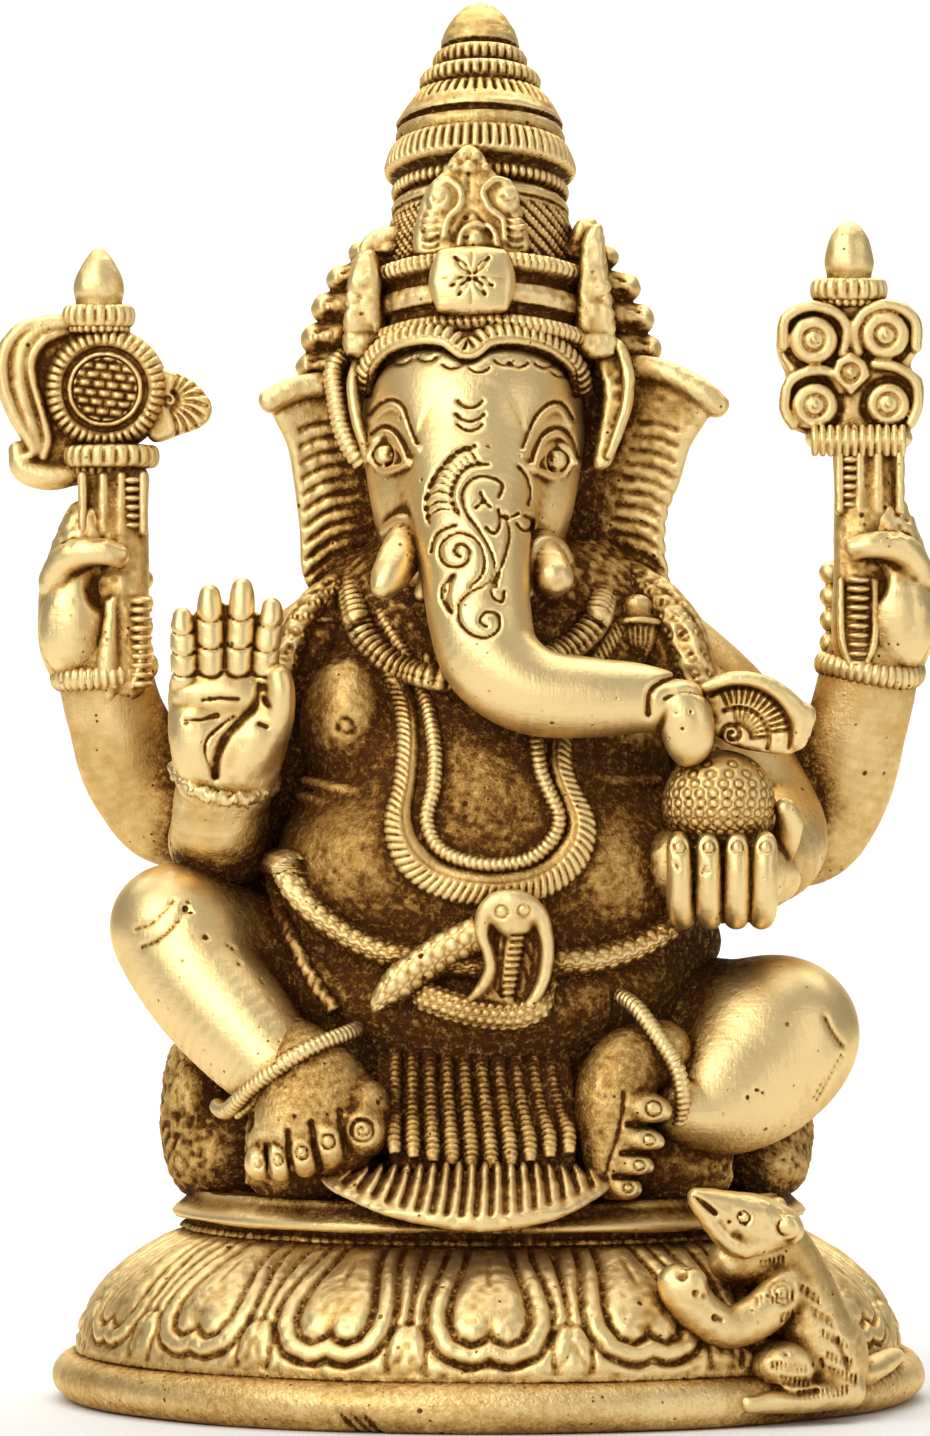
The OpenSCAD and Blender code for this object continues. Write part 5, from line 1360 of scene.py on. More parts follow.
def flame_scroll():
    clay = Clay([-73, -6, 130], [-54, 5, 160], 0.26)
    backing = smooth([[-58, 156.6], [-62, 157.2], [-66.6, 156.6], [-69.8, 154.4], [-71.0, 150],
                      [-70.4, 145.4], [-68.6, 141.4], [-67.4, 138.6], [-68.6, 136], [-66, 133.4],
                      [-61, 132.8], [-57.6, 133.6], [-58, 140], [-58, 150]], 4, closed=True)
    clay.slab(backing, -1.6, 2.2, 1.0, 0.6)
    clay.limb([[-60.4, -0.6, 156, 1.2, 1.8], [-64.8, -0.8, 155.4, 1.7, 2], [-67.6, -0.8, 152.2, 1.9, 2.2],
               [-68.0, -0.8, 147.4, 1.8, 2.2], [-66.6, -0.8, 142, 1.7, 2.2], [-65.6, -0.8, 138, 1.6, 2]],
              blend=0.5)
    clay.limb([[-63.6, -1.2, 156.2, 0.9, 1.2], [-67.8, -1.6, 155.2, 1.1, 1.5],
               [-70.4, -1.6, 151.6, 1.15, 1.6], [-70.4, -1.6, 147, 1.15, 1.6],
               [-68.6, -1.6, 142.4, 1.1, 1.6], [-66.6, -1.6, 139, 1, 1.5], [-66.2, -1.6, 137.4, 0.8, 1.3],
               [-67.2, -1.6, 136.6, 0.6, 1.1]], blend=0.3)
    clay.limb([[-61.4, -1.2, 154.8, 0.8, 1.1], [-64.6, -1.8, 153.6, 0.9, 1.4],
               [-66.4, -1.8, 150.6, 0.9, 1.5], [-66.0, -1.8, 147, 0.8, 1.4], [-64.8, -1.8, 143, 0.8, 1.4],
               [-64.0, -1.6, 139.4, 0.8, 1.3], [-64.6, -1.4, 136.8, 0.8, 1.2]], blend=0.3)
    clay.limb([[-68.4, -0.6, 137.6, 1.4, 1.8], [-67.4, -0.8, 134.8, 1.9, 2.2],
               [-63.6, -0.8, 133.8, 2.0, 2.4], [-59.6, -0.6, 134.4, 1.6, 2.2]], blend=0.5)
    piece("flame_scroll_curled", clay.cast_rough([-64, 4, 146], 0.1, 1.3), ANTIQUE, "flame_scroll")


def emblem_leaf():
    """A small leaf plate beside the disc, with rays fanned out from a curled hub."""
    outline = smooth([[-49.4, 149.4], [-46.4, 149.2], [-42.8, 147.6], [-40.3, 144.4], [-41, 141.6],
                      [-44.6, 140], [-49.4, 139.4]], 5, closed=True)
    low, high = outline.min(axis=0), outline.max(axis=0)
    hub, y_low, y_high = (-46.4, 144.8), -2.4, 1.6
    clay = Clay([low[0] - 1.5, y_low - 2, low[1] - 1.5], [high[0] + 1.5, y_high + 1.5, high[1] + 1.5], 0.25)
    clay.slab(outline, y_low, y_high, 0.9, 0.5)
    rays = []
    for k in range(9):
        a = math.radians(62 - 140 * k / 8)
        near = np.array([hub[0] + 1.4 * math.cos(a), hub[1] + 1.4 * math.sin(a)])
        far = np.array([hub[0] + 5.6 * math.cos(a), hub[1] + 5.6 * math.sin(a)])
        bend = (near + far) / 2 + 0.35 * np.array([-math.sin(a), math.cos(a)])
        rays.append(smooth([near, bend, far], 3))
    clay.engrave(rays, 0.27, 0.75, y_low - 2, y_low + 1.6)
    clay.engrave([spiral(hub, 0.2, 1.3, 0, 1.2)], 0.25, 0.6, y_low - 2, y_low + 1.6)
    piece("emblem_leaf_fan", clay.cast(), ANTIQUE, "emblem_leaf")


def boss_emblem():
    clay = Clay([39, -9, 132], [66, 5, 163], 0.26)
    outline = smooth([[46, 159], [49, 158.4], [52.4, 159.2], [56, 158.8], [59.8, 159.2], [62.6, 156.8],
                      [62.9, 153], [61.2, 149.8], [63, 147.8], [63, 144], [61.2, 140.6], [57, 139.8],
                      [52.6, 139.6], [47.4, 139.8], [43.6, 141.4], [42.4, 145], [43.4, 148.4],
                      [42.2, 151.2], [42.2, 155.6]], 4,
                     closed=True)
    clay.slab(outline, -3.8, 3.6, 1.2, 0.6)
    for x, z, r in ((47.1, 153.5, 3.5), (57.5, 154.2, 3.5), (47.3, 144, 3.3), (57.9, 144.2, 3.1)):
        clay.punch([x, -3.9, z], r + 0.55, 0.5, 0.7)
        circle = [[x + r * c, z + r * s] for c, s in arc((0, 0), 1, 0, 345, 24)]
        clay.slab(circle, -5.2, -2, 0.9, 0.3)
        clay.punch([x, -5.2, z], 1.55, 0.3, 0.45)
        clay.ball([x, -5.1, z], [0.55, 0.7, 0.55], blend=0.2)
    for line in (
        [[51.4, -3.8, 151.6], [52, -4.2, 155], [50.4, -4.4, 157.4], [46.6, -4.4, 158.4], [43, -4.2, 156.6],
         [42.7, -4, 152.6]],
        [[53.6, -3.8, 151.8], [53, -4.2, 155], [55, -4.4, 157.9], [58.6, -4.4, 158.6], [61.8, -4.2, 156.4],
         [62.0, -4, 152.4]],
        [[51.2, -3.8, 146.4], [49.4, -4.2, 148.8], [46.4, -4.4, 149], [43.6, -4.2, 147.4],
         [42.9, -4, 143.6], [44.2, -4, 141.2]],
        [[56, -4, 150], [59, -4.4, 149.6], [61.8, -4.2, 147.6], [62.2, -4, 144.2], [61.2, -4, 141.4]],
    ):
        clay.limb([[*p, 0.8, 0.8] for p in line], 4, blend=0.5)
    diamond = [[52.4, 151.8], [54.6, 150.4], [55.4, 148.4], [52.5, 145.4], [49.6, 148.4], [50.4, 150.6]]
    clay.slab(diamond, -5.4, 0, 0.7, 0.3)
    clay.punch([52.4, -5.4, 148.7], 1.25, 0.28, 0.5)
    clay.ball([52.4, -5.3, 148.7], [0.6, 0.7, 0.6], blend=0.2)
    clay.limb([[47.6, -1.4, 139.4, 1.6, 4], [53.8, -1.4, 138.8, 1.8, 4.4], [60, -1.4, 139.4, 1.6, 4]],
              face=FRONT, blend=0.5)
    for k in range(12):
        clay.limb([[47.2 + 1.16 * k, -5.2, 140.8, 0.46, 0.7], [47.2 + 1.16 * k, -5.9, 139, 0.56, 0.8],
                   [47.2 + 1.16 * k, -5.4, 137.0, 0.48, 0.7]], blend=0.25)
    piece("boss_emblem_ringed", clay.cast_rough([52, 4, 148], 0.1, 1.1), ANTIQUE, "boss_emblem")


# ---------- Head ----------

SCROLL_X, SCROLL_Z = -2.8, 132.6


def scroll(points, steps=4):
    """A smooth line given relative to the middle of the scroll on the trunk."""
    return smooth(np.array(points, float) + [SCROLL_X, SCROLL_Z], steps)


def scroll_lines():
    """The engraved scroll on the trunk: stems, tendrils and the bars across the stem."""
    stem = [[2.6, 2.3], [0, 2.0], [-1.8, 0.1], [-2.5, -2.5], [-1.4, -5.0]]
    edge = [[0.8, 4.9], [-1.5, 4.2], [-3.4, 2.5], [-5.1, 0.1], [-6.1, -3.0], [-5.7, -6.0]]
    lines = [
        scroll(stem), scroll(edge),
        scroll([[4.2, -2.4], [4.7, -0.6], [2.7, 0.5], [0.5, 0.2], [-1.0, -1.8], [-0.5, -4.6], [1.3, -7.1],
                [2.8, -9.7], [3.6, -12.3], [2.5, -14.7], [0.1, -16.0], [-1.5, -17.8], [-1.3, -20.3],
                [0.5, -22.0], [2.6, -22.3], [4.2, -21.0], [4.0, -19.2], [2.4, -18.8], [1.5, -20.0],
                [2.4, -20.8]]),
        scroll([[0.1, -15.2], [1.9, -13.3], [2.0, -10.4], [0.6, -8.2], [-2.0, -7.6], [-4.1, -9.3],
                [-3.8, -11.6], [-2.0, -12.4], [-0.4, -11.7], [0.0, -10.0], [-1.3, -9.1], [-2.1, -10.2],
                [-1.3, -10.9]]), scroll([[-2.0, -6.4], [-4.5, -7.6], [-5.4, -10.2]]),
        scroll([[-2.3, -13.5], [-3.7, -15.2], [-3.7, -17.2], [-2.5, -18.9]]),
        scroll([[-2.3, -13.7], [-2.9, -15.4], [-3.1, -17.0], [-2.6, -18.6]]),
        scroll([[1.0, -3.9], [2.0, -3.1], [3.0, -3.8]]),
        scroll([[1.6, -1.8], [2.1, -3.0]]),
        scroll([[4.7, -5.1], [5.8, -5.3], [6.9, -4.7]]),
        scroll([[6.7, -6.1], [7.6, -7.1], [8.7, -6.8], [8.9, -5.7], [7.9, -5.0]]),
        scroll([[2.4, -6.8], [3.5, -7.6], [4.4, -6.2], [4.1, -4.2]]),
        scroll([[5.1, -5.2], [5.7, -7.6], [5.1, -10.7], [4.1, -13.3], [3.8, -15.3]]),
        scroll([[4.1, -13.4], [3.1, -15.2], [3.4, -16.6], [4.6, -17.3], [4.9, -15.9]]),
        scroll([[7.0, 2.0], [8.2, 0.4], [8.6, -1.6], [8.4, -3.4]]),
    ]
    inner, outer = scroll(stem, 6), scroll(edge, 6)
    for k in range(10):
        t = 0.12 + 0.085 * k
        a = inner[min(int(t * len(inner)), len(inner) - 1)]
        b = outer[min(int((t + 0.04) * len(outer)), len(outer) - 1)]
        middle = (a + b) / 2 + np.array([-0.2, 0.75])
        lines.append(smooth([a, middle, b], 4))
    return lines


def face_lines():
    """Small arcs on the forehead, and the three marks between the brows."""
    smiles = [arc((x, z + 1.3), 1.9, 222, 318, 9) for x, z in
              ((-12.6, 150.1), (-8.9, 150.4), (-5.2, 149.3), (-1.4, 148.8), (2.2, 149.9), (4.2, 149.6),
               (8.0, 149.6), (10.4, 148.4))]
    marks = [arc((-2.7, z + 1.6), r, 215, 325, 9) for z, r in ((143.6, 2.1), (141.9, 2.4), (140.3, 2.1))]
    return smiles, marks


def eye(clay, x, z, side, lean):
    """A pitted ball under a heavy lid; side points away from the trunk."""
    spot = clay.front(x, z)
    clay.ball(spot + [0, 0.9, 0], [3.1, 2.0, 2.3], [0, lean, 0], blend=0.8, cut=True)
    clay.ball(spot + [0, 1.2, -0.1], [1.75, 1.7, 1.6], blend=0.3)
    lid = [[x - side * 3.1, z - 1.5], [x - side * 2.2, z + 0.7], [x - side * 0.4, z + 2.0],
           [x + side * 1.6, z + 1.5], [x + side * 2.6, z - 0.4]]
    low = [[x - side * 3.0, z - 1.4], [x - side * 1.0, z - 2.2], [x + side * 1.2, z - 1.9],
           [x + side * 2.6, z - 0.5]]
    for line, size in ((lid, 0.6), (low, 0.45)):
        path = clay.land([[a, AHEAD, b] for a, b in line], -FRONT)
        path[:, 1] = np.minimum(path[:, 1], spot[1] + side * 0.5 * (path[:, 0] - x) + 0.9)
        clay.limb(np.c_[path, np.full(len(path), size), np.full(len(path), size)], 4, blend=0.5)
    clay.punch(spot + [-0.1, -0.5, 0.1], 0.62, 0.2, 0.4)
    clay.pits([[x + dx, z + dz, 0.26] for dx, dz in ((0.5, -0.7), (-0.6, 0.6), (0.9, 0.3))], 0.1)


def head():
    clay = Clay([-23, -45, 88], [38, 18, 167], 0.34)
    clay.ball([-2.2, -4, 141], [16.2, 17.2, 18])
    clay.ball([-2.0, -1, 153], [15, 14, 11], blend=3)
    clay.ball([-2.3, -10, 144.5], [13.6, 12.2, 10], blend=4)
    clay.limb([[-1.2, -1, 115, 9, 9], [-2, -3, 121, 12.4, 13], [-2.3, -4, 128, 14.4, 15]], blend=3)
    for side, x in ((-1, -2.3), (1, -2.3)):
        clay.limb([[x + side * 10.6, -9.5, 138, 4.6, 7], [x + side * 10.0, -11.8, 131, 4.6, 7.2],
                   [x + side * 8.6, -13.4, 125, 4.0, 6.4], [x + side * 7.4, -14.4, 120, 3.4, 5]], blend=3)
    clay.limb([
        [-2.3, -11, 148, 9.4, 8], [-2.4, -15.4, 141, 10.6, 8.4], [-2.4, -19.6, 134, 10, 8.2],
        [-2.3, -24, 127, 8.5, 7.8], [-1.9, -27.8, 120.4, 7.7, 7.1], [-1.4, -30.6, 113.8, 7.4, 6.7],
        [0.4, -33, 107.2, 7.0, 6.3], [6.0, -34.4, 102.8, 6.3, 5.9], [14.0, -34.6, 101.8, 5.7, 5.5],
        [20.6, -34.2, 101.7, 5.0, 4.9], [25.4, -33.6, 100.8, 4.3, 4.4], [27.6, -33, 98.6, 3.6, 3.8],
    ], 6, blend=4)
    clay.limb([[26.6, -34.8, 101.4, 3.7, 3.6], [27.8, -35.4, 98.6, 3.9, 3.5], [28.2, -35.2, 95.8, 3.5, 3.1],
               [28.2, -34.8, 94.4, 2.7, 2.5]], blend=0.5)
    for line in ([[-14.6, -17, 125.6], [-12.4, -20.6, 127], [-10.3, -23.4, 126.1], [-9.2, -25.4, 122.8],
                  [-9.0, -26.2, 119], [-9.6, -25.4, 116.6]],
                 [[11.2, -17, 121.4], [10.0, -19.6, 123.4], [7.8, -22.8, 124], [6.0, -25.2, 122.2],
                  [5.3, -26.4, 119.2], [5.4, -26, 116.8]]):
        clay.limb([[*p, 1.05, 1.2] for p in line], 4, blend=0.9)
    clay.ball([-12.8, -20, 121.6], [2.6, 5, 3.9], [0, 18, 0], blend=0.8, cut=True)
    clay.ball([8.6, -20, 120], [2.5, 5, 3.2], [0, -18, 0], blend=0.8, cut=True)
    eye(clay, -14.6, 136.6, -1, 12)
    eye(clay, 9.4, 135.8, 1, -12)
    smiles, marks = face_lines()
    clay.engrave(smiles, 0.28, 0.42, AHEAD, -6)
    under_hair = [[-17.2, 145.4], [-16.0, 148.6], [-13.6, 150.8], [-10, 152.0], [-6.4, 151.8],
                  [-3.0, 149.8], [0.2, 151.8], [4, 152.0], [8.2, 150.8], [11.2, 148.6], [12.4, 145.4]]
    clay.engrave([smooth(under_hair, 6)], 0.55, 0.9, AHEAD, 0)
    clay.engrave(marks, 0.32, 0.42, AHEAD, -12)
    brows = [
        [[-17.0, 142.4], [-15.6, 143.8], [-13.7, 144.4], [-12.2, 143.2], [-11.4, 140.8], [-10.3, 138.0]],
        [[-16.8, 139.6], [-15.2, 140.6], [-13.6, 140.1], [-12.3, 138.3], [-11.6, 136.2]],
        [[4.9, 137.4], [5.7, 139.6], [6.9, 142.1], [8.8, 143.9], [10.6, 143.8], [12.0, 141.8]],
        [[6.2, 135.6], [6.8, 137.6], [8.1, 139.7], [10.1, 140.4], [11.8, 139.0], [12.8, 136.2]],
    ]
    clay.engrave([smooth(b, 4) for b in brows], 0.34, 0.55, AHEAD, -3)
    clay.engrave([smooth(np.array(b) - [0, 0.85], 4) for b in brows], 0.5, -0.35, AHEAD, -3)
    clay.engrave(scroll_lines(), 0.31, 0.5, AHEAD, -20)
    clay.engrave([smooth([[22.4, 99.6], [22.6, 102.4], [24.4, 104], [27, 104.6], [30, 104.4]], 4)], 0.5, 0.8,
                 AHEAD, -30)
    clay.engrave([smooth([[24.6, 101.6], [27.6, 102.6], [31, 101.8]], 4)], 0.3, 0.35, AHEAD, -30)
    clay.pits(((26.2, 99.6, 0.28), (28.4, 99.8, 0.28), (27.2, 97.4, 0.28)), 0.1)
    piece("elephant_head", clay.cast(), POLISHED, "head", "trunk")


def tusks():
    clay = Clay([-20, -34, 111], [15, -12, 130], 0.28)
    clay.limb([[-10.2, -16, 125.6, 2.8, 2.8], [-11.4, -21, 124.0, 3.1, 3.1], [-12.8, -24.8, 121.4, 3.1, 3.1],
               [-14.2, -27.6, 118.8, 2.6, 2.6], [-15.2, -29.0, 117.4, 1.6, 1.7]], blend=0.4)
    clay.limb([[6.2, -16, 124.6, 2.8, 2.8], [7.8, -22, 121.6, 3.0, 3.0], [9.2, -26.2, 118.8, 2.8, 2.8]],
              blend=0.4)
    clay.ball([11.0, -31.0, 116.6], [3.4, 3.0, 3.4], blend=0.3, cut=True)
    piece("tusk_pair", clay.cast_rough([-1, -18, 121], 0.12, 1.5), POLISHED, "tusks")


def trunk_leaf():
    clay = Clay([26, -38, 90], [49, -24, 108], 0.25)
    clay.slab(smooth([[30.6, 103], [33.4, 104.6], [37.6, 104.8], [41.4, 103], [44, 100.6], [45.6, 98.4],
                      [45.2, 95.8], [42.6, 93.8], [39, 94], [34.4, 95], [31, 97.4],
                      [30, 100]], 4, closed=True), -33.4, -28.6, 1.2, 0.6)
    clay.limb([[30.6, -33.4, 103.2, 0.9, 1], [34, -34, 104.2, 1.2, 1.3], [38.2, -34, 103.8, 1.4, 1.4],
               [41.8, -33.6, 101.6, 1.5, 1.4], [44.2, -33, 98.6, 1.5, 1.4], [43.6, -32.6, 95.6, 1.3, 1.3]],
              blend=0.4)
    clay.ball([44.6, -32.6, 99.2], [1.7, 1.7, 1.9], blend=0.5)
    ribs = []
    for k in range(13):
        a = math.radians(112 - 8.6 * k)
        ribs.append([[35.4 + 4.6 * math.cos(a), 96.2 + 4.9 * math.sin(a)],
                     [35.4 + 6.9 * math.cos(a), 96.2 + 6.9 * math.sin(a)]])
    for k in range(9):
        a = math.radians(96 - 11.5 * k)
        ribs.append([[35.2 + 1.9 * math.cos(a), 96.0 + 2.0 * math.sin(a)],
                     [35.2 + 4.1 * math.cos(a), 96.0 + 4.3 * math.sin(a)]])
    clay.engrave(ribs, 0.26, 0.7, -40, -30)
    clay.engrave([arc((35.3, 96.1), 4.35, -20, 118, 14), arc((35.4, 96.2), 7.2, -12, 124, 16),
                  spiral((34.4, 96.6), 0.3, 1.6, 90, 1.3)], 0.3, 0.7, -40, -30)
    piece("trunk_tip_leaf", clay.cast_rough([37, -24, 98], 0.1, 1.1), ANTIQUE, "trunk_leaf")


def ears():
    right = smooth([[-15, 145.4], [-22, 146.8], [-27.4, 146.4], [-31.4, 144.4], [-31.2, 142.4],
                    [-29.2, 138.2], [-28.3, 133.2], [-27.4, 126], [-27, 119.4], [-24, 115.6],
                    [-18.6, 114.6], [-13.6, 118], [-12.6, 130], [-13.4, 140]], 3, closed=True)
    left = smooth([[11.8, 148], [20.8, 149.2], [27, 147.6], [32.6, 144.4], [31.6, 141.8], [29.2, 137.9],
                   [27.8, 133], [26, 128], [25.8, 122.6], [26.4, 117.4], [23, 114.8], [17, 114.6],
                   [11.4, 118], [10.8, 130], [11.2, 140]], 3, closed=True)
    right_roll = [[-17.6, -4.2, 146.8], [-22, -4.8, 147.1], [-25.6, -5.4, 146.9], [-29, -6.2, 146.0],
                  [-31.7, -6.6, 144.5]]
    left_roll = [[16.6, -4.2, 149], [22, -4.8, 149.6], [27, -5.6, 148.2], [31, -6.4, 145.8],
                 [33.2, -6.6, 143.8]]
    for name, node, outline, roll, side, x_mid, x_low, x_high in (
            ("right_ear_fan", "right_ear", right, right_roll, -1, -21, -37, -9),
            ("left_ear_fan", "left_ear", left, left_roll, 1, 20, 7, 37)):
        clay = Clay([x_low, -10, 111], [x_high, 9, 153], 0.33)

        def bow(x, z):
            out = x - x_mid + side * 4
            return -(z - 130) * 0.085 - 0.012 * out ** 2 * (side * out > 0)

        clay.slab(outline, -3.2, 1.2, 1.4, 0.6, bow=bow)
        clay.limb([[*p, 1.8, 1.5] for p in roll], 4, blend=0.6)
        folds = []
        for k in range(10):
            outer, z, rise = side * (27.2 - 0.1 * k), 140.4 - 2.35 * k, 1.2 + 0.35 * k
            inner = side * (21.6 - 0.5 * k)
            folds.append(smooth([[outer, z], [outer * 0.55 + inner * 0.45, z + rise * 0.75],
                                 [inner, z + rise]], 6))
        clay.engrave(folds, 0.36, 0.45 if side < 0 else 0.28, -14, 1)
        points, faces = clay.cast()
        points[:, 1] += 0.1 * noise(points, 0.9) + 0.25 * noise(points, 3.4)
        piece(name, (points, faces), ANTIQUE, node)


def ear_straps():
    def ticks(along, angle):
        return ribbed(along, 0.95, 0.5)

    cords = cord(evenly(smooth([[-20.6, -5, 151.4], [-22.4, -7, 149.0], [-22.0, -9, 145],
                                [-21.2, -10.4, 140.8], [-19.6, -11.4, 137.2],
                                [-18.2, -11, 135.6]], 6), 0.24), ticks, around=20, sizes=[1.5, 1.3])
    bar = cord(evenly(smooth([[-18.6, -7, 150.8], [-19.6, -9.8, 147], [-19.0, -11.6, 142],
                              [-17.8, -12.2, 138], [-17.2, -11.8, 135.6]], 6), 0.4),
               around=16, sizes=[0.9, 1.0])
    broad = Clay([11, -17, 131], [25, 0, 158], 0.3)
    outline = smooth([[14.8, 153.4], [18.4, 153.8], [20.4, 151.2], [20.8, 146.8], [20.2, 142.6],
                      [18.8, 138.4], [17.4, 135.2], [15.2, 134.6], [15.4, 138], [16.2, 142],
                      [16.4, 147]], 3, closed=True)
    broad.slab(outline, -10.4, -4, 1.0, 0.5, bow=lambda x, z: (z - 145) * 0.2)
    broad.limb([[18.8, -9.4, 152.6, 0.8, 0.9], [20.0, -10.4, 149, 0.9, 1], [20.0, -11.4, 144.6, 0.9, 1],
                [18.6, -12.4, 139.8, 0.8, 0.9], [17.2, -12.8, 136.4, 0.6, 0.7]], blend=0.4)
    points, faces = broad.cast_rough([14, 2, 145], 0.2, 1.1)
    shape = grouped([cords, bar, (points, faces)])
    piece("ear_straps_cast", shape, ANTIQUE, "ear_straps")


def hair():
    clay = Clay([-32, -12, 116], [29, 21, 172], 0.42)
    rolls = [[-18.0, 166.2, 1.9], [-21.2, 162.4, 2.3], [-23.4, 158.2, 2.5], [-24.9, 153.8, 2.5],
             [-25.6, 149.6, 2.4], [16.6, 165.6, 1.9], [19.8, 161.2, 2.3], [21.8, 156.6, 2.5],
             [22.8, 152.2, 2.5], [22.6, 148.4, 2.0]]
    for x, z, r in rolls:
        side = -1 if x < -2 else 1
        clay.ball([x - side * 6.4, 1.4, z + 0.8], [4.4, 4.6, r], [0, side * 8, 0], blend=0.4)
        clay.ball([x - side * 2.2, -0.4, z + 0.4], [3.4, 4.4, r], [0, side * 8, 0], blend=0.3)
        clay.ball([x, -1.0, z], [2.4, 3.4, r * 0.92], blend=0.3)
        clay.ball([x + side * 0.4, -4.0, z], r * 0.46, blend=0.3)
        clay.ball([x - side * 3.6, -2.6, z + 0.5], [3.6, 3.4, r * 0.86], [0, side * 8, 0], blend=0.5)
        clay.punch([x - side * 1.0, -4.8, z + 0.2], 1.3, 0.25, 0.4)
    clay.ball([-2, 2, 146], [15.6, 12.6, 17])
    clay.limb([[-2, 4, 134, 14.4, 9], [-2, 6, 124, 12, 8], [-2, 7, 119, 8, 6]], blend=2)
    for row in range(6):
        z = 122.4 + 6.6 * row
        count = 6 if row in (0, 5) else 7
        for k in range(count):
            turn = math.radians(26 * (k - (count - 1) / 2) + (row % 2) * 4)
            radius = 14.6 - 0.45 * (row - 2.4) ** 2
            centre = np.array([-2 + radius * math.sin(turn), 0.5 + radius * math.cos(turn), z])
            clay.ball(centre, 3.5, blend=0.3)
            way = np.array([math.sin(turn), math.cos(turn), 0.0])
            tip = centre + way * 3.3
            clay.punch(tip, 1.7, 0.3, 0.5)
            clay.ball(tip, 0.7, blend=0.2)
    piece("hair_locks", clay.cast_rough([-2, 0, 145], 0.16, 1.4), ANTIQUE, "hair_curls")


def hairline():
    """The toothed cord where the hair meets the forehead."""
    stations = [[-18.2, -8, 146.4], [-17.2, -11.4, 149.8], [-14.4, -15.0, 152.6], [-10, -18.0, 153.8],
                [-6, -19.8, 153.4], [-3.0, -20.4, 151.5], [-0.2, -19.8, 153.4], [4, -18.0, 153.8],
                [8.8, -15.0, 152.6], [12.4, -11.4, 149.8], [13.6, -8, 146.2]]
    path = evenly(smooth(stations, 6), 0.2)

    def teeth(along, angle):
        upper = np.clip(-np.cos(angle) * 2.4 + 1.7, 0, 1)
        return ribbed(along, 1.3, 0.9) * upper - 0.35 * np.exp(-((np.cos(angle) - 0.72) / 0.1) ** 2)

    return cord(path, teeth, around=44, face=[0, -0.8, 0.5], sizes=[1.75, 1.1])


# ---------- Crown, built upright and leaned back ----------

CROWN_FOOT = [-1.2, -2.0, 150.0]


def crowned(shape):
    """A shape built upright, leaned back and set on the head."""
    return moved(shape, CROWN_FOOT, [-14, 0, 0])


def rough_ring(shape, amount):
    """A turned shape with casting lumps, pushed out from its axis."""
    points, faces = shape
    outward = unit(np.c_[points[:, :2], np.zeros(len(points))])
    return points + outward * (amount * noise(points, 1.1))[:, None], faces


def headband():
    outline = evenly([[13, 0], [15.9, 0.0], [17.4, 0.4], [18.0, 1.5], [17.5, 2.6], [16.3, 3.1], [15.5, 3.5],
                      [15.5, 4.6], [16.7, 4.9], [17.1, 6.3], [16.7, 7.7], [15.4, 8.0], [15.4, 9.2],
                      [16.3, 9.6], [17.3, 10.1], [17.7, 11.1], [17.2, 12.1], [15.8, 12.6],
                      [13, 12.6]], 0.36, closed=True, dims=2)

    def corded(turn, along, h):
        on_cord = np.exp(-(((h - 1.5) / 1.3) ** 6)) + np.exp(-(((h - 11.1) / 1.2) ** 6))
        return ribbed(turn * 96 + 0.12 * h, 1.0, 0.5) * on_cord

    band = crowned(rough_ring(turned(outline, 672, corded), 0.16))
    plates = Clay([-25, -16, 146], [22, 6, 176], 0.33)
    left = smooth([[-20.3, 150.6], [-20.9, 156], [-20.6, 161.4], [-19.6, 165.4], [-18.0, 168.4],
                   [-15.6, 169.8], [-12.6, 169.6], [-11.8, 164], [-12.6, 151.4]], 3, closed=True)
    right = smooth([[11.4, 151.4], [11.0, 164], [12.4, 170.0], [13.8, 171], [15.8, 170.6], [16.8, 166],
                    [18.0, 160], [18.4, 154], [17.8, 150.6]], 3, closed=True)
    left_block = smooth([[-20.4, 151.2], [-20.8, 157], [-20.2, 162], [-18.8, 165.6], [-16.4, 166],
                         [-15.4, 160], [-15.2, 151.6]], 3, closed=True)
    right_block = smooth([[12.8, 151.6], [12.9, 160], [13.5, 167.4], [14.8, 169.8], [16.4, 169.4],
                          [17.0, 164], [18.0, 158], [18.0, 151.2]], 3, closed=True)
    plates.slab(left, -5.0, 1, 1.0, 0.4)
    plates.slab(right, -5.0, 1, 1.0, 0.4)
    plates.slab(left_block, -11.0, -2, 1.2, 0.5)
    plates.slab(right_block, -11.0, -2, 1.2, 0.5)
    plates.engrave([[[-20.6, 160.6], [-18.2, 159.2], [-20.6, 157.8]], [[-20.6, 154.4], [-15.8, 154.0]],
                    [[18.2, 160.6], [15.8, 159.2], [18.2, 157.8]], [[13.2, 154.4], [18.2, 154.2]]],
                   0.36, 0.32, -20, 6)
    points, faces = plates.cast()
    lumps = 0.26 * noise(points, 1.0) + 0.2 * noise(points, 2.4)
    points = points + unit(points - [-1, 0, 160]) * lumps[:, None]
    shape = grouped([band, (points, faces), hairline()])
    piece("crown_headband", shape, ANTIQUE, "headband")


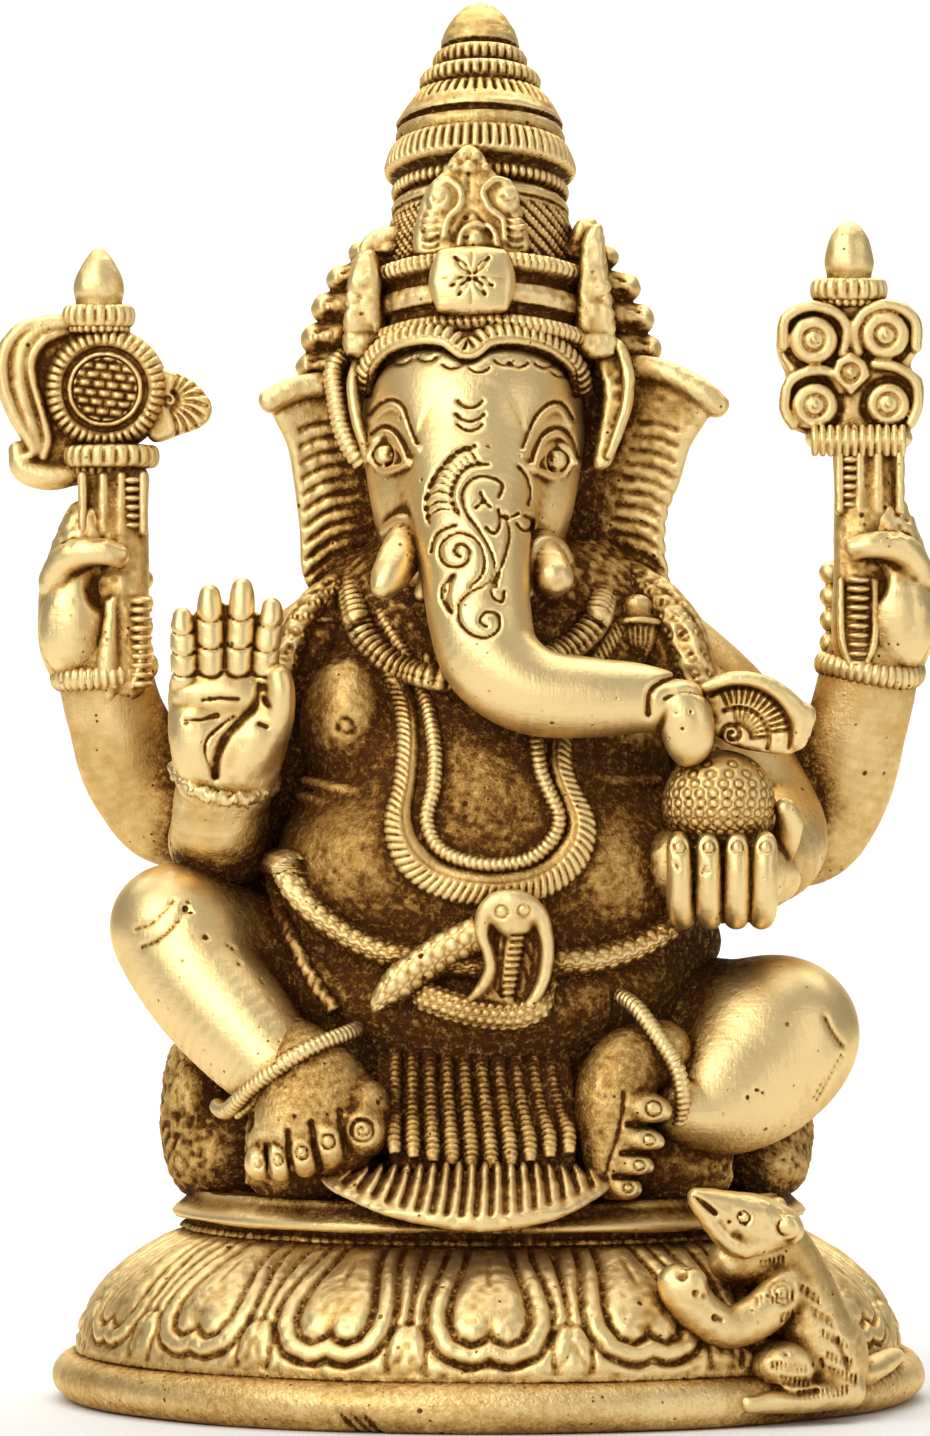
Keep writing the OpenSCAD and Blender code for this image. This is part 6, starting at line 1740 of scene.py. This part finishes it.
def star_plaque():
    clay = Clay([-10, -22, 0.5], [8, -12, 14.5], 0.24)
    outline = smooth([[-6.2, 3.2], [-4, 2.9], [-1.2, 3.2], [1.6, 2.9], [3.9, 3.2], [4.2, 7.4], [3.9, 11.6],
                      [1.6, 12.0], [-1.2, 11.7], [-4.0, 12.0], [-6.2, 11.6], [-6.5, 7.4]], 3, closed=True)
    clay.slab(outline, -18.8, -14, 1.0, 0.5)
    clay.ball([-1.2, -17.4, 7.4], [6.2, 2.4, 5.2], blend=1.4)
    centre = np.array([-1.2, 7.6])
    for angle, reach in ((50, 3.7), (130, 3.7), (205, 3.2), (335, 3.2), (235, 3.2), (305, 3.2)):
        way = np.array([math.cos(math.radians(angle)), math.sin(math.radians(angle))])
        side = np.array([-way[1], way[0]])
        for bend in (-0.4, 0.4):
            clay.engrave([smooth([centre + way * 0.5, centre + way * reach * 0.55 + side * bend,
                                  centre + way * reach], 4)],
                         0.24, 0.36, -24, -14)
    clay.engrave([[[-1.2, 11.0], [-1.3, 3.6]], [[-5.4, 7.3], [-2.6, 7.5]], [[0.2, 7.5], [3.2, 7.3]]], 0.22,
                 0.2, -24, -14)
    piece("star_plaque_pillow", crowned(clay.cast_rough([-1, 0, 7], 0.06, 1.4)), POLISHED, "star_plaque")


def gable_plaque():
    clay = Clay([-12, -20, 11], [9, -9, 31], 0.27)
    outline = smooth([[-9.2, 12.6], [-9.6, 16], [-8.6, 20.4], [-7.2, 23.2], [-5.4, 25.0], [-4.2, 27.0],
                      [-1.9, 29.0], [0.2, 27.8], [1.4, 25.6], [3.0, 23.8], [5.0, 21.6], [6.4, 17.8],
                      [6.9, 13], [3, 12.2], [-5, 12.2]], 4, closed=True)

    def bow(x, z):
        return 0.03 * (x + 1.2) ** 2 + (z - 12) * 0.09

    clay.slab(outline, -16.4, -12.4, 0.9, 0.5, bow=bow)
    for line in ([[-6.4, 22.6], [-4.6, 23.2], [-2.9, 21.6], [-3.0, 19.2], [-4.6, 17.4], [-5.3, 14.6]],
                 [[4.0, 23.0], [2.0, 23.4], [0.4, 21.4], [1.2, 19.0], [3.2, 17.2], [3.6, 14.4]],
                 [[-3.0, 13.2], [-2.6, 15.2], [-0.6, 16.4], [1.6, 15.6], [2.4, 13.2]]):
        clay.limb([[x, -16.3 + bow(x, z), z, 0.62, 0.75] for x, z in line], 4, blend=0.3)
    for x, z, r in ((-5.7, 20.4, 1.9), (3.8, 20.6, 1.9), (-6.6, 16.6, 1.9), (5.0, 16.4, 1.5),
                    (-0.8, 13.8, 1.5)):
        clay.ball([x, -16.0 + bow(x, z), z], [r, 1.3, r * 1.3], blend=0.5)
    for x, z, r in ((-2.6, 27, 0.9), (-0.8, 27, 0.9), (-1.7, 25.2, 1.2), (-3.6, 25.2, 0.8), (0.6, 25.2, 0.8)):
        clay.ball([x, -16.2 + bow(x, z), z], [r, 1.2, r], blend=0.3)
    marks = [arc((-6.0, 20.9), 1.0, 200, 340, 7), arc((4.2, 21.1), 1.0, 200, 340, 7)]
    for side, x in ((-1, -7.6), (1, 5.4)):
        marks += [arc((x + side * -0.4, 18.6 - 1.15 * k), 1.3, 215, 325, 7, 0.7) for k in range(5)]
    clay.engrave(marks, 0.25, 0.4, -22, -10)
    clay.engrave([smooth([[-4.0, 14], [-1.2, 18.4], [1.6, 14.6]], 4), [[-1.7, 24.2], [-1.7, 21.4]]], 0.3, 0.3,
                 -22, -10)
    piece("gable_plaque_carved", crowned(clay.cast_rough([-1, 0, 20], 0.09, 1.0)), ANTIQUE, "gable_plaque")


def crown_body():
    outline = evenly([[9, 12.2], [14.6, 12.2], [14.7, 14], [14.3, 17], [13.6, 20], [12.9, 22.0],
                      [12.5, 22.4], [12.9, 22.8], [12.9, 23.6], [12.4, 24.2], [11.6, 24.8],
                      [9, 24.8]], 0.31, closed=True, dims=2)

    def woven(turn, along, h):
        angle = (turn * 360 + 90 + 180) % 360 - 180
        field = (h > 12.8) & (h < 21.8)
        ropes = ribbed(np.abs(angle) * 0.25 * 0.72 + (h - 12) * 0.85, 2.1, 0.95)
        ropes = ropes + 0.35 * ribbed(np.abs(angle) * 0.25 - (h - 12) * 0.5, 0.8, 0.6)
        hatch = ribbed(angle * 0.25 + h, 1.35, 0.55) + ribbed(angle * 0.25 - h, 1.35, 0.55)
        return np.where(field, np.where(angle > 0, ropes, hatch), 0.0)

    shape = rough_ring(turned(outline, 680, woven), 0.16)
    piece("crown_body_woven", crowned(shape), ANTIQUE, "crown_body")


def crown_rim():
    outline = evenly([[8, 24.6], [11.4, 24.6], [11.5, 27.4], [12.0, 28.0], [13.2, 28.3], [14.0, 29.0],
                      [14.0, 29.8], [13.6, 31.2], [13.0, 32.6], [12.4, 33.1], [11.8, 33.0],
                      [8, 33.0]], 0.34, closed=True, dims=2)

    def fluted(turn, along, h):
        wide = (h > 28.8) & (h < 32.9)
        return np.where(wide, ribbed(turn * 60, 1.0, 0.8) * np.clip((h - 28.8) / 0.8, 0, 1), 0.0)

    rim = rough_ring(turned(outline, 720, fluted), 0.08)
    a = np.linspace(0, 2 * math.pi, 641)[:-1]
    row = np.stack([11.9 * np.cos(a), 11.9 * np.sin(a), np.full(len(a), 26.0)], axis=1)

    def beads(along, angle):
        return ribbed(along, 2 * math.pi * 11.9 / 62, 0.75)

    shape = grouped([rim, cord(row, beads, True, 18, UP, [1.1, 1.15])])
    piece("crown_rim_fluted", crowned(shape), ANTIQUE, "crown_rim")


def crown_top():
    outline = evenly([
        [0.01, 32.4], [11.6, 32.4], [12.2, 33.2], [12.4, 34.2], [12.1, 35.1], [11.2, 35.5], [11.2, 35.9],
        [12.2, 36.1], [12.1, 36.7], [11.3, 38.2], [10.3, 39.7], [9.2, 40.9], [8.2, 41.2], [8.5, 41.6],
        [8.9, 42.2], [8.9, 43.3], [8.4, 44.0], [7.2, 44.3], [6.6, 44.6], [6.9, 45.1], [7.0, 46.3],
        [6.5, 47.2], [5.4, 47.5], [5.2, 47.9], [5.8, 48.3], [5.7, 49.2], [5.0, 51.0], [3.9, 52.8],
        [2.4, 54.3], [0.9, 55.0], [0.01, 55.1]], 0.28, dims=2)

    def tiers(turn, along, h):
        teeth = ribbed(turn * 46, 1.0, 0.85) * np.exp(-(((h - 39.8) / 1.2) ** 4))
        ring_two = ribbed(turn * 40, 1.0, 0.75) * np.exp(-(((h - 42.7) / 1.05) ** 6))
        ring_one = ribbed(turn * 32, 1.0, 0.7) * np.exp(-(((h - 45.7) / 1.05) ** 6))
        wobble = 0.1 * np.sin(2 * math.pi * turn * 3 + h) * (h < 41)
        return teeth + ring_two + ring_one + wobble

    shape = rough_ring(turned(outline, 600, tiers, closed=False), 0.09)
    piece("crown_top_tiers", crowned(shape), ANTIQUE, "crown_top")


# ---------- Mouse ----------

def fur(clay, rows, length=1.1):
    """Rows of short upright ticks; each row is x, z of its two ends and a count."""
    lines = []
    for x0, z0, x1, z1, count in rows:
        for k in range(count):
            t = (k + 0.5) / count
            x, z = x0 + (x1 - x0) * t, z0 + (z1 - z0) * t
            lines.append([[x - 0.05, z + length / 2], [x + 0.1, z - length / 2]])
    clay.engrave(lines, 0.15, 0.4, AHEAD, -30)


def mouse_body():
    clay = Clay([20, -58, 1], [62, -12, 29], 0.31)
    clay.limb([[40.4, -41, 25, 4.4, 4.4], [42.4, -41, 21, 5, 5.4], [44.4, -41, 16, 5.4, 6],
               [46.4, -41, 11, 5.6, 6.4], [48, -40, 6.8, 4.8, 5.6]], blend=1.5)
    clay.ball([48.4, -38, 9], [5, 6, 6.6], blend=1.5)
    clay.ball([41, -46.4, 8.2], [4.7, 3.4, 3.7], blend=0.9)
    clay.limb([[41.4, -45.6, 19, 3.2, 3], [38, -48.4, 15.8, 3.2, 3], [33.6, -50, 14, 3, 2.8],
               [30, -50.8, 15.6, 3.1, 2.9], [27.2, -51, 18.6, 3.2, 3], [26, -50.8, 20.4, 2.6, 2.6]], blend=1)
    clay.ball([28, -52.2, 20], [2.4, 2, 2.6], [0, 30, 0], blend=0.6)
    clay.limb([[50.4, -41.6, 4.4, 2.8, 2.4], [44, -46.6, 3.9, 2.4, 2.2], [39, -49.8, 3.7, 2.1, 1.8],
               [36, -51.4, 3.5, 1.6, 1.4]], face=UP, blend=0.8)
    clay.limb([[49.6, -38, 6.4, 3, 2.4], [52.8, -34, 6.4, 2.4, 2], [55.6, -29.4, 7.2, 2, 1.7],
               [57.4, -24, 7.6, 1.6, 1.4], [58.6, -18, 7.4, 1, 1]], face=UP, blend=0.8)
    clay.limb([[33.8, -44.6, 23, 3.2, 3.4], [37, -43.6, 23.4, 4, 4], [40.4, -42, 24.6, 4.2, 4.2]], blend=1)
    fur(clay, [[37.8, 22.4, 41.4, 23.2, 6], [37, 17.6, 42.6, 18.4, 8], [40.4, 15.2, 42.6, 15.6, 4],
               [39.2, 8.6, 44.4, 8.2, 8], [40.6, 6.6, 44.6, 6.2, 7], [43.2, 19.6, 46.2, 17.4, 6],
               [45, 16.2, 48, 14.2, 6], [46.4, 13, 50.2, 11.2, 7], [47, 10, 51, 8.4, 7],
               [47.4, 7.6, 51.6, 6.2, 7], [43, 4.4, 50.4, 4.8, 11], [46.4, 9, 46.6, 8.4, 2]])
    for radius in (1.75, 1.0):
        clay.punch(clay.front(40.9, 18.9), radius, 0.22, 0.35)
    clay.pits(((26.8, 21.4, 0.75), (28.6, 19, 0.5), (30.4, 20.2, 0.5), (29.8, 18.6, 0.3),
               (31.4, 15.6, 0.55), (32.2, 15.3, 0.4), (27.6, 22.4, 0.4), (37.4, 14.8, 0.25),
               (41.4, 10.2, 0.35)), 0.2)
    clay.engrave([smooth([[36.4, 4.9], [39.6, 5.3], [42.6, 4.6], [45.6, 4.9]], 4)], 0.45, 0.7, AHEAD, -30)
    clay.engrave([smooth([[48.6, 12], [49.6, 9.8], [50.2, 7.6]], 4)], 0.35, 0.5, AHEAD, -30)
    piece("mouse_body_furred", clay.cast_rough([44, -34, 12], 0.08, 1.3), ANTIQUE, "mouse_body")


def mouse_head():
    clay = Clay([24, -56, 19], [46, -33, 37], 0.28)
    clay.limb([[40.2, -42.4, 27, 3.8, 4.4], [37.2, -44.4, 27.8, 4.4, 4.4], [33.6, -46.4, 29.6, 3.2, 3.4],
               [30.4, -48.2, 31.4, 1.9, 2.2], [28.7, -49.2, 32.4, 1.0, 1.2]], blend=0.8)
    clay.limb([[37.6, -44.6, 24.8, 2.2, 3], [34.4, -46.8, 25, 1.6, 2.4], [31, -48.2, 28.2, 1.2, 1.8],
               [28.8, -49, 31.4, 0.8, 1.1]], blend=1.2)
    clay.ball([41.6, -46.4, 27.8], [2.0, 1.3, 1.8], [0, 20, 0], blend=0.3)
    clay.punch([41.6, -47.7, 27.8], 1.3, 0.2, 0.3)
    clay.ball([40.6, -40, 30.4], [1.3, 1.1, 1.2], blend=0.6)
    eye_spot = clay.front(35.6, 29.3)
    clay.ball(eye_spot, [0.8, 0.5, 0.8], blend=0.3)
    clay.punch(eye_spot + [0, -0.3, 0], 0.95, 0.2, 0.4)
    clay.limb([[28.9, -51, 32, 0.3, 1.2], [30.2, -50.8, 31, 0.5, 1.3], [31.6, -50.2, 29.8, 0.4, 1.1]],
              blend=0.3, cut=True)
    clay.pits(((33.5, 28.6, 0.35), (35.1, 29.6, 0.25), (35.8, 28.4, 0.25), (36.1, 29.7, 0.2),
               (34.8, 25.4, 0.2)))
    piece("mouse_head_pointed", clay.cast_rough([36, -40, 28], 0.12, 1.2), POLISHED, "mouse_head")


# ---------- Wear and painted shade: how proud each point is, how buried, and how shaded ---

def blurred(block, half):
    """A block of numbers averaged over boxes of 2 * half + 1 cells, twice each way."""
    width = 2 * half + 1
    for axis in (0, 1, 2, 0, 1, 2):
        pad = [(0, 0)] * 3
        pad[axis] = (half + 1, half)
        total = np.cumsum(np.pad(block, pad), axis=axis, dtype=np.float32)
        high, low = [slice(None)] * 3, [slice(None)] * 3
        high[axis], low[axis] = slice(width, None), slice(0, -width)
        block = (total[tuple(high)] - total[tuple(low)]) / width
    return block


def read(items, field, kind, width):
    """One property of every vertex, edge or triangle, as rows of numbers."""
    values = np.empty(len(items) * width, kind)
    items.foreach_get(field, values)
    return values.reshape(-1, width)


# How much darker each piece is made than its place alone would make it; a negative value makes it lighter.
PIECE_DARKENING = {
    "torso_body": 0.14,
    "right_foot_toes": 0.17,
    "left_foot_toes": 0.15,
    "foot_rim": 0.22,
    "mouse_body_furred": 0.02,
    "garment_pleats": 0.07,
    "garment_hem": 0.02,
    "bolster": 0.08,
    "garment_ground": 0.04,
    "hair_locks": 0.05,
    "left_ear_fan": 0.02,
    "seat_disc": 0.05,
    "shawl_edges": 0.08,
    "shoulder_pendants": 0.08,
    "necklace_collar": 0.07,
    "rope_garland_outer": 0.03,
    "snake_belt_scaled": 0.03,
    "lotus_bell_carved": 0.02,
    "crown_top_tiers": 0.06,
    "crown_headband": -0.05,
    "crown_body_woven": -0.03,
    "gable_plaque_carved": -0.05,
    "boss_emblem_ringed": -0.05,
}

# The middle of the lap, under the belly, where painted shade is darkest, and how far it spreads each way, in
# mm.
LAP_SHADE = np.array([0.0, -34.0, 50.0])
LAP_SHADE_SPREAD = np.array([30.0, 16.0, 15.0])


# Wear and painted shade are worked out on a block of cells whose width in mm is set below. How deep a point
# lies is read just off the surface, and how shut in it is by other parts, which is painted as shade, is read
# further out; both distances are in mm.
WEAR_AND_SHADE_CELL = 0.7
OFF_SURFACE = 0.4
OCCLUSION_REACH = 7.0


def wear_and_shade():
    """Stores on every point how far it stands out from its surroundings, in mm, and how deep it lies, with
    painted shade added to the depth.
    """
    sheets = []
    for obj in pieces:
        mesh = obj.data
        mesh.calc_loop_triangles()
        points = read(mesh.vertices, "co", np.float32, 3) / METRES
        normals = read(mesh.vertices, "normal", np.float32, 3)
        edges = read(mesh.edges, "vertices", np.int32, 2)
        triangles = read(mesh.loop_triangles, "vertices", np.int32, 3)
        ends = np.concatenate([edges[:, 0], edges[:, 1]])
        others = np.concatenate([edges[:, 1], edges[:, 0]])
        degree = np.maximum(np.bincount(ends, minlength=len(points)), 1)
        calm = points.copy()
        for _ in range(8):
            calm = np.stack([np.bincount(ends, calm[others, k], len(points)) / degree for k in range(3)],
                            axis=1)
        relief = ((points - calm) * normals).sum(axis=1)
        sheets.append((mesh, points, normals, triangles, relief, PIECE_DARKENING.get(obj.name, 0.0)))
    everything = np.concatenate([s[1] for s in sheets])
    low = everything.min(axis=0) - 6
    shape = np.ceil((everything.max(axis=0) + 6 - low) / WEAR_AND_SHADE_CELL).astype(int)
    offsets = np.cumsum([0] + [len(s[1]) for s in sheets])
    triangles = np.concatenate([s[3] + at for s, at in zip(sheets, offsets)])
    grid = vdb.FloatGrid.createLevelSetFromPolygons(
        ((everything - low) / WEAR_AND_SHADE_CELL).astype(np.float32), triangles=triangles.astype(np.uint32),
        transform=vdb.createLinearTransform(voxelSize=1.0), halfWidth=3.0)
    block = np.empty(shape, np.float32)
    grid.copyToArray(block, ijk=(0, 0, 0))
    solid = np.clip(0.5 - block, 0, 1)
    fine, broad, wide = blurred(solid, 1), blurred(solid, 5), blurred(solid, 11)
    for mesh, points, normals, _, relief, extra_darkening in sheets:
        q = (points + normals * OFF_SURFACE - low) / WEAR_AND_SHADE_CELL
        depth = 0.5 * (sampled(fine, q) + 0.17) + 0.5 * (sampled(broad, q) + 0.07) + extra_darkening
        # Painted shade: points shut in by other parts are darkened.
        occlusion = sampled(wide, (points + normals * OCCLUSION_REACH - low) / WEAR_AND_SHADE_CELL)
        depth = depth + 0.75 * np.clip(occlusion - 0.20, 0, 0.4)
        # Painted shade in the lap under the belly.
        depth = depth + 0.13 * np.exp(-(((points - LAP_SHADE) / LAP_SHADE_SPREAD) ** 2).sum(axis=1))
        # Painted shade: undersides are darkened, and faces turned towards the back a little.
        depth = depth + 0.16 * np.clip(-normals[:, 2] - 0.1, 0, 1) + 0.06 * np.clip(normals[:, 1] - 0.2, 0, 1)
        for name, values in (("relief", relief), ("depth", depth)):
            mesh.attributes.new(name, "FLOAT", "POINT").data.foreach_set("value", values.astype(np.float32))


# ---------- Studio ----------

def area_light(name, place, aim, size, power, tone=(1.0, 1.0, 1.0)):
    """A rectangular light aimed at a point."""
    data = bpy.data.lights.new(name, "AREA")
    data.shape = "RECTANGLE"
    data.size, data.size_y = size
    data.energy = power
    data.color = tone
    light = bpy.data.objects.new(name, data)
    light.location = place
    light.rotation_euler = (Vector(aim) - Vector(place)).to_track_quat("-Z", "Y").to_euler()
    bpy.context.scene.collection.objects.link(light)


def backdrop(name, outline, half_width, material):
    """A sheet of paper: rows of y and z carried across from -half_width to half_width in x, in metres."""
    points = [(x, y, z) for x in (-half_width, half_width) for y, z in outline]
    n = len(outline)
    mesh = bpy.data.meshes.new(name)
    mesh.from_pydata(points, [], [(k, n + k, n + k + 1, k + 1) for k in range(n - 1)])
    mesh.shade_smooth()
    mesh.materials.append(material)
    sheet = bpy.data.objects.new(name, mesh)
    bpy.context.scene.collection.objects.link(sheet)


def studio():
    """The camera, the pale room and the lights."""
    scene = bpy.context.scene
    data = bpy.data.cameras.new("front_camera")
    data.sensor_width = 36.0
    data.lens = 206.8
    data.clip_end = 20.0
    camera = bpy.data.objects.new("front_camera", data)
    camera.location = (-0.0034, -1.2, 0.105)
    camera.rotation_euler = (math.radians(89.7), 0.0, 0.0)
    scene.collection.objects.link(camera)
    scene.camera = camera

    scene.view_settings.view_transform = "Standard"
    world = bpy.data.worlds.new("pale_room")
    world.use_nodes = True
    world.node_tree.nodes["Background"].inputs["Color"].default_value = (1.0, 0.99, 0.97, 1.0)
    world.node_tree.nodes["Background"].inputs["Strength"].default_value = 0.32
    scene.world = world

    paper = Shader("pale_paper")
    shader = paper.node("ShaderNodeBsdfPrincipled", {"Base Color": (0.86, 0.86, 0.85, 1.0), "Roughness": 0.9})
    paper.node("ShaderNodeOutputMaterial", {"Surface": shader.outputs["BSDF"]})
    curve = [(1.2 + 0.5 * math.sin(a), 0.5 - 0.5 * math.cos(a)) for a in np.linspace(0, math.pi / 2, 12)]
    backdrop("pale_floor", [(-4.0, 0.0), (1.2, 0.0)], 4.0, paper.material)
    backdrop("pale_wall", curve + [(1.7, 2.6)], 0.9, paper.material)

    centre = (0.0, 0.0, 0.1)
    area_light("key_light", (-0.65, -0.80, 0.80), centre, (1.0, 1.0), 9.6, (1.0, 0.97, 0.92))
    area_light("front_light", (-0.20, -1.80, 0.50), centre, (1.2, 0.8), 3.6, (1.0, 0.98, 0.95))
    area_light("fill_light", (0.90, -0.60, 0.35), centre, (0.6, 1.0), 2.0, (1.0, 0.98, 0.95))
    area_light("top_light", (0.0, 0.1, 1.0), centre, (0.8, 0.8), 3.2)
    area_light("backdrop_light", (0.0, 0.7, 1.3), (0.0, 1.4, 0.2), (2.4, 0.6), 22.0)


# ---------- Building ----------

plinth_rim()
lotus_bell()
neck_collar()
seat_plate()
cushion()
body = torso()
garlands(body)
necklace(body)
pendants(body)
shawl()
snake(body)
cobra_hood(body)
right_leg()
right_foot()
left_leg()
left_foot()
anklets()
pleats()
hem()
garment_fill()
arms()
bangles()
gripping_hand("upper_right_fist", "upper_right_hand", -1, -56.6, 106.0)
gripping_hand("upper_left_fist", "upper_left_hand", 1, 56.0, 107.0)
baton("right_baton_beaded", "right_baton", -52.6, 100.4, -1, 8, True)
baton("left_baton_beaded", "left_baton", 53.4, 103.4, 1, 8, False)
open_palm()
sweet_in_hand()
disc_emblem()
finial("right_finial_bud", "disc_finial", -56.6, 155.4, 5.3, 3.7, True)
flame_scroll()
emblem_leaf()
boss_emblem()
finial("left_finial_bud", "boss_finial", 52.4, 159.2, 5.6, 3.6, False)
head()
tusks()
trunk_leaf()
ears()
ear_straps()
hair()
headband()
star_plaque()
gable_plaque()
crown_body()
crown_rim()
crown_top()
mouse_body()
mouse_head()
wear_and_shade()
studio()
